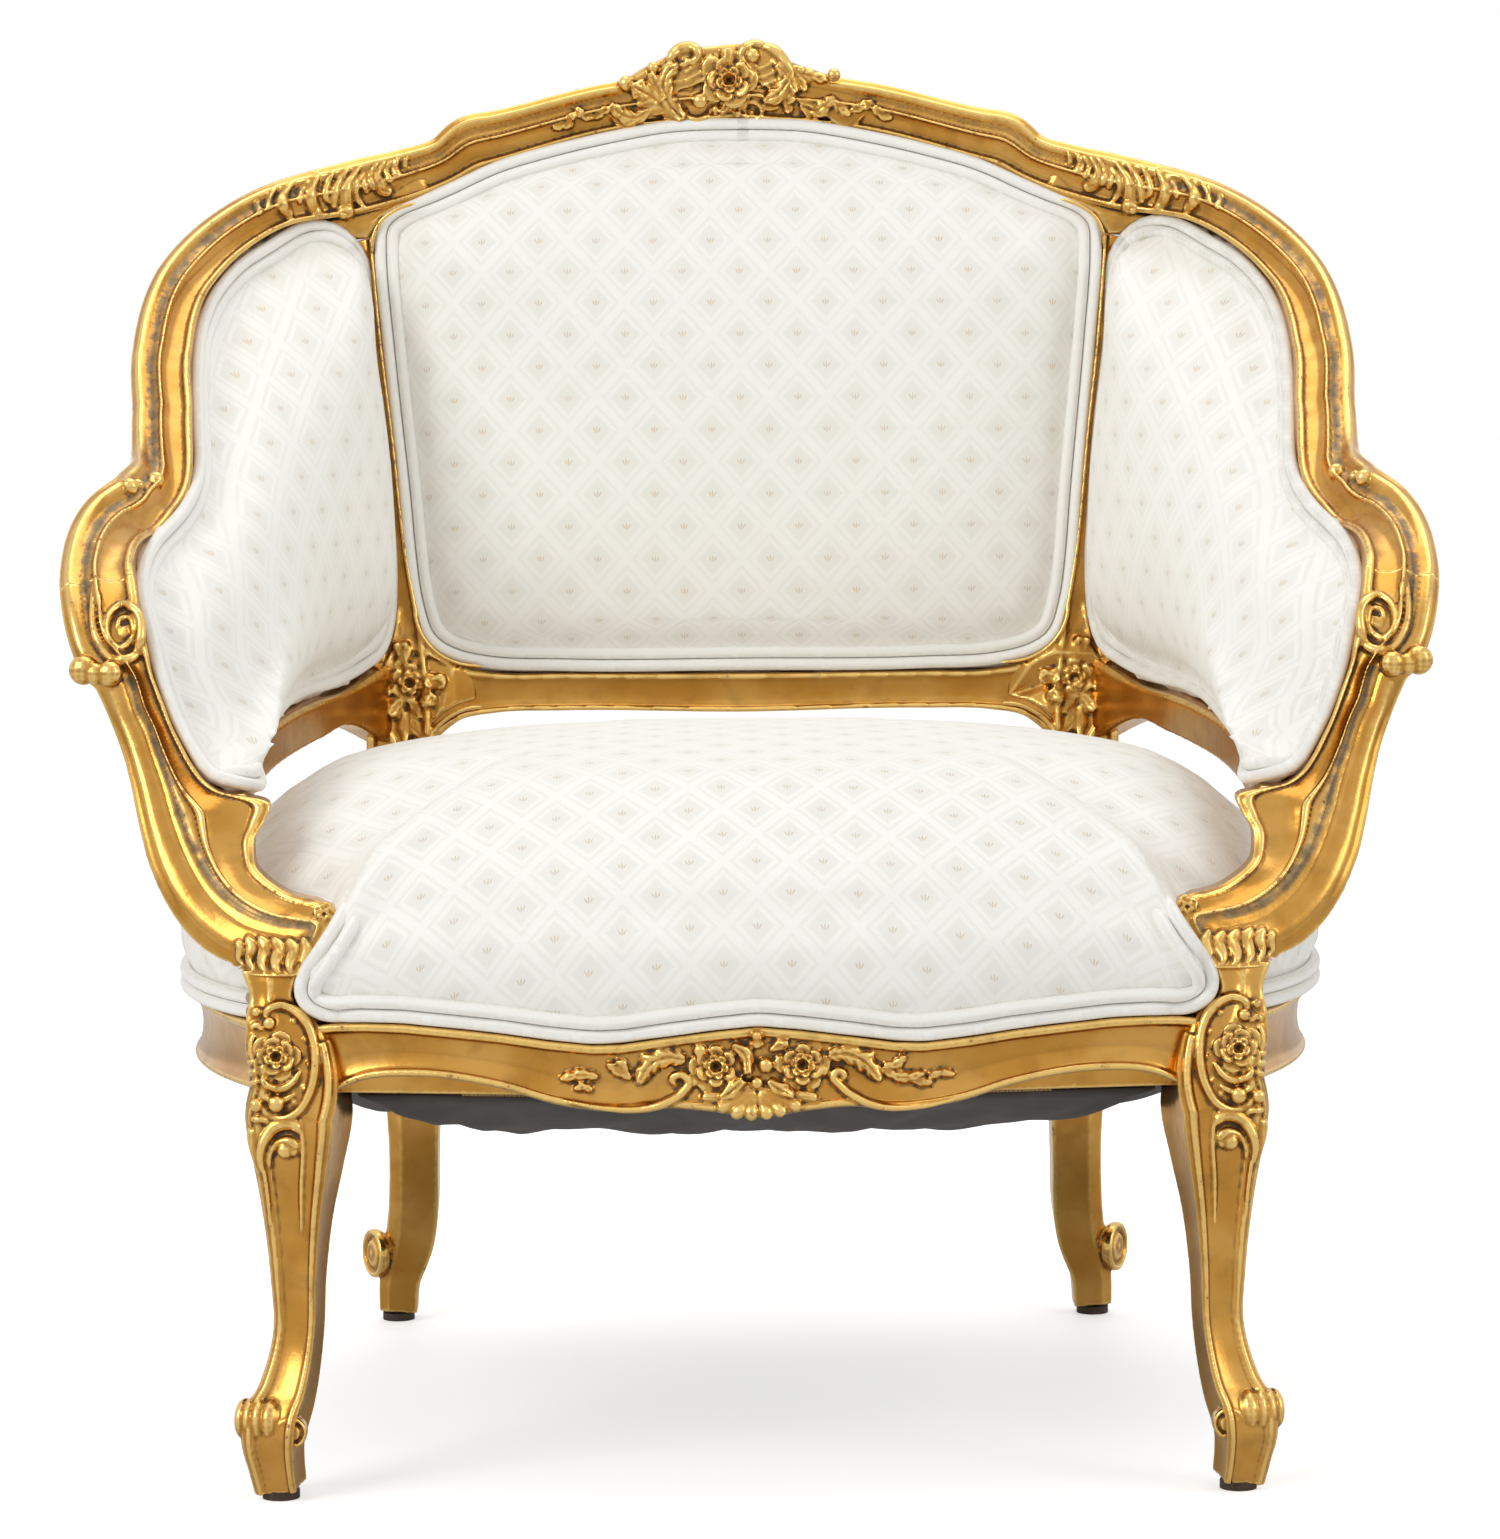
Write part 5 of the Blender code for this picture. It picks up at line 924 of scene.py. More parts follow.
def fanned(edges, plain, fronts):
    """A member over three lines, from the outer edge by the worn fillet to the inner edge."""
    table = np.column_stack(edges + [plain, fronts])
    steps = np.linspace(0, len(table) - 1, 12 * len(table))
    at = curve(table)
    fine = at(steps)
    outer, fillet, inner = fine[:, 0:3], fine[:, 3:6], fine[:, 6:9]
    ease = np.clip(fine[:, 9], 0, 1)[:, None]
    front = unit(fine[:, 10:])
    section = moulding(FRAME_MOULDING)
    rings = []
    for u, v in section:
        if u < WORN_ACROSS:
            t = (u + 0.5) / (WORN_ACROSS + 0.5)
            flat = outer * (1 - t) + fillet * t
        else:
            t = (u - WORN_ACROSS) / (0.5 - WORN_ACROSS)
            flat = fillet * (1 - t) + inner * t
        calm = CALM_HEIGHT * (1 - abs(2 * u) ** 5) if v > 0 else v
        height = v * (1 - ease) + calm * ease
        rings.append(flat + front * height * RAIL_BODY)
    return loft(np.array(rings).transpose(1, 0, 2))


def outline_block(table, near, far, falls):
    """A slab from an outline of x and z in millimetres, which may fall back all round."""
    points, faces = upright_block(np.array(table) / 1000, near, far)
    middle = points.mean(axis=0)
    aside = np.hypot(points[:, 0] - middle[0], points[:, 2] - middle[2])
    fallen = np.clip((aside - WEB_FLAT) / WEB_FALL_OVER, 0, 1) * (points[:, 1] < far - 0.001)
    points[:, 1] += falls * fallen
    return points, faces


def stile_shells():
    rows = evenly(to_metres(STILE_SHARES, STILE_SIZE))[::-1]
    web = outline_block(STILE_WEB, STILE_WEB_NEAR, STILE_WEB_FAR, STILE_WEB_FALL)
    across = fixed_across((1, 0, 0))
    upper = rows[rows[:, 2] > STILE_BOTTOM]
    lower = rows[rows[:, 2] < REAR_LEG_TOP]
    stile = swept(upper, across, moulding(STILE_MOULDING), STILE_SIZE)
    leg = swept(lower, across, moulding(REAR_LEG_MOULDING), STILE_SIZE)
    return [stile, leg, web]


def leg_shells():
    """The cabriole leg and, over the rails, its neck, in one run."""
    rows = to_metres(LEG_SHARES[:-2] + NECK_ROWS, LEG_SIZE)
    rows[-1, 2] -= GAP
    rows = evenly(rows)[::-1]
    shank = rows[rows[:, 2] < SHANK_TOP]
    neck = rows[rows[:, 2] > NECK_BOTTOM]
    turn = LEG_TURN * (1 - np.clip((shank[:, 2] - TURN_FROM) / TURN_OVER, 0, 1))

    def across(tangents):
        wide = np.column_stack([np.cos(turn), -np.sin(turn), np.zeros(len(turn))])
        return unit(wide - tangents * np.einsum("ij,ij->i", tangents, wide)[:, None])

    return [
        swept(shank, across, moulding(LEG_MOULDING), LEG_SIZE),
        swept(neck, fixed_across((1, 0, 0)), moulding(NECK_MOULDING), LEG_SIZE),
    ]


def lower_back_shells():
    rows = evenly(mirrored(to_metres(LOWER_BACK_SHARES, LOWER_RAIL_FACE)))
    return [swept(rows, picture_across, moulding(PLAIN_MOULDING), LOWER_RAIL_BODY)]


def lower_side_shells():
    rows = evenly(to_metres(LOWER_SIDE_SHARES, LOWER_RAIL_FACE))
    return [swept(rows, fixed_across(UP), moulding(PLAIN_MOULDING), LOWER_RAIL_BODY)]


def front_line(x):
    """Height of the front rail's wavy upper edge."""
    places, rises = np.array(FRONT_WAVE).T
    return SEAT_LINE + np.interp(abs(x) * 1000, places, rises) / 1000


# Seat rail section: height over the lip's foot or over the seat line and depth behind the face
LIP_BEAD = 0.0055
LIP_FOOT = [(0.001, 0.006), (0.0, 0.003), (0.0012, 0.0006), (0.5 * LIP_BEAD, -0.0002)]
LIP_TOP = [(-0.005, 0.001), (-0.004, 0.0), (-0.0015, 0.0), (0.0, 0.0014), (0.0, REBATE)]
LIP_FACE_DEPTH = 0.0026
LIP_HOLLOW = 0.0028
LIP_BACK = [(0.0, 0.018), (0.002, 0.015)]


def rail_section(middle, face, line=SEAT_LINE):
    """Seat rail section from the bottom of the lip upwards, as (height, depth behind the face)."""
    low = middle - face / 2
    top = SEAT_LINE + RAIL_ABOVE_LINE
    core = min(SEAT_LINE - RAIL_BELOW_LINE, line)
    start = low + LIP_BEAD
    stop = line - LIP_BEAD
    points = [(low + height, depth) for height, depth in LIP_FOOT]
    points += [(start - 0.001, 0.0008), (start, LIP_FACE_DEPTH)]
    for t in np.linspace(0, 1, 9):
        points.append((start + (stop - start) * t, LIP_FACE_DEPTH + LIP_HOLLOW * 4 * t * (1 - t)))
    points += [(line + height, depth) for height, depth in LIP_TOP]
    points += [(top, REBATE), (top, SEAT_RAIL_BODY), (core, SEAT_RAIL_BODY)]
    return points + [(core, LIP_BACK[0][1]), (low + LIP_BACK[1][0], LIP_BACK[1][1])]


def seat_rail_shells(rows, wavy=False):
    points = rows[:, :3].copy()
    points[:, 2] = 0
    tangents = directions(points)
    side = np.cross(tangents, UP)
    rings = []
    for place, inward, row in zip(points, side, rows):
        section = rail_section(row[2], row[3], front_line(place[0]) if wavy else SEAT_LINE)
        rings.append([place + UP * height - inward * depth for height, depth in section])
    return [loft(rings)]


def front_rail_rows():
    return evenly(mirrored(to_metres(FRONT_LIP_SHARES, LIP_FACE)))[::-1]


def side_rail_shells():
    return seat_rail_shells(evenly(to_metres(SIDE_LIP_SHARES, LIP_FACE))[::-1])


# Carving

# Depths to use where the front view shows no ground under an ornament
CREST_DEPTH = 0.282
APRON_DEPTH = -0.315
SHOULDER_DEPTH = 0.245
ARM_DEPTH = -0.150
STILE_DEPTH = 0.222
KNEE_DEPTH = -0.298
CUSHION_DEPTH = -0.29


class Ground:
    """The front of what is carved on: how far back it lies at a place of the front view."""

    def __init__(self, source, spare):
        if isinstance(source, bpy.types.Mesh):
            points = [tuple(place) for place in coordinates(source)]
            faces = [tuple(face.vertices) for face in source.polygons]
        else:
            points, faces = [], []
            for shell_points, shell_faces in source:
                start = len(points)
                points += [tuple(place) for place in shell_points]
                faces += [tuple(index + start for index in face) for face in shell_faces]
        self.tree = BVHTree.FromPolygons(points, faces)
        self.spare = spare

    def depth(self, x, z):
        hit = self.tree.ray_cast(Vector((x, -1.0, z)), Vector((0, 1, 0)))[0]
        return self.spare if hit is None else hit.y

    def follow(self, flat):
        """Places on the ground under a path of x and z; gaps in it keep its nearest depth."""
        hits = [self.tree.ray_cast(Vector((x, -1.0, z)), Vector((0, 1, 0)))[0] for x, z in flat]
        found = np.array([np.nan if hit is None else hit.y for hit in hits])
        known = np.nonzero(~np.isnan(found))[0]
        if len(known) == 0:
            near = self.tree.find_nearest(Vector((flat[0][0], self.spare, flat[0][1])))[0]
            found[:] = self.spare if near is None else near.y - 0.006
        else:
            found = np.interp(np.arange(len(found)), known, found[known])
        depths = softened(found[:, None], 3)[:, 0]
        return np.column_stack([flat[:, 0], depths, flat[:, 1]])

    def under(self, x, z):
        return self.follow(np.array([(x, z)] * 3))[1]


def flat_run(rows, count):
    """Rows of x, z and half width in millimetres as a smooth run in metres."""
    table = np.array(rows, dtype=float) / 1000
    if len(table) == 1:
        return np.repeat(table, count, axis=0)
    wide = np.column_stack([table[:, 0], np.zeros(len(table)), table[:, 1], table[:, 2]])
    smooth = curve(wide)(np.linspace(0, len(table) - 1, count))
    return smooth[:, (0, 2, 3)]


def ridge(ground, rows, rise):
    """A rounded band along the run, half sunk, with round ends."""
    count = max(10, 5 * len(rows))
    run = flat_run(rows, count)
    share = np.linspace(-1, 1, count)
    wide = np.maximum(run[:, 2], 0.0005) * np.sqrt(np.clip(1.02 - np.abs(share) ** 9, 0.02, 1))
    centre = ground.follow(run[:, :2])
    along = directions(centre)
    across = unit(np.cross(along, FORWARD))
    out = np.cross(across, along)
    out *= np.sign(out @ FORWARD)[:, None]
    tall = np.minimum(rise / 1000, wide * 1.25)
    turns = np.linspace(0, 2 * math.pi, 11)[:-1]
    rings = []
    for place, side, up, half, height in zip(centre, across, out, wide, tall):
        rings.append([
            place + side * half * math.cos(t) + up * height * math.sin(t) for t in turns
        ])
    return loft(rings)


LEAF_ROOT = 0.0016


def leaf(ground, rows, lobes, rise):
    """A carved leaf: scalloped edges, a sunk midrib and veins between the lobes, a lifted tip."""
    count = max(14, 6 * lobes)
    run = flat_run(rows, count)
    centre = ground.follow(run[:, :2])
    along = directions(centre)
    across = unit(np.cross(along, FORWARD))
    share = np.linspace(0, 1, count)
    beat = (share * lobes) % 1.0
    notch = 1 - 0.42 * (1 - np.sin(math.pi * np.clip(beat * 0.86 + 0.14, 0, 1))) * (share > 0.08)
    wide = np.maximum(run[:, 2] * 1.3 * (notch if lobes > 1 else 1), 0.0006)
    places = np.linspace(-1, 1, 9)
    lift = rise * 1.5 / 1000
    rings = []
    for index in range(count):
        line = []
        low = []
        for t in places:
            reach = abs(t)
            arch = (1 - reach ** 2.2) * 0.62 + 0.22
            groove = 0.34 * math.exp(-(t / 0.16) ** 2)
            beats = share[index] * max(lobes, 1) * 1.5 - reach * 0.8
            vein = 0.17 * math.cos(2 * math.pi * beats) * reach
            tip = 0.55 * share[index] ** 3
            height = lift * (arch - groove + vein + tip)
            back = along[index] * wide[index] * 0.35 * reach
            spot = centre[index] + across[index] * wide[index] * t + back
            sunk = centre[index] + across[index] * wide[index] * t * 0.9 + back
            line.append(spot + FORWARD * height)
            low.append(sunk - FORWARD * LEAF_ROOT)
        rings.append(line + low[::-1])
    return loft(rings)


def berry(ground, x, z, radius):
    """A ball that sits in the ground."""
    x, z, radius = x / 1000, z / 1000, radius / 1000
    centre = ground.under(x, z) + FORWARD * radius * 0.35
    rings = []
    for lean in np.linspace(0.12, math.pi - 0.12, 8):
        ring = []
        for turn in np.linspace(0, 2 * math.pi, 13)[:-1]:
            flat = math.sin(lean)
            ring.append(centre + radius * np.array((
                flat * math.cos(turn), flat * math.sin(turn) * 0.85, math.cos(lean)
            )))
        rings.append(ring)
    return loft(rings)


def rose(ground, x, z, radius, petals):
    """An open flower: notched rounds of cupped petals about a hollow heart."""
    centre = ground.under(x / 1000, z / 1000)
    shells = []
    for size, rim, shift in ROSE_ROUNDS:
        rings = []
        for turn in np.linspace(0, 2 * math.pi, 61)[:-1]:
            full = abs(math.cos(petals * turn / 2 + shift * math.pi)) ** 0.5
            reach = radius * size * (0.66 + 0.36 * full) / 1000
            tall = rim * (0.3 + 0.7 * full) * radius / 14000
            way = np.array((math.cos(turn), 0, math.sin(turn)))
            rings.append([
                centre + way * reach * out + FORWARD * (tall * up if up > 0 else up / 1000)
                for out, up in PETAL_SECTION
            ])
        shells.append(loft(rings, True))
    return shells


def pearls(ground, rows):
    """Small beads where the rows say, grown as copies of one bead."""
    mesh = bmesh.new()
    for x, z, _ in rows:
        mesh.verts.new(ground.under(x / 1000, z / 1000))
    radius = float(np.mean([row[2] for row in rows])) / 1000
    piece = grown("pearls", mesh, BEAD_TREE, {"Radius": radius})
    shells = split_shells(piece.data, len(rows))
    bpy.data.objects.remove(piece)
    return shells


def split_shells(data, number):
    """The equal closed shells that a mesh of copies holds."""
    points = coordinates(data)
    size = len(points) // number
    faces = [tuple(face.vertices) for face in data.polygons]
    shells = []
    for index in range(number):
        start = index * size
        own = [tuple(v - start for v in face) for face in faces if start <= face[0] < start + size]
        shells.append((points[start:start + size], own))
    return shells


def growth_tree(name, *inputs):
    """A node tree with a shape, a finish and the other named inputs; its two ends too."""
    tree = bpy.data.node_groups.new(name, 'GeometryNodeTree')
    for label, kind in (("Geometry", 'Geometry'), *inputs, ("Finish", 'Material')):
        tree.interface.new_socket(label, in_out='INPUT', socket_type=f'NodeSocket{kind}')
    tree.interface.new_socket("Geometry", in_out='OUTPUT', socket_type='NodeSocketGeometry')
    return tree, tree.nodes.new('NodeGroupInput'), tree.nodes.new('NodeGroupOutput')


def end_tree(tree, shape, source, result):
    """Makes the copies real and gives them the finish."""
    solid = tree.nodes.new('GeometryNodeRealizeInstances')
    coat = tree.nodes.new('GeometryNodeSetMaterial')
    tree.links.new(shape, solid.inputs[0])
    tree.links.new(solid.outputs[0], coat.inputs["Geometry"])
    tree.links.new(source.outputs["Finish"], coat.inputs["Material"])
    tree.links.new(coat.outputs[0], result.inputs[0])
    return tree


def bead_tree():
    """A small bead on every point."""
    tree, source, result = growth_tree("beads_on_points", ("Radius", 'Float'))
    bead = tree.nodes.new('GeometryNodeMeshIcoSphere')
    bead.inputs["Subdivisions"].default_value = 2
    copies = tree.nodes.new('GeometryNodeInstanceOnPoints')
    tree.links.new(source.outputs["Radius"], bead.inputs["Radius"])
    tree.links.new(source.outputs["Geometry"], copies.inputs["Points"])
    tree.links.new(bead.outputs["Mesh"], copies.inputs["Instance"])
    return end_tree(tree, copies.outputs[0], source, result)


BEAD_TREE = bead_tree()


def ornament(ground, leaves, scrolls, berries, roses):
    """All the carving of one member."""
    shells = [leaf(ground, *row) for row in leaves]
    shells += [ridge(ground, *row) for row in scrolls]
    shells += [berry(ground, *row) for row in berries]
    for row in roses:
        shells += rose(ground, *row)
    return shells


# Finishes: colours are written as seen, from 0 to 1

def tint(red, green, blue):
    """A seen colour as the shader's own numbers."""
    def plain(value):
        return value / 12.92 if value <= 0.04045 else ((value + 0.055) / 1.055) ** 2.4
    return (plain(red), plain(green), plain(blue), 1.0)


def socket_label(label):
    """The shader's own name for a socket that is written in small letters."""
    words = label.replace("_", " ").title()
    return words.replace("Ior", "IOR")


class Tone:
    """One output of a finish's nodes; sums with it add Math nodes."""

    def __init__(self, finish, socket):
        self.finish = finish
        self.socket = socket

    def math(self, operation, *others):
        values = dict(enumerate((self,) + others))
        return self.finish.node('ShaderNodeMath', {"operation": operation}, values)

    def __add__(self, other):
        return self.math('ADD', other)

    def __sub__(self, other):
        return self.math('SUBTRACT', other)

    def __mul__(self, other):
        return self.math('MULTIPLY', other)

    def __truediv__(self, other):
        return self.math('DIVIDE', other)

    def __rsub__(self, other):
        return self.finish.number('SUBTRACT', other, self)

    __radd__ = __add__
    __rmul__ = __mul__

    def size(self):
        return self.math('ABSOLUTE')

    def wave(self):
        return self.math('SINE')

    def part(self):
        return self.math('FRACT')

    def least(self, other):
        return self.math('MINIMUM', other)

    def most(self, other):
        return self.math('MAXIMUM', other)

    def between(self, low, high):
        """0 up to low, 1 from high on, smooth between."""
        sockets = {"Value": self, "From Min": low, "From Max": high}
        return self.finish.node('ShaderNodeMapRange', {"interpolation_type": 'SMOOTHSTEP'}, sockets)


class Finish:
    """A material with one Principled shader."""

    def __init__(self, name, **constants):
        self.material = bpy.data.materials.new(name)
        self.material.use_nodes = True
        self.tree = self.material.node_tree
        self.shader = self.tree.nodes["Principled BSDF"]
        for label, value in constants.items():
            self.shader.inputs[socket_label(label)].default_value = value

    def node(self, kind, settings=None, sockets=None, output=0):
        made = self.tree.nodes.new(kind)
        for key, value in (settings or {}).items():
            setattr(made, key, value)
        for key, value in (sockets or {}).items():
            socket = made.inputs[key]
            if isinstance(value, Tone):
                self.tree.links.new(value.socket, socket)
            else:
                socket.default_value = value
        return Tone(self, made.outputs[output])

    def number(self, operation, *values):
        return self.node('ShaderNodeMath', {"operation": operation}, dict(enumerate(values)))

    def place(self):
        return self.node('ShaderNodeTexCoord', output="Object")

    def split(self, place):
        """The first two coordinates of a place."""
        return [self.node('ShaderNodeSeparateXYZ', {}, {0: place}, axis) for axis in "XY"]

    def weave(self, place, pitch):
        """Crossing threads, 0 in the gaps and 1 on the crossings."""
        x, y = self.split(place)
        turn = 2 * math.pi / pitch
        return (x * turn).wave() * (y * turn).wave() * 0.5 + 0.5

    def stored(self, name):
        return self.node('ShaderNodeAttribute', {"attribute_name": name}, output="Fac")

    def grain(self, size, place=None, detail=3.0, stretch=(1, 1, 1)):
        """Noise with features of about the size in metres."""
        place = place or self.place()
        scaled = self.node('ShaderNodeMapping', {}, {"Vector": place, "Scale": stretch})
        sockets = {"Vector": scaled, "Scale": 1 / size, "Detail": detail}
        return self.node('ShaderNodeTexNoise', {}, sockets)

    def mix(self, mask, one, two):
        """Colour one where the mask is 0, two where it is 1."""
        return self.node('ShaderNodeMix', {"data_type": 'RGBA'}, {0: mask, 6: one, 7: two}, 2)

    def bump(self, height, distance, strength=1.0):
        sockets = {"Height": height, "Distance": distance, "Strength": strength}
        return self.node('ShaderNodeBump', {}, sockets)

    def feed(self, **tones):
        for label, tone in tones.items():
            self.tree.links.new(tone.socket, self.shader.inputs[socket_label(label)])
        return self.material


def gilding():
    """Water gilding over red bole, rubbed to the bole on edges; painted highlight on ridges, painted
    shade in broad hollows, umber grime and painted shade in recesses.
    """
    finish = Finish("gilding", ior=1.5)
    hollow = finish.stored("hollow")
    deep = finish.stored("deep")
    broad = finish.grain(0.045)
    cloudy = finish.grain(0.014, detail=4.0)
    fine = finish.grain(0.0035, detail=4.0)
    leaf = finish.mix(broad.between(0.35, 0.65), GOLD_WARM, GOLD_PALE)
    # Painted shade: the broad hollows, such as the coves, are darkened towards a dusky gold by how deep
    # they are.
    sunk = (deep + (cloudy - 0.5) * 0.5).between(0.1, 1.0) * 0.34 + deep.between(0.7, 1.5) * 0.5
    shaded = finish.mix(sunk, leaf, GOLD_SHADE_AND_TONE)
    # Painted highlight: the convex ridges are lightened to a pale gold by how far they stand out.
    painted_highlight = finish.mix((0 - hollow + (fine - 0.5) * 0.06).between(0.02, 0.16), shaded, GOLD_PAINTED_HIGHLIGHT)
    rubbed = (0 - hollow * 0.8 + (fine - 0.5) * 1.1 + (cloudy - 0.5) * 0.7).between(0.38, 0.48)
    bole = finish.mix(rubbed * 0.7, painted_highlight, BOLE)
    toned = finish.mix(cloudy.between(0.48, 0.72) * 0.22, bole, GOLD_SHADE_AND_TONE)
    # Umber grime in the recesses, with painted shade: it darkens every place by how hollow it is, as
    # occlusion would.
    grime_and_shade = (hollow * 1.25 + (deep - 0.55).most(0) * 0.5 + (cloudy - 0.5) * 0.10).between(0.09, 0.42)
    band = finish.stored("worn")
    streaks = finish.grain(0.010, detail=6.0)
    bare = (band + (streaks - 0.5) * 1.5 + (fine - 0.5) * 0.3 - 0.36).between(0.0, 0.75)
    grey = finish.mix(cloudy.between(0.40, 0.70) * 0.55, WORN_GREY, UMBER_DIRT_AND_SHADE)
    greyed = finish.mix(bare * 0.86, toned, grey)
    colour = finish.mix(grime_and_shade * 0.92, greyed, UMBER_DIRT_AND_SHADE)
    dull = rubbed * 0.25 + grime_and_shade * 0.32 + bare * 0.24
    roughness = 0.16 + cloudy * 0.10 + fine * 0.04 + dull
    metal = 1 - (grime_and_shade * 0.7 + rubbed * 0.5 + bare * 0.55).least(0.88)
    relief = cloudy * 0.7 + fine * 0.3
    return finish.feed(
        base_color=colour, roughness=roughness, metallic=metal, normal=finish.bump(relief, 0.0006, 0.3)
    )


def jacquard():
    """Ivory silk with a lattice of lozenges and a small beige sprig in each."""
    finish = Finish("jacquard", sheen_weight=0.25, sheen_roughness=0.5, specular_ior_level=0.35)
    places = finish.node('ShaderNodeUVMap', {"uv_map": "cloth"})
    u, v = finish.split(places)
    x = (u / MOTIF_WIDE + 0.5).part() - 0.5
    y = (v / MOTIF_TALL + 0.5).part() - 0.5
    reach = (x.size() + y.size()) * 2
    ring = reach.least(2 - reach)
    other = reach.math('GREATER_THAN', 1)
    near_x = x - x.math('SIGN') * other * 0.5
    near_y = y - y.math('SIGN') * other * 0.5
    a = near_x * MOTIF_WIDE
    b = near_y * MOTIF_TALL
    inner = ring.between(0.42, 0.48)
    first = ring.between(0.50, 0.54) * (1 - ring.between(0.66, 0.70))
    second = ring.between(0.80, 0.84)
    satin = (first + second).least(1)
    stem = 1 - ((a / 0.0005) * (a / 0.0005) + (b / 0.0024) * (b / 0.0024)).between(0.5, 1.3)
    lean = a.size() - 0.0017 - b * 0.40
    side = 1 - ((lean / 0.0005) * (lean / 0.0005) + (b / 0.0017) * (b / 0.0017)).between(0.5, 1.3)
    sprig = stem.most(side)
    threads = ((u * (2 * math.pi / THREAD)).wave() * (v * (2 * math.pi / THREAD)).wave()) * 0.5 + 0.5
    twill = ((u + v) * (2 * math.pi / (THREAD * 1.6))).wave() * 0.5 + 0.5
    uneven = finish.grain(0.05, places)
    slub = finish.grain(0.0025, places, 2.0, (1, 0.12, 1))
    ground = finish.mix(inner, CLOTH_INNER, CLOTH_GROUND)
    lit = finish.mix(satin * (0.75 + slub * 0.25), ground, CLOTH_SATIN)
    inked = finish.mix(sprig * (0.55 + threads * 0.35), lit, CLOTH_SPRIG)
    aged = finish.mix(uneven.between(0.45, 0.75) * 0.25, inked, CLOTH_AGED)
    roughness = 0.82 - satin * 0.34 + sprig * 0.05 + slub * 0.06
    height = threads * (1 - satin) * 0.6 + twill * satin * 0.35 + satin * 0.5 + sprig * 0.4 + slub * 0.2
    return finish.feed(base_color=aged, roughness=roughness, normal=finish.bump(height, 0.00035, 0.6))


def beech():
    finish = Finish("bare_beech")
    place = finish.place()
    lines = finish.grain(0.004, place, 4.0, (0.08, 1, 1))
    flecks = finish.grain(0.0018, place, 2.0, (0.25, 1, 1))
    wood = finish.mix(lines.between(0.3, 0.7), tint(0.74, 0.56, 0.38), tint(0.60, 0.42, 0.27))
    spotted = finish.mix(flecks.between(0.62, 0.72) * 0.5, wood, tint(0.42, 0.27, 0.17))
    return finish.feed(
        base_color=spotted, roughness=0.55 + lines * 0.2, normal=finish.bump(lines, 0.0004, 0.4)
    )


def hemp():
    finish = Finish("hemp_weave")
    place = finish.place()
    weave = finish.weave(place, 0.0022)
    stain = finish.grain(0.02, place)
    yarn = finish.mix(weave, tint(0.46, 0.36, 0.22), tint(0.72, 0.60, 0.40))
    old = finish.mix(stain.between(0.45, 0.7) * 0.5, yarn, tint(0.36, 0.27, 0.17))
    return finish.feed(
        base_color=old, roughness=0.88 + stain * 0.1, normal=finish.bump(weave, 0.0006, 0.8)
    )


def spring_steel():
    finish = Finish("spring_steel")
    patches = finish.grain(0.006, detail=4.0)
    rust = patches.between(0.52, 0.66)
    colour = finish.mix(rust, tint(0.55, 0.54, 0.52), tint(0.38, 0.24, 0.16))
    return finish.feed(
        base_color=colour, roughness=0.35 + rust * 0.45, metallic=1 - rust * 0.8,
        normal=finish.bump(patches, 0.0003, 0.5)
    )


def cambric():
    finish = Finish("dark_cambric", sheen_weight=0.15)
    places = finish.node('ShaderNodeUVMap', {"uv_map": "cloth"})
    weave = finish.weave(places, 0.0012)
    dust = finish.grain(0.03, places)
    dark = finish.mix(weave, tint(0.17, 0.15, 0.14), tint(0.25, 0.23, 0.21))
    dusty = finish.mix(dust.between(0.45, 0.75) * 0.35, dark, tint(0.36, 0.33, 0.30))
    return finish.feed(
        base_color=dusty, roughness=0.9 + weave * 0.08, normal=finish.bump(weave, 0.0004, 0.5)
    )


def glide_rubber():
    finish = Finish("worn_glide")
    scuffs = finish.grain(0.0015, detail=3.0)
    colour = finish.mix(scuffs.between(0.45, 0.65), tint(0.20, 0.14, 0.10), tint(0.30, 0.23, 0.17))
    return finish.feed(
        base_color=colour, roughness=0.45 + scuffs * 0.3, normal=finish.bump(scuffs, 0.0002, 0.5)
    )


GOLD_WARM = tint(0.725, 0.520, 0.225)
GOLD_PALE = tint(0.790, 0.600, 0.310)
# Pale gold of the painted highlight on the ridges
GOLD_PAINTED_HIGHLIGHT = tint(0.900, 0.750, 0.450)
# Darker gold, for random tone and for the painted shade in broad hollows
GOLD_SHADE_AND_TONE = tint(0.470, 0.325, 0.150)
BOLE = tint(0.56, 0.29, 0.17)
# Umber of the grime and painted shade in the recesses, and of the dirt in the worn band
UMBER_DIRT_AND_SHADE = tint(0.19, 0.14, 0.10)
WORN_GREY = tint(0.450, 0.400, 0.300)
CLOTH_GROUND = tint(0.955, 0.947, 0.918)
CLOTH_INNER = tint(0.946, 0.938, 0.908)
CLOTH_SATIN = tint(0.970, 0.964, 0.941)
CLOTH_SPRIG = tint(0.850, 0.775, 0.660)
CLOTH_AGED = tint(0.935, 0.922, 0.885)
MOTIF_WIDE = 0.039
MOTIF_TALL = 0.0436
THREAD = 0.0011

GILDING = gilding()
JACQUARD = jacquard()
BEECH = beech()
HEMP = hemp()
STEEL = spring_steel()
CAMBRIC = cambric()
GLIDE = glide_rubber()


def settle(piece, finish, slot, *nodes):
    """Gives a finished piece its finish, its body and the nodes that it stands for."""
    piece.data.materials.clear()
    piece.data.materials.append(finish)
    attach(piece, "root")
    if nodes:
        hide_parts(*nodes)
    return piece


# Upholstery

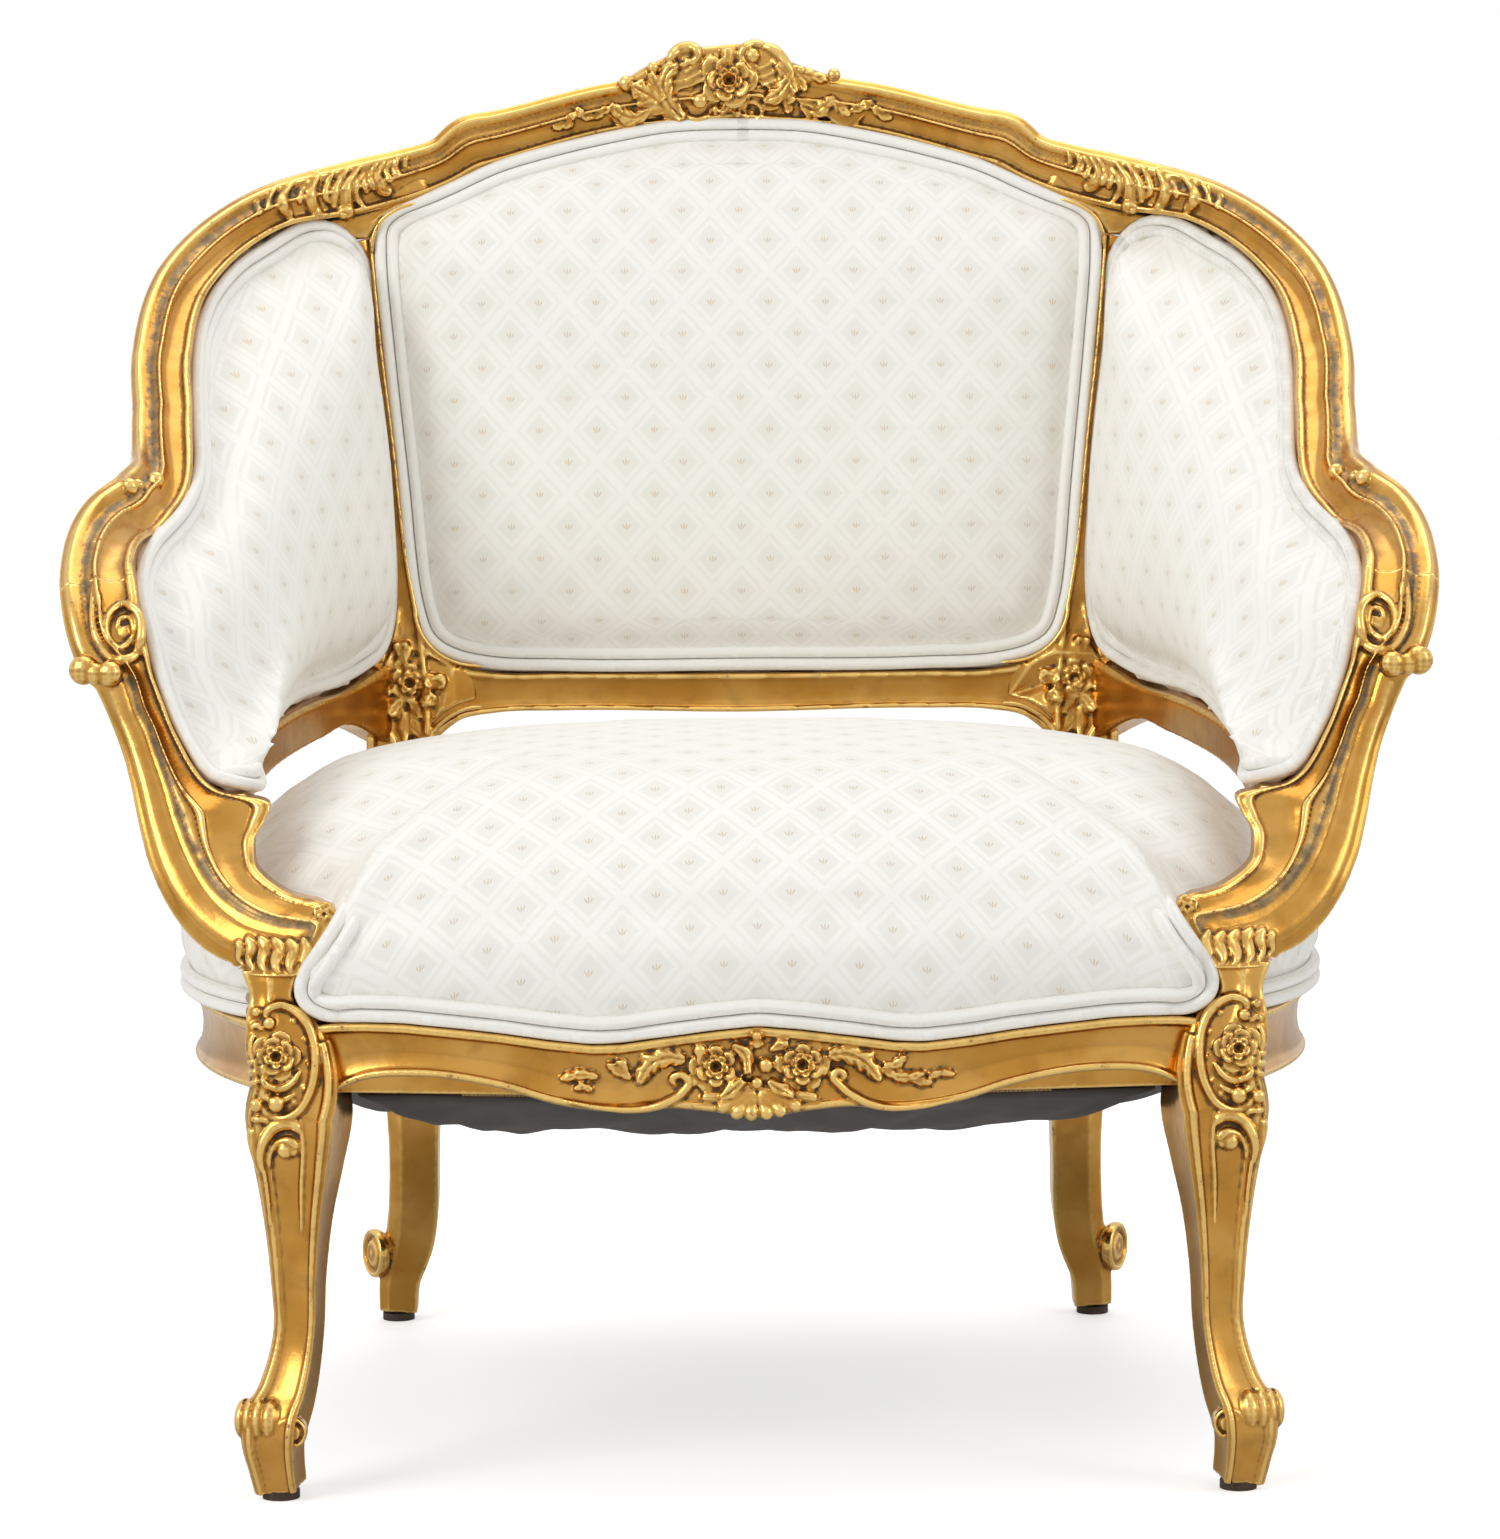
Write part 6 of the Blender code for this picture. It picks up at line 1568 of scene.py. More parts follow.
CLOTH_VOXEL = 0.0055
SEAT_TOP = 0.4858 * HEIGHT
SEAT_SWELL = 0.030
SEAT_INSET = 0.008
SEAT_MIDDLE = np.array((0, -0.03 * DEPTH + SHIFT, 0))
DOME_ROUND = 2.5
DOME_EDGE = 3.16
PAD_LEDGE = 0.004
PAD_RIM = 0.012
PAD_OUTSET = 0.0015
SIDE_OUTSET = 0.0052
LEDGE_WIDE = 0.0205
BACK_CROWN = 0.036
SIDE_CROWN = 0.040
CORD_RADIUS = 0.0041

# How much lower a shape starts than its crown, and how far the cloth may then swell it
PAD_PUFF = 0.004
PAD_CAP = 0.008
SEAT_PUFF = 0.004
SEAT_CAP = 0.010
RIM_HELD = 0.022
RIM_FREE = 0.050
CLOTH_MOMENTS = 20

# Pad: the roll under its piping
ROLL_RADIUS = 0.0065
ROLL_INSET = 0.003
ROLL_SUNK = 0.002

# Cushion: height over its foot and share of the way out, up the wall
SEAT_WALL = ((0.0, 0.0), (0.017, 0.0), (0.022, 0.55))

# Distances of the two cords from the edge that they follow
PAD_CORDS = (CORD_RADIUS + 0.0008, CORD_RADIUS * 3 + 0.0010)
SEAT_CORDS = (CORD_RADIUS + 0.0006, CORD_RADIUS * 3 + 0.0008)
FRONT_CORDS = (CORD_RADIUS + 0.0004, CORD_RADIUS * 3 + 0.0006)
SEAT_CORD_GAP = 0.0004

# Front welt: half its length along the rail, how close it comes to the front, and its turned ends
FRONT_WELT_HALF = 0.236
FRONT_WELT_LIMIT = -0.284
FRONT_WELT_STEP = 0.003
FRONT_WELT_SUNK = 0.55
FRONT_WELT_END = 0.012
FRONT_WELT_TUCK = 0.010

# Outside covers and dust cover
HESSIAN_THICK = 0.002
COVER_THICK = 0.0022
COVER_SAG = 0.0015
DUST_INSET = 0.034
DUST_THICK = 0.0016
DUST_WRINKLE = 0.0022

# Side pads' piping: how far it reaches under the frame, ahead of the stile and up by the crest
PIPING_AHEAD = 0.215
PIPING_ABOVE = 0.735


def closed_loop(rows, count):
    """The smooth closed curve through the rows, as points at equal steps."""
    wrapped = np.vstack([rows[-3:], rows, rows[:4]])
    at = curve(wrapped)
    fine = at(np.linspace(3, 3 + len(rows), 30 * len(rows)))[:, :3]
    along = np.concatenate([[0], np.cumsum(np.linalg.norm(np.diff(fine, axis=0), axis=1))])
    marks = np.arange(count) * along[-1] / count
    return np.column_stack([np.interp(marks, along, fine[:, axis]) for axis in range(3)])


def whole_loop(shares, scale, count):
    """A closed loop from its left half, given as shares of the scale."""
    left = np.array(shares, dtype=float)
    if left.shape[1] == 2:
        left = np.column_stack([left, np.zeros(len(left))])
    left = left * scale
    left[:, 1] += SHIFT
    right = left[-2:0:-1] * (-1, 1, 1)
    return closed_loop(np.vstack([left, right]), count)


def inset(loop, normal, distance, ease=0):
    """Moves a closed loop towards its inside."""
    inward = np.cross(np.array(normal), directions(loop, True))
    if np.sum(inward * (np.mean(loop, axis=0) - loop)) < 0:
        inward = -inward
    return softened(loop + unit(softened(inward, ease, True)) * distance, ease, True)


def dome_height(share):
    return max(0.0, 1 - share ** DOME_ROUND) ** (1 / DOME_EDGE)


def pad_form(edge, normal, crown):
    """A closed pad: a ledge for the piping round a crowned middle."""
    outer = inset(edge, normal, -PAD_OUTSET)
    inner = inset(edge, normal, LEDGE_WIDE, 6)
    middle = np.mean(inner, axis=0)
    reach = inner - middle
    own = (reach @ normal)[:, None] * normal
    shares = np.concatenate([[1.0, 0.995, 0.985, 0.97], np.linspace(0.95, 0.03, 28)])
    rings = []
    back_middle = np.mean(outer, axis=0)
    back = outer - back_middle
    for share in (0.05, 0.35, 0.7, 0.95, 1.0):
        rings.append(back_middle + back * share + normal * (PAD_LEDGE - PAD_RIM))
    rings.append(outer + normal * PAD_LEDGE)
    for share in shares:
        rise = PAD_LEDGE + crown * dome_height(share)
        rings.append(middle + (reach - own) * share + own * share ** 2 + normal * rise)
    tube = inset(edge, normal, LEDGE_WIDE - ROLL_INSET, 6)
    along = directions(tube, True)
    across = unit(np.cross(along, normal))
    bulges = []
    for turn in np.linspace(0, 2 * math.pi, 13)[:-1]:
        way = across * math.cos(turn) + normal * math.sin(turn)
        bulges.append(tube + normal * (PAD_LEDGE - ROLL_SUNK) + way * ROLL_RADIUS)
    under = loft(np.array(bulges).transpose(1, 0, 2), True)
    return [loft(rings), under]


def seat_loop(count=260):
    return whole_loop(SEAT_PLAN_SHARES, (HALF, DEPTH, 1), count)


def level_ring(loop, share, level):
    """The seat's loop drawn in towards its middle, at one level or at one level for each point."""
    ring = SEAT_MIDDLE + (loop - SEAT_MIDDLE) * share
    ring[:, 2] = level
    return ring


def seat_form(crown_less):
    """The cushion from its sunk foot over the swollen wall to the top of the dome."""
    loop = seat_loop()
    base = SEAT_LINE + GAP
    swell = SEAT_LINE + SEAT_SWELL
    crown = SEAT_TOP - swell - crown_less
    skirt = inset(loop, UP, SEAT_INSET, 2)
    rings = [level_ring(skirt, share, base) for share in (0.1, 0.5, 0.9)]
    wall = [(base + height, share) for height, share in SEAT_WALL]
    for level, share in wall + [(swell - 0.003, 0.95)]:
        ring = skirt + (loop - skirt) * share
        ring[:, 2] = level
        rings.append(ring)
    for share in np.concatenate([[1.0, 0.998, 0.993, 0.985, 0.97], np.linspace(0.95, 0.03, 30)]):
        rings.append(level_ring(loop, share, swell + crown * dome_height(share)))
    rings = np.array(rings)
    rings[:, :, 2] += wave_on_seat(rings)
    clear_of_arms(rings)
    return [loft(rings)]


def clear_of_arms(rings):
    """Draws the cushion's front corners in along the welt beside the feet of the arms."""
    places, heights = (np.array(WELT_CORNER[::-1]) / 1000).T
    heights = np.append(heights, (0.365, 0.400))
    limit = np.interp(rings[..., 2], heights, np.append(-places, (0.236, 0.225)))
    x = rings[..., 0]
    front = np.clip((-0.222 - rings[..., 1]) / 0.025, 0, 1)
    over = np.maximum(np.abs(x) - limit, 0) * front * front * (3 - 2 * front)
    rings[..., 0] = x - np.sign(x) * over


def wave_on_seat(points):
    """How far the front rail's wave lifts the cushion's lower front."""
    front = np.clip((-0.245 - points[..., 1]) / 0.03, 0, 1)
    low = np.clip((SEAT_LINE + 0.06 - points[..., 2]) / 0.05, 0, 1)
    return (front_line(points[..., 0]) - SEAT_LINE) * front * low


def puffed(name, shells, cap, freedom):
    """A pad blown up as cloth; freedom is 0 where a point stays and 1 where it may move by cap."""
    piece = fused(name, shells, CLOTH_VOXEL)
    start = coordinates(piece.data)
    mean = neighbour_mean(piece.data)
    for _ in range(3):
        start += 0.5 * (mean(start) - start)
    piece.data.vertices.foreach_set("co", start.astype(np.float32).ravel())
    free = freedom(start)
    held = piece.vertex_groups.new(name="held")
    for level in range(6):
        kept = np.nonzero((free >= level / 5 - 0.1) & (free < level / 5 + 0.1))[0]
        held.add([int(index) for index in kept], 1 - level / 5, 'REPLACE')
    cloth = piece.modifiers.new("cloth", 'CLOTH')
    cloth.settings.quality = 4
    cloth.settings.mass = 0.3
    cloth.settings.tension_stiffness = 12
    cloth.settings.compression_stiffness = 6
    cloth.settings.bending_stiffness = 0.6
    cloth.settings.use_pressure = True
    cloth.settings.uniform_pressure_force = 4
    cloth.settings.effector_weights.gravity = 0
    cloth.settings.vertex_group_mass = "held"
    cloth.collision_settings.use_collision = False
    scene = bpy.context.scene
    for moment in range(1, CLOTH_MOMENTS + 1):
        scene.frame_set(moment)
    graph = bpy.context.evaluated_depsgraph_get()
    blown = bpy.data.meshes.new_from_object(piece.evaluated_get(graph))
    moved = coordinates(blown) - start
    bpy.data.meshes.remove(blown)
    piece.modifiers.clear()
    piece.vertex_groups.clear()
    scene.frame_set(1)
    far = np.linalg.norm(moved, axis=1)
    limit = cap * free
    moved *= (limit / np.maximum(far, 1e-9)).clip(max=1)[:, None]
    for _ in range(2):
        moved += 0.5 * (mean(moved) - moved)
    start = start + moved
    piece.data.vertices.foreach_set("co", start.astype(np.float32).ravel())
    piece.data.update()
    finer = piece.modifiers.new("finer", 'SUBSURF')
    finer.levels = 1
    finer.render_levels = 1
    apply_modifiers(piece)
    piece.data.shade_smooth()
    return piece


def lay_cloth(piece, loop, along, up, crown, base):
    """Cloth places in metres: flat ones, and past them the length that the crown and walls add."""
    along = unit(np.array(along, dtype=float))
    up = unit(np.array(up, dtype=float))
    face = np.cross(along, up)
    middle = np.mean(loop, axis=0)
    flat_loop = np.column_stack([(loop - middle) @ along, (loop - middle) @ up])
    outward = -np.column_stack([
        np.roll(flat_loop[:, 1], 1) - np.roll(flat_loop[:, 1], -1),
        np.roll(flat_loop[:, 0], -1) - np.roll(flat_loop[:, 0], 1),
    ])
    if np.sum(outward * flat_loop) < 0:
        outward = -outward
    outward = unit(softened(unit(outward), 60, True))
    turns = np.arctan2(flat_loop[:, 1], flat_loop[:, 0])
    order = np.argsort(turns)
    turns = turns[order]

    def round_loop(values, angles):
        return np.interp(angles, turns, values[order], period=2 * math.pi)

    points = coordinates(piece.data) - middle
    a = points @ along
    b = points @ up
    c = points @ face
    angles = np.arctan2(b, a)
    reach = round_loop(np.linalg.norm(flat_loop, axis=1), angles)
    share = np.hypot(a, b) / reach
    level = np.clip((c - base) / crown, 0, 1)
    by_height = (1 - level ** DOME_EDGE) ** (1 / DOME_ROUND)
    trust = np.clip((share - 0.80) / 0.12, 0, 1)
    share = share * (1 - trust) + np.maximum(by_height, 0.80) * trust
    steps = np.linspace(0, 1, 80)
    heights = np.array([dome_height(step) for step in steps]) * crown
    rises = np.abs(np.diff(heights))
    spare = np.zeros(len(a))
    for start, rise in zip(steps[:-1], rises):
        passed = np.clip((share - start) / (steps[1] - steps[0]), 0, 1)
        flat = reach * (steps[1] - steps[0])
        spare += (np.hypot(flat, rise) - flat) * passed
    spare += np.clip(base - c, 0, None) * (share > 0.9)
    out_a = round_loop(outward[:, 0], angles)
    out_b = round_loop(outward[:, 1], angles)
    store_cloth(piece, np.column_stack([a + out_a * spare, b + out_b * spare]))
    return piece


def unrolled(points, guide, axis, centre, first, second):
    """How far each point lies along the skin, in slices across the axis, seen from the centre."""
    slices, columns = 40, 110
    rays = points - centre
    angle = np.arctan2(rays @ second, rays @ first)
    radius = np.hypot(rays @ first, rays @ second)
    level = points @ axis
    low, high = level[guide].min(), level[guide].max()
    start, stop = angle[guide].min(), angle[guide].max()
    row = np.clip((level - low) / (high - low), 0, 1) * (slices - 1.001)
    column = np.clip((angle - start) / (stop - start), 0, 1) * (columns - 1.001)
    corners = []
    for down in (0, 1):
        for over in (0, 1):
            cell = (row.astype(int) + down) * columns + column.astype(int) + over
            weight = np.abs(1 - down - row % 1) * np.abs(1 - over - column % 1)
            corners.append((cell, weight))
    total = slices * columns
    sums = np.zeros(total)
    weights = np.zeros(total)
    for cell, weight in corners:
        sums += np.bincount(cell[guide], (weight * radius)[guide], total)
        weights += np.bincount(cell[guide], weight[guide], total)
    found = (sums / np.maximum(weights, 1e-9)).reshape(slices, columns)
    known = (weights > 1e-6).reshape(slices, columns)
    for index in range(slices):
        if known[index].sum() > 1:
            places = np.nonzero(known[index])[0]
            found[index] = np.interp(np.arange(columns), places, found[index, places])
        elif index:
            found[index] = found[index - 1]
    turns = np.linspace(start, stop, columns)
    spots = found[:, :, None] * np.column_stack([np.cos(turns), np.sin(turns)])
    spots = softened(softened(spots, 3).transpose(1, 0, 2), 2).transpose(1, 0, 2)
    strides = np.linalg.norm(np.diff(spots, axis=1), axis=2)
    run = np.concatenate([np.zeros((slices, 1)), np.cumsum(strides, axis=1)], axis=1)
    run -= run[:, [int(np.interp(0, (start, stop), (0, columns - 1)))]]
    return sum(run.ravel()[cell] * weight for cell, weight in corners)


def hang_cloth(piece, edge, normal):
    """Cloth on a side pad: plumb columns, with their spacing kept round the pad's swell."""
    points = coordinates(piece.data)
    side = 1 if normal[0] > 0 else -1
    guide = (points - np.mean(edge, axis=0)) @ normal > PAD_LEDGE - 0.002
    guide &= outward_normals(piece.data) @ normal > -0.2
    centre = np.array((0.10 * side, -0.75, 0))
    middle = np.mean(edge, axis=0) - centre
    first = unit(middle * (1, 1, 0))
    second = np.cross(UP, first)
    across = unrolled(points, guide, UP, centre, first, second)
    store_cloth(piece, np.column_stack([across * side, points[:, 2]]))


def drape_cloth(piece):
    """Cloth on the seat: columns from rear to front, over the front edge and down the wall."""
    points = coordinates(piece.data)
    normals = outward_normals(piece.data)
    guide = normals[:, 2] > -0.3
    centre = SEAT_MIDDLE + UP * (SEAT_LINE + 0.012)
    back = unrolled(points, guide, np.array((1.0, 0, 0)), centre, UP, np.array((0, 1.0, 0)))
    level = SEAT_LINE + SEAT_SWELL + 0.02
    beside = np.clip((np.abs(normals[:, 0]) - np.abs(normals[:, 1]) - 0.1) / 0.3, 0, 1)
    beside *= np.clip((0.85 - normals[:, 2]) / 0.3, 0, 1)
    drop = np.clip(level - points[:, 2], 0, None) * np.sign(points[:, 0])
    places = np.column_stack([
        points[:, 0] + drop * beside, back * (1 - beside) + (points[:, 1] - centre[1]) * beside
    ])
    store_cloth(piece, places)


def store_cloth(piece, places):
    """Writes one place on the cloth for each vertex into the piece's map."""
    data = piece.data
    corners = np.empty(len(data.loops), np.int32)
    data.loops.foreach_get("vertex_index", corners)
    layer = data.uv_layers.new(name="cloth")
    layer.data.foreach_set("uv", places[corners].astype(np.float32).ravel())


def rim_freedom(edge, normal):
    """Still near the pad's edge and behind it, free towards its middle."""
    middle = np.mean(edge, axis=0)

    def freedom(points):
        near = np.full(len(points), np.inf)
        for place in edge[::4]:
            flat = points - place
            flat = flat - (flat @ normal)[:, None] * normal
            near = np.minimum(near, np.linalg.norm(flat, axis=1))
        share = np.clip((near - RIM_HELD) / (RIM_FREE - RIM_HELD), 0, 1)
        ahead = (points - middle) @ normal > PAD_LEDGE + 0.001
        return share * share * (3 - 2 * share) * ahead

    return freedom


def make_pads():
    normal = unit(np.array(BACK_NORMAL))
    edge = whole_loop(BACK_EDGE_SHARES, (HALF, DEPTH, HEIGHT), 200)
    pads = [("back", edge, normal, BACK_CROWN, (1, 0, 0))]
    side_edge = np.array(SIDE_EDGE_SHARES) * (HALF, DEPTH, HEIGHT)
    side_edge[:, 1] += SHIFT
    side_edge = closed_loop(side_edge, 170)
    for label, side in SIDES:
        outward = unit(np.array(SIDE_NORMAL) * (side, 1, 1))
        along = unit(np.cross(UP, outward))
        pads.append((f"side_{label}", side_edge * (side, 1, 1), outward, SIDE_CROWN, along))
    for stem, edge, normal, crown, along in pads:
        freedom = rim_freedom(edge, normal)
        form = pad_form(edge, normal, crown - PAD_PUFF)
        pad = puffed(f"{stem}_cushion", form, PAD_CAP, freedom)
        up = np.cross(normal, along)
        if stem == "back":
            lay_cloth(pad, inset(edge, normal, LEDGE_WIDE, 6), along, up, crown, PAD_LEDGE)
        else:
            hang_cloth(pad, edge, normal)
        settle(pad, JACQUARD, "damask", f"{stem}_pad", f"{stem}_hessian")
        make_edge_piping(stem, edge, normal)
        make_outside_cover(stem, edge, normal, along, up)


def pad_outset(stem, edge):
    """How far the side pads' piping reaches out under the frame, but not beside the stile."""
    if stem == "back":
        return np.zeros((len(edge), 1))
    ahead = np.clip((PIPING_AHEAD - edge[:, 1]) / 0.03, 0, 1)
    above = np.clip((edge[:, 2] - PIPING_ABOVE) / 0.02, 0, 1)
    return softened(np.maximum(ahead, above)[:, None] * SIDE_OUTSET, 8, True)


def make_edge_piping(stem, edge, normal):
    """Two cords side by side round the pad."""
    runs = []
    shift = pad_outset(stem, edge) * (-np.sign(normal[0]), -0.6, 0)
    for distance in PAD_CORDS:
        path = inset(edge, normal, distance, 1) + normal * (PAD_LEDGE + CORD_RADIUS) + shift
        runs.append((path, True))
    welt = cords(f"{stem}_welt", runs)
    settle(welt, JACQUARD, "damask", f"{stem}_piping")


def make_outside_cover(stem, edge, normal, along, up):
    """The cloth that closes the pad's back, tacked round its edge."""
    top = PAD_LEDGE - PAD_RIM - GAP - HESSIAN_THICK - GAP
    outer = inset(edge, normal, -PAD_OUTSET)
    middle = np.mean(outer, axis=0)
    reach = outer - middle
    own = (reach @ normal)[:, None] * normal
    rings = []
    shares = np.concatenate([np.linspace(0.04, 0.9, 12), [0.96, 1.0]])
    for thick, order in ((0.0, shares), (COVER_THICK, shares[::-1])):
        for share in order:
            sag = COVER_SAG * (1 - share ** 2)
            rings.append(middle + (reach - own) * share + own * share + normal * (top - thick - sag))
    cover = object_from(f"{stem}_outside_cloth", mesh_from([loft(rings)]))
    cover.data.shade_smooth()
    places = coordinates(cover.data) - middle
    store_cloth(cover, np.column_stack([places @ along, places @ up]))
    settle(cover, JACQUARD, "damask", f"outside_{stem}")
    wide = np.ptp(reach @ along)
    tall = np.ptp(reach @ up)
    face_area(cover) / 2


def face_area(piece):
    areas = np.empty(len(piece.data.polygons), np.float32)
    piece.data.polygons.foreach_get("area", areas)
    return float(areas.sum())


def length_kept(tree, curve_socket, label):
    """The curve with each point's place along it stored under the label."""
    length = tree.nodes.new('GeometryNodeSplineParameter')
    keep = tree.nodes.new('GeometryNodeStoreNamedAttribute')
    keep.data_type = 'FLOAT'
    keep.domain = 'POINT'
    keep.inputs["Name"].default_value = label
    tree.links.new(curve_socket, keep.inputs["Geometry"])
    tree.links.new(length.outputs["Length"], keep.inputs["Value"])
    return keep.outputs[0]


def cord_tree():
    """Cords along the paths: a round section with its length and turn stored as cloth places."""
    tree, source, result = growth_tree("cords_along_paths", ("Radius", 'Float'), ("Sides", 'Int'))
    paths = tree.nodes.new('GeometryNodeMeshToCurve')
    ring = tree.nodes.new('GeometryNodeCurvePrimitiveCircle')
    tube = tree.nodes.new('GeometryNodeCurveToMesh')
    tube.inputs["Fill Caps"].default_value = True
    tree.links.new(source.outputs["Geometry"], paths.inputs["Mesh"])
    tree.links.new(source.outputs["Sides"], ring.inputs["Resolution"])
    tree.links.new(source.outputs["Radius"], ring.inputs["Radius"])
    tree.links.new(length_kept(tree, paths.outputs[0], "run"), tube.inputs["Curve"])
    tree.links.new(length_kept(tree, ring.outputs[0], "turn"), tube.inputs["Profile Curve"])
    return end_tree(tree, tube.outputs[0], source, result)


def socket_id(tree, name):
    for item in tree.interface.items_tree:
        if item.name == name and item.in_out == 'INPUT':
            return item.identifier
    raise ValueError(name)


def grown(name, guide, tree, values):
    """The tree's result on the guide mesh, as a plain mesh."""
    piece = object_from(name, guide)
    step = piece.modifiers.new("growth", 'NODES')
    step.node_group = tree
    for label, value in values.items():
        step[socket_id(tree, label)] = value
    return apply_modifiers(piece)


def path_mesh(runs):
    """Paths as strings of edges; a run is its points and whether it is closed."""
    mesh = bmesh.new()
    for points, closed in runs:
        verts = [mesh.verts.new(point) for point in points]
        pairs = list(zip(verts, verts[1:]))
        if closed:
            pairs.append((verts[-1], verts[0]))
        for pair in pairs:
            mesh.edges.new(pair)
    return mesh


CORD_TREE = cord_tree()


def cords(name, runs, radius=CORD_RADIUS, sides=10):
    """Cloth-covered cords along the runs."""
    values = {"Radius": radius, "Sides": sides, "Finish": JACQUARD}
    piece = grown(name, path_mesh(runs), CORD_TREE, values)
    data = piece.data
    mesh = bmesh.new()
    mesh.from_mesh(data)
    bmesh.ops.recalc_face_normals(mesh, faces=mesh.faces)
    mesh.to_mesh(data)
    mesh.free()
    run = np.empty(len(data.vertices), np.float32)
    turn = np.empty(len(data.vertices), np.float32)
    data.attributes["run"].data.foreach_get("value", run)
    data.attributes["turn"].data.foreach_get("value", turn)
    bias = unit(np.array((MOTIF_WIDE, MOTIF_TALL)))
    across = np.array((-bias[1], bias[0]))
    strip = (turn - math.pi * radius)[:, None] * across + run[:, None] * bias
    store_cloth(piece, strip + (MOTIF_WIDE / 2, 0))
    data.shade_smooth()
    return piece


def make_seat():
    loop = seat_loop()

    def freedom(points):
        level = np.clip((points[:, 2] - SEAT_LINE - SEAT_SWELL - 0.004) / 0.03, 0, 1)
        return level * level * (3 - 2 * level)

    seat = puffed("seat_cushion", seat_form(SEAT_PUFF), SEAT_CAP, freedom)
    drape_cloth(seat)
    nodes = ("seat_cover", "seat_stuffing", "seat_hessian")
    settle(seat, JACQUARD, "damask", *nodes)
    skirt = inset(loop, UP, SEAT_INSET - CORD_RADIUS - SEAT_CORD_GAP, 2)
    x = skirt[:, 0] / HALF
    y = (skirt[:, 1] - SHIFT) / DEPTH
    beside = (y > -0.318) & (y < 0.320)
    stretches = {
        "rear": (y > 0.400) & (abs(x) < 0.450),
        "left": beside & (x < 0),
        "right": beside & (x > 0),
    }
    for stem, kept in stretches.items():
        start = next(i for i in range(len(kept)) if kept[i] and not kept[i - 1])
        run = np.roll(skirt, -start, axis=0)[np.roll(kept, -start)]
        runs = []
        for level in SEAT_CORDS:
            raised = run.copy()
            raised[:, 2] = SEAT_LINE + level
            runs.append((raised, False))
        settle(cords(f"seat_{stem}_welt", runs), JACQUARD, "damask", f"seat_piping_{stem}")
    make_front_welt(seat)


def make_front_welt(seat):
    """Two cords along the wavy rail, turning up beside the foot of each arm."""
    surface = Ground(seat.data, CUSHION_DEPTH)
    places = np.linspace(-FRONT_WELT_HALF, FRONT_WELT_HALF, 60)
    bottom = np.column_stack([places, front_line(places)])
    corner = np.array(WELT_CORNER) / 1000
    outline = np.vstack([corner, bottom, corner[::-1] * (-1, 1)])
    path = np.column_stack([outline[:, 0], np.zeros(len(outline)), outline[:, 1]])
    path = evenly(path, step=FRONT_WELT_STEP)
    inward = np.cross(FORWARD, directions(path))
    if inward[len(inward) // 2][2] < 0:
        inward = -inward
    runs = []
    for distance in FRONT_CORDS:
        run = path + softened(inward, 4) * distance
        depths = np.array([surface.depth(x, z) for x, _, z in run])
        run[:, 1] = softened(depths[:, None], 12)[:, 0] - CORD_RADIUS * FRONT_WELT_SUNK
        run[:, 1] = np.minimum(run[:, 1], FRONT_WELT_LIMIT)
        far = np.minimum(np.arange(len(run)), np.arange(len(run))[::-1]) * FRONT_WELT_STEP
        run[:, 1] += FRONT_WELT_TUCK * np.clip(1 - far / FRONT_WELT_END, 0, 1) ** 2
        runs.append((run, False))
    settle(cords("seat_front_welt", runs), JACQUARD, "damask", "seat_piping_front")


def make_dust_cover():
    """Dark cloth tacked under the seat; it hangs a little and is wrinkled."""
    loop = inset(seat_loop(160), UP, DUST_INSET, 4)
    low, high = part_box("dust_cover")
    top = high.z
    sag = high.z - low.z - 0.003
    rings = []
    shares = np.linspace(0.02, 1.0, 34)
    for layer, order in ((0.0, shares), (DUST_THICK, shares[::-1])):
        for share in order:
            x, y, _ = level_ring(loop, share, top).T
            folds = np.sin(x * 61 + np.sin(y * 23) * 1.7) * np.sin(y * 37 + x * 11)
            creases = np.sin(x * 147 + y * 95 + np.sin(x * 33)) * 0.4
            ripple = (folds + creases) * DUST_WRINKLE * min(1.0, (1 - share) * 8)
            level = top - layer - (sag - 0.004) * (1 - share ** 4) - ripple
            rings.append(level_ring(loop, share, level))
    cover = object_from("bottom_cloth", mesh_from([loft(rings)]))
    cover.data.shade_smooth()
    points = coordinates(cover.data)
    store_cloth(cover, points[:, :2])
    settle(cover, CAMBRIC, "cambric", "dust_cover")
    face_area(cover) / 2


# Show wood

def thin_out(piece, most):
    """Fewer triangles where a carved skin is plain."""
    number = sum(len(face.vertices) - 2 for face in piece.data.polygons)
    if number > most:
        step = piece.modifiers.new("thin", 'DECIMATE')
        step.ratio = most / number
        apply_modifiers(piece)


def carved(name, shells, node, voxel, most, worn=()):
    """A member with all that is carved on it, fused, smoothed, thinned to most triangles and gilded."""
    piece = fused(name, shells, voxel)
    more = (RELIEF_VOXEL / voxel) ** 2
    near, far = ((max(2, round(5 * more)), round(16 * more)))
    finish_skin(piece, near, far)
    mark_worn(piece, worn)
    thin_out(piece, most)
    settle(piece, GILDING, "gilt", node)


FINE_VOXEL = 0.00085
PLAIN_VOXEL = 0.0016
POST_VOXEL = 0.0012
RELIEF_VOXEL = 0.0011

# How far the worn line reaches on either side, and how bare it is
CREST_WEAR = (0.0025, 0.55)
SIDE_WEAR = (0.0038, 0.9)


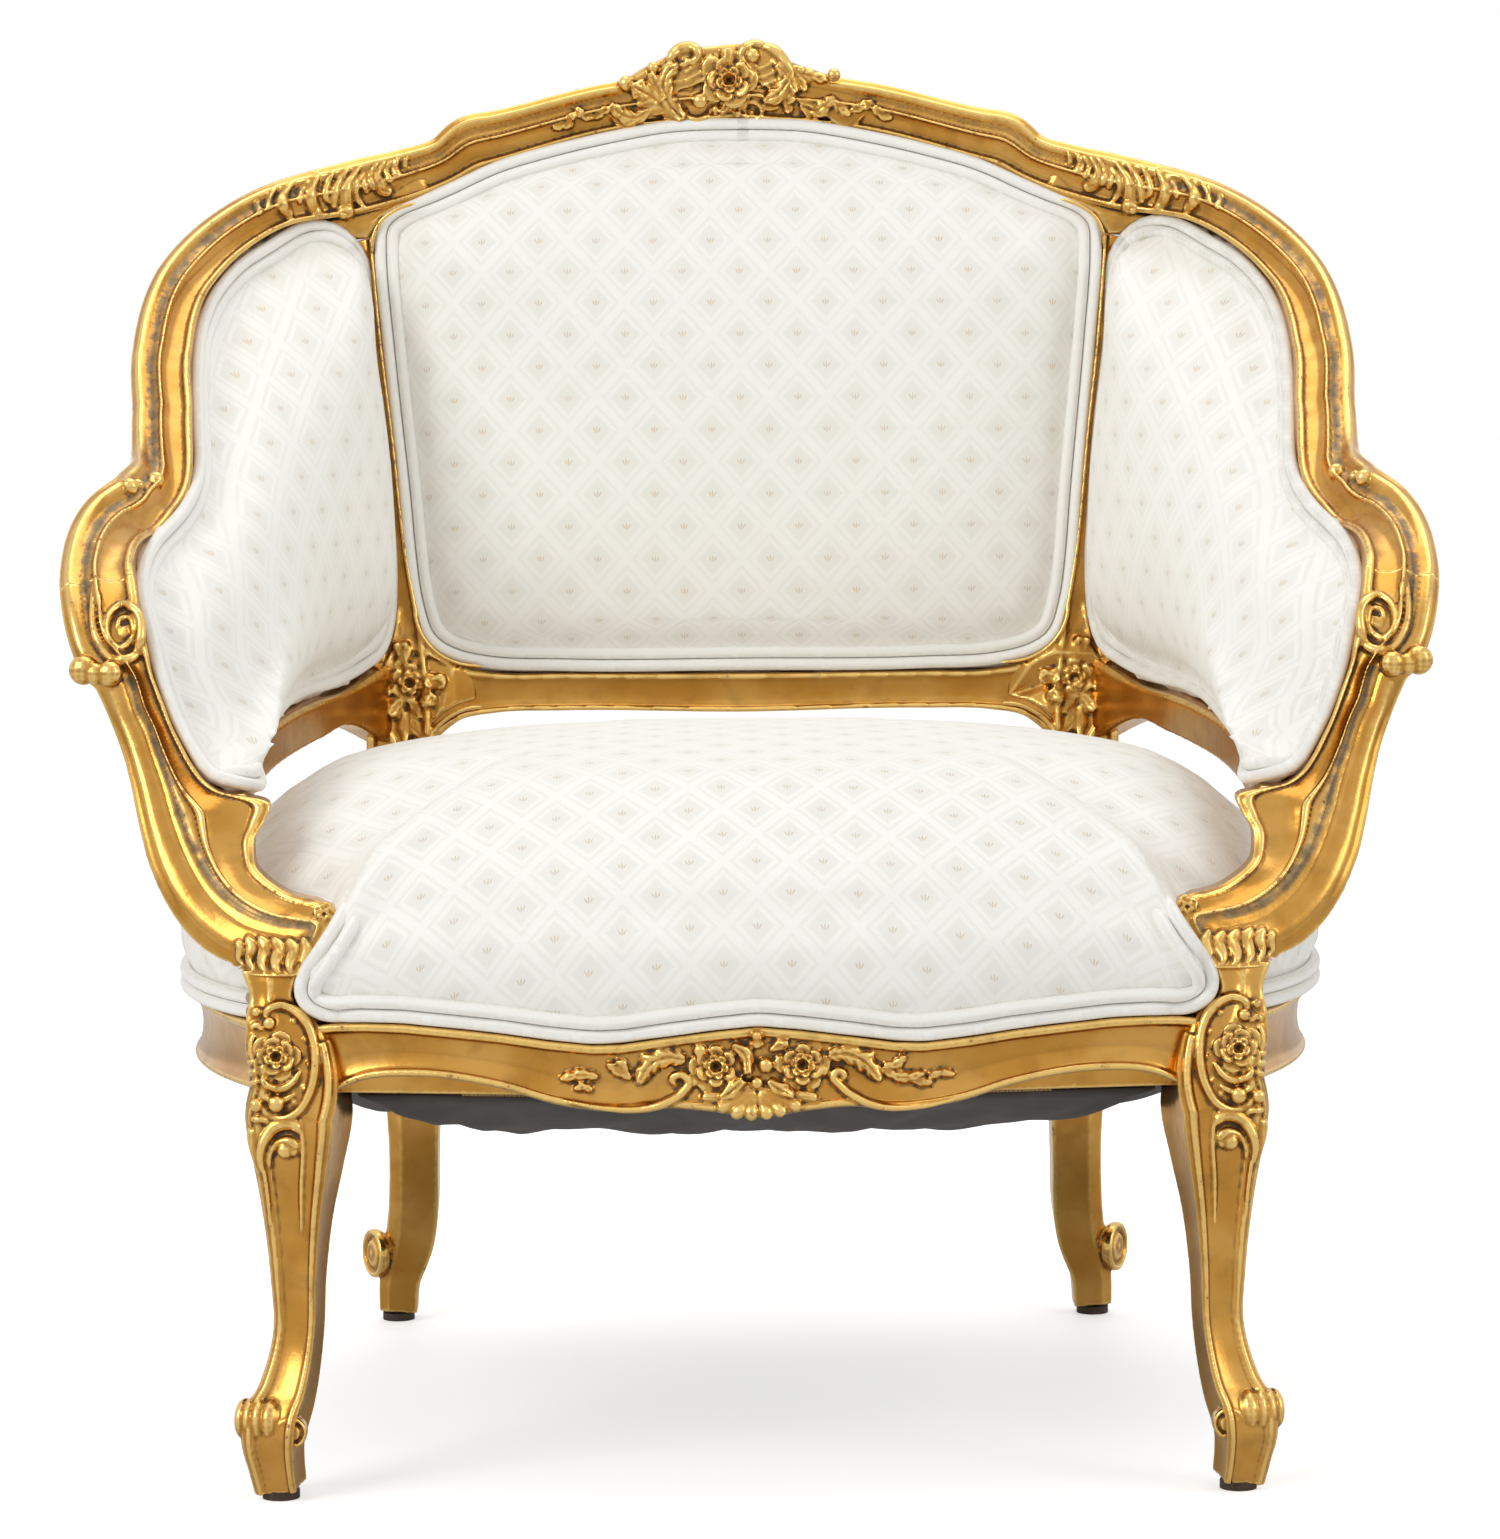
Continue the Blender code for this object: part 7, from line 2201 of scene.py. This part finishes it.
def make_show_wood():
    crest_line = worn_line(*frame_member(0, CREST_SEAM, 0))
    crest_worn = [(crest_line * (side, 1, 1), *CREST_WEAR) for _, side in SIDES]
    by_crest, by_wing = shoulder_ornament()
    shoulders = by_crest + [on_side(shell, -1) for shell in by_crest]
    crest = crest_shells() + crest_ornament() + shoulders
    carved("crest_carving", crest, "crest_rail", FINE_VOXEL, 174000, crest_worn)
    front = seat_rail_shells(front_rail_rows(), True) + apron_ornament()
    carved("front_rail_carving", front, "front_seat_rail", FINE_VOXEL, 136000)
    carved("lower_back_carving", lower_back_shells(), "lower_back_rail", PLAIN_VOXEL, 26000)
    on_arm, by_arm = arm_ornament()
    wing_line = worn_line(*frame_member(CREST_SEAM, ARM_SEAM))
    arm_line = np.vstack([worn_line(*arm_rows()), arm_fillet()])
    members = (
        ("wing", wing_shells() + by_wing + by_arm, "wing_rail", VOXEL, 104000, wing_line),
        ("arm", support_shells() + on_arm, "arm_support", FINE_VOXEL, 108000, arm_line),
        ("rear_post", stile_shells() + stile_ornament(), "rear_leg", POST_VOXEL, 92000, None),
        ("front_leg", leg_shells() + leg_ornament(), "front_leg", FINE_VOXEL, 114000, None),
        ("side_rail", side_rail_shells(), "side_seat_rail", PLAIN_VOXEL, 44000, None),
        ("lower_side", lower_side_shells(), "lower_side_rail", PLAIN_VOXEL, 26000, None),
    )
    for label, side in SIDES:
        for stem, shells, node, voxel, most, line in members:
            own = [on_side(shell, side) for shell in shells]
            worn = () if line is None else [(line * (side, 1, 1), *SIDE_WEAR)]
            carved(f"{stem}_carving_{label}", own, f"{node}_{label}", voxel, most, worn)


def crest_ornament():
    ground = Ground(crest_shells(), CREST_DEPTH)
    return ornament(ground, CREST_LEAVES, CREST_SCROLLS, CREST_BALLS, CREST_ROSES)


def apron_ornament():
    ground = Ground(seat_rail_shells(front_rail_rows(), True), APRON_DEPTH)
    return ornament(ground, APRON_LEAVES, APRON_SCROLLS, APRON_BALLS, APRON_ROSES)


def shoulder_ornament():
    """What is carved by the seam of crest and wing rail: on the crest, and on the wing rail."""
    ground = Ground(crest_shells() + wing_shells(), SHOULDER_DEPTH)
    made = ornament(ground, (), SHOULDER_FRONDS + SHOULDER_LINES, SHOULDER_BALLS, ())
    seam = curve(frame_rows())(CREST_SEAM)[0, 0]
    by_crest = [shell for shell in made if shell[0][:, 0].mean() >= seam]
    by_wing = [shell for shell in made if shell[0][:, 0].mean() < seam]
    return by_crest, by_wing


def arm_ornament():
    """What is carved on the arm support, and the balls over it on the wing rail."""
    ground = Ground(support_shells() + wing_shells(), ARM_DEPTH)
    on_arm = ornament(ground, (), ARM_SCROLLS + ARM_FLUTES, ARM_LOW_BALLS, ARM_ROSES)
    return on_arm, ornament(ground, (), (), ARM_TOP_BALLS, ())


def stile_ornament():
    ground = Ground(stile_shells(), STILE_DEPTH)
    made = ornament(ground, STILE_LEAVES, STILE_BEADS, (), STILE_ROSES)
    middle, along = np.array(REAR_SCROLL), unit(np.array(REAR_SCROLL_AXIS))
    return made + [turned(middle, along, np.cross(along, UP), UP, REAR_RINGS)]


def turned(centre, along, first, second, rings):
    """A turned shape: rings of distance along the axis and radius, in millimetres."""
    made = []
    for far, radius in rings:
        made.append([
            centre + (along * far + (first * math.cos(t) + second * math.sin(t)) * radius) / 1000
            for t in np.linspace(0, 2 * math.pi, 25)[:-1]
        ])
    return loft(made)


def foot_scroll():
    """The rolled scroll on the foot: a ribbed drum across it and a disc that ends it."""
    right = np.array((math.cos(LEG_TURN), -math.sin(LEG_TURN), 0))
    front = np.array((-math.sin(LEG_TURN), -math.cos(LEG_TURN), 0))
    drum = turned(np.array(FOOT_DRUM), right, front, UP, FOOT_RIBS)
    disc = turned(np.array(FOOT_DISC), FORWARD, np.array((1.0, 0, 0)), UP, FOOT_RINGS)
    return [drum, disc]


def leg_ornament():
    ground = Ground(leg_shells(), KNEE_DEPTH)
    made = ornament(ground, (), KNEE_SCROLLS, KNEE_BALLS, KNEE_ROSES) + foot_scroll()
    return made + pearls(ground, KNEE_PEARLS)


def dress_frame():
    """Finishes for the parts that the frame already shapes."""
    finishes = (
        ("rear_seat_rail", BEECH), ("corner_block", BEECH), ("seat_webbing", HEMP),
        ("seat_spring", STEEL), ("front_glide", GLIDE), ("rear_glide", GLIDE),
    )
    for name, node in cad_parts.items():
        for stem, finish in finishes:
            if name.startswith(stem):
                for slot in node.material_slots:
                    slot.material = finish


# Studio

def make_studio():
    bpy.ops.mesh.primitive_plane_add(size=60)
    floor = bpy.context.object
    floor.name = "studio_floor"
    finish = Finish("studio_floor", roughness=0.6)
    paper = finish.grain(0.4)
    colour = finish.mix(paper, tint(0.93, 0.93, 0.93), tint(0.94, 0.94, 0.94))
    seen = finish.node('ShaderNodeLightPath', output="Is Camera Ray")
    shine = finish.mix(seen, (0, 0, 0, 1), (FLOOR_LIFT, FLOOR_LIFT, FLOOR_LIFT, 1))
    finish.shader.inputs["Emission Strength"].default_value = 1
    floor.data.materials.append(finish.feed(base_color=colour, emission_color=shine))

    world = bpy.data.worlds.new("studio")
    bpy.context.scene.world = world
    world.use_nodes = True
    nodes = world.node_tree.nodes
    link = world.node_tree.links.new
    output = nodes["World Output"]
    lamp = nodes["Background"]
    white = nodes.new('ShaderNodeBackground')
    for light, level in ((lamp, WORLD_LEVEL), (white, 1)):
        light.inputs["Color"].default_value = (1, 1, 1, 1)
        light.inputs["Strength"].default_value = level
    path = nodes.new('ShaderNodeLightPath')
    seen = path.outputs["Is Camera Ray"]
    for ray in ("Is Glossy Ray", "Is Transmission Ray"):
        either = nodes.new('ShaderNodeMath')
        either.operation = 'MAXIMUM'
        link(seen, either.inputs[0])
        link(path.outputs[ray], either.inputs[1])
        seen = either.outputs[0]
    mix = nodes.new('ShaderNodeMixShader')
    link(seen, mix.inputs[0])
    link(lamp.outputs[0], mix.inputs[1])
    link(white.outputs[0], mix.inputs[2])
    link(mix.outputs[0], output.inputs["Surface"])

    for name, place, size, power in LAMPS:
        data = bpy.data.lights.new(name, 'AREA')
        data.shape = 'RECTANGLE'
        data.size, data.size_y = size
        data.energy = power
        lamp = bpy.data.objects.new(name, data)
        bpy.context.scene.collection.objects.link(lamp)
        lamp.location = place
        aim = Vector((0, 0, 0.45)) - Vector(place)
        lamp.rotation_euler = aim.to_track_quat('-Z', 'Y').to_euler()


WORLD_LEVEL = 0.53
FLOOR_LIFT = 0.50
LAMPS = (
    ("left_window", (-2.4, -2.2, 2.2), (1.6, 1.8), 44),
    ("right_window", (2.6, -1.6, 1.8), (1.2, 1.8), 15),
    ("overhead", (0.2, 0.4, 3.0), (2.2, 2.2), 24),
)


def make_camera():
    yaw, pitch, roll = CAMERA_YAW, CAMERA_PITCH, CAMERA_ROLL
    ahead = np.array((
        math.sin(yaw) * math.cos(pitch), math.cos(yaw) * math.cos(pitch), -math.sin(pitch)
    ))
    right = np.array((math.cos(yaw), -math.sin(yaw), 0))
    up = np.cross(right, ahead)
    rolled = math.cos(roll) * right + math.sin(roll) * up
    upright = -math.sin(roll) * right + math.cos(roll) * up
    aim = Matrix(np.column_stack([rolled, upright, -ahead]).tolist()).to_4x4()
    data = bpy.data.cameras.new("photograph")
    data.sensor_fit = 'AUTO'
    data.sensor_width = SENSOR
    data.lens = FOCAL_PIXELS / max(PHOTO_WIDE, PHOTO_TALL) * SENSOR
    camera = bpy.data.objects.new("photograph", data)
    bpy.context.scene.collection.objects.link(camera)
    camera.matrix_world = Matrix.Translation(CAMERA_PLACE) @ aim
    bpy.context.scene.camera = camera


bpy.context.scene.view_settings.view_transform = 'Standard'
make_camera()
make_studio()
make_show_wood()
make_pads()
make_seat()
make_dust_cover()
dress_frame()
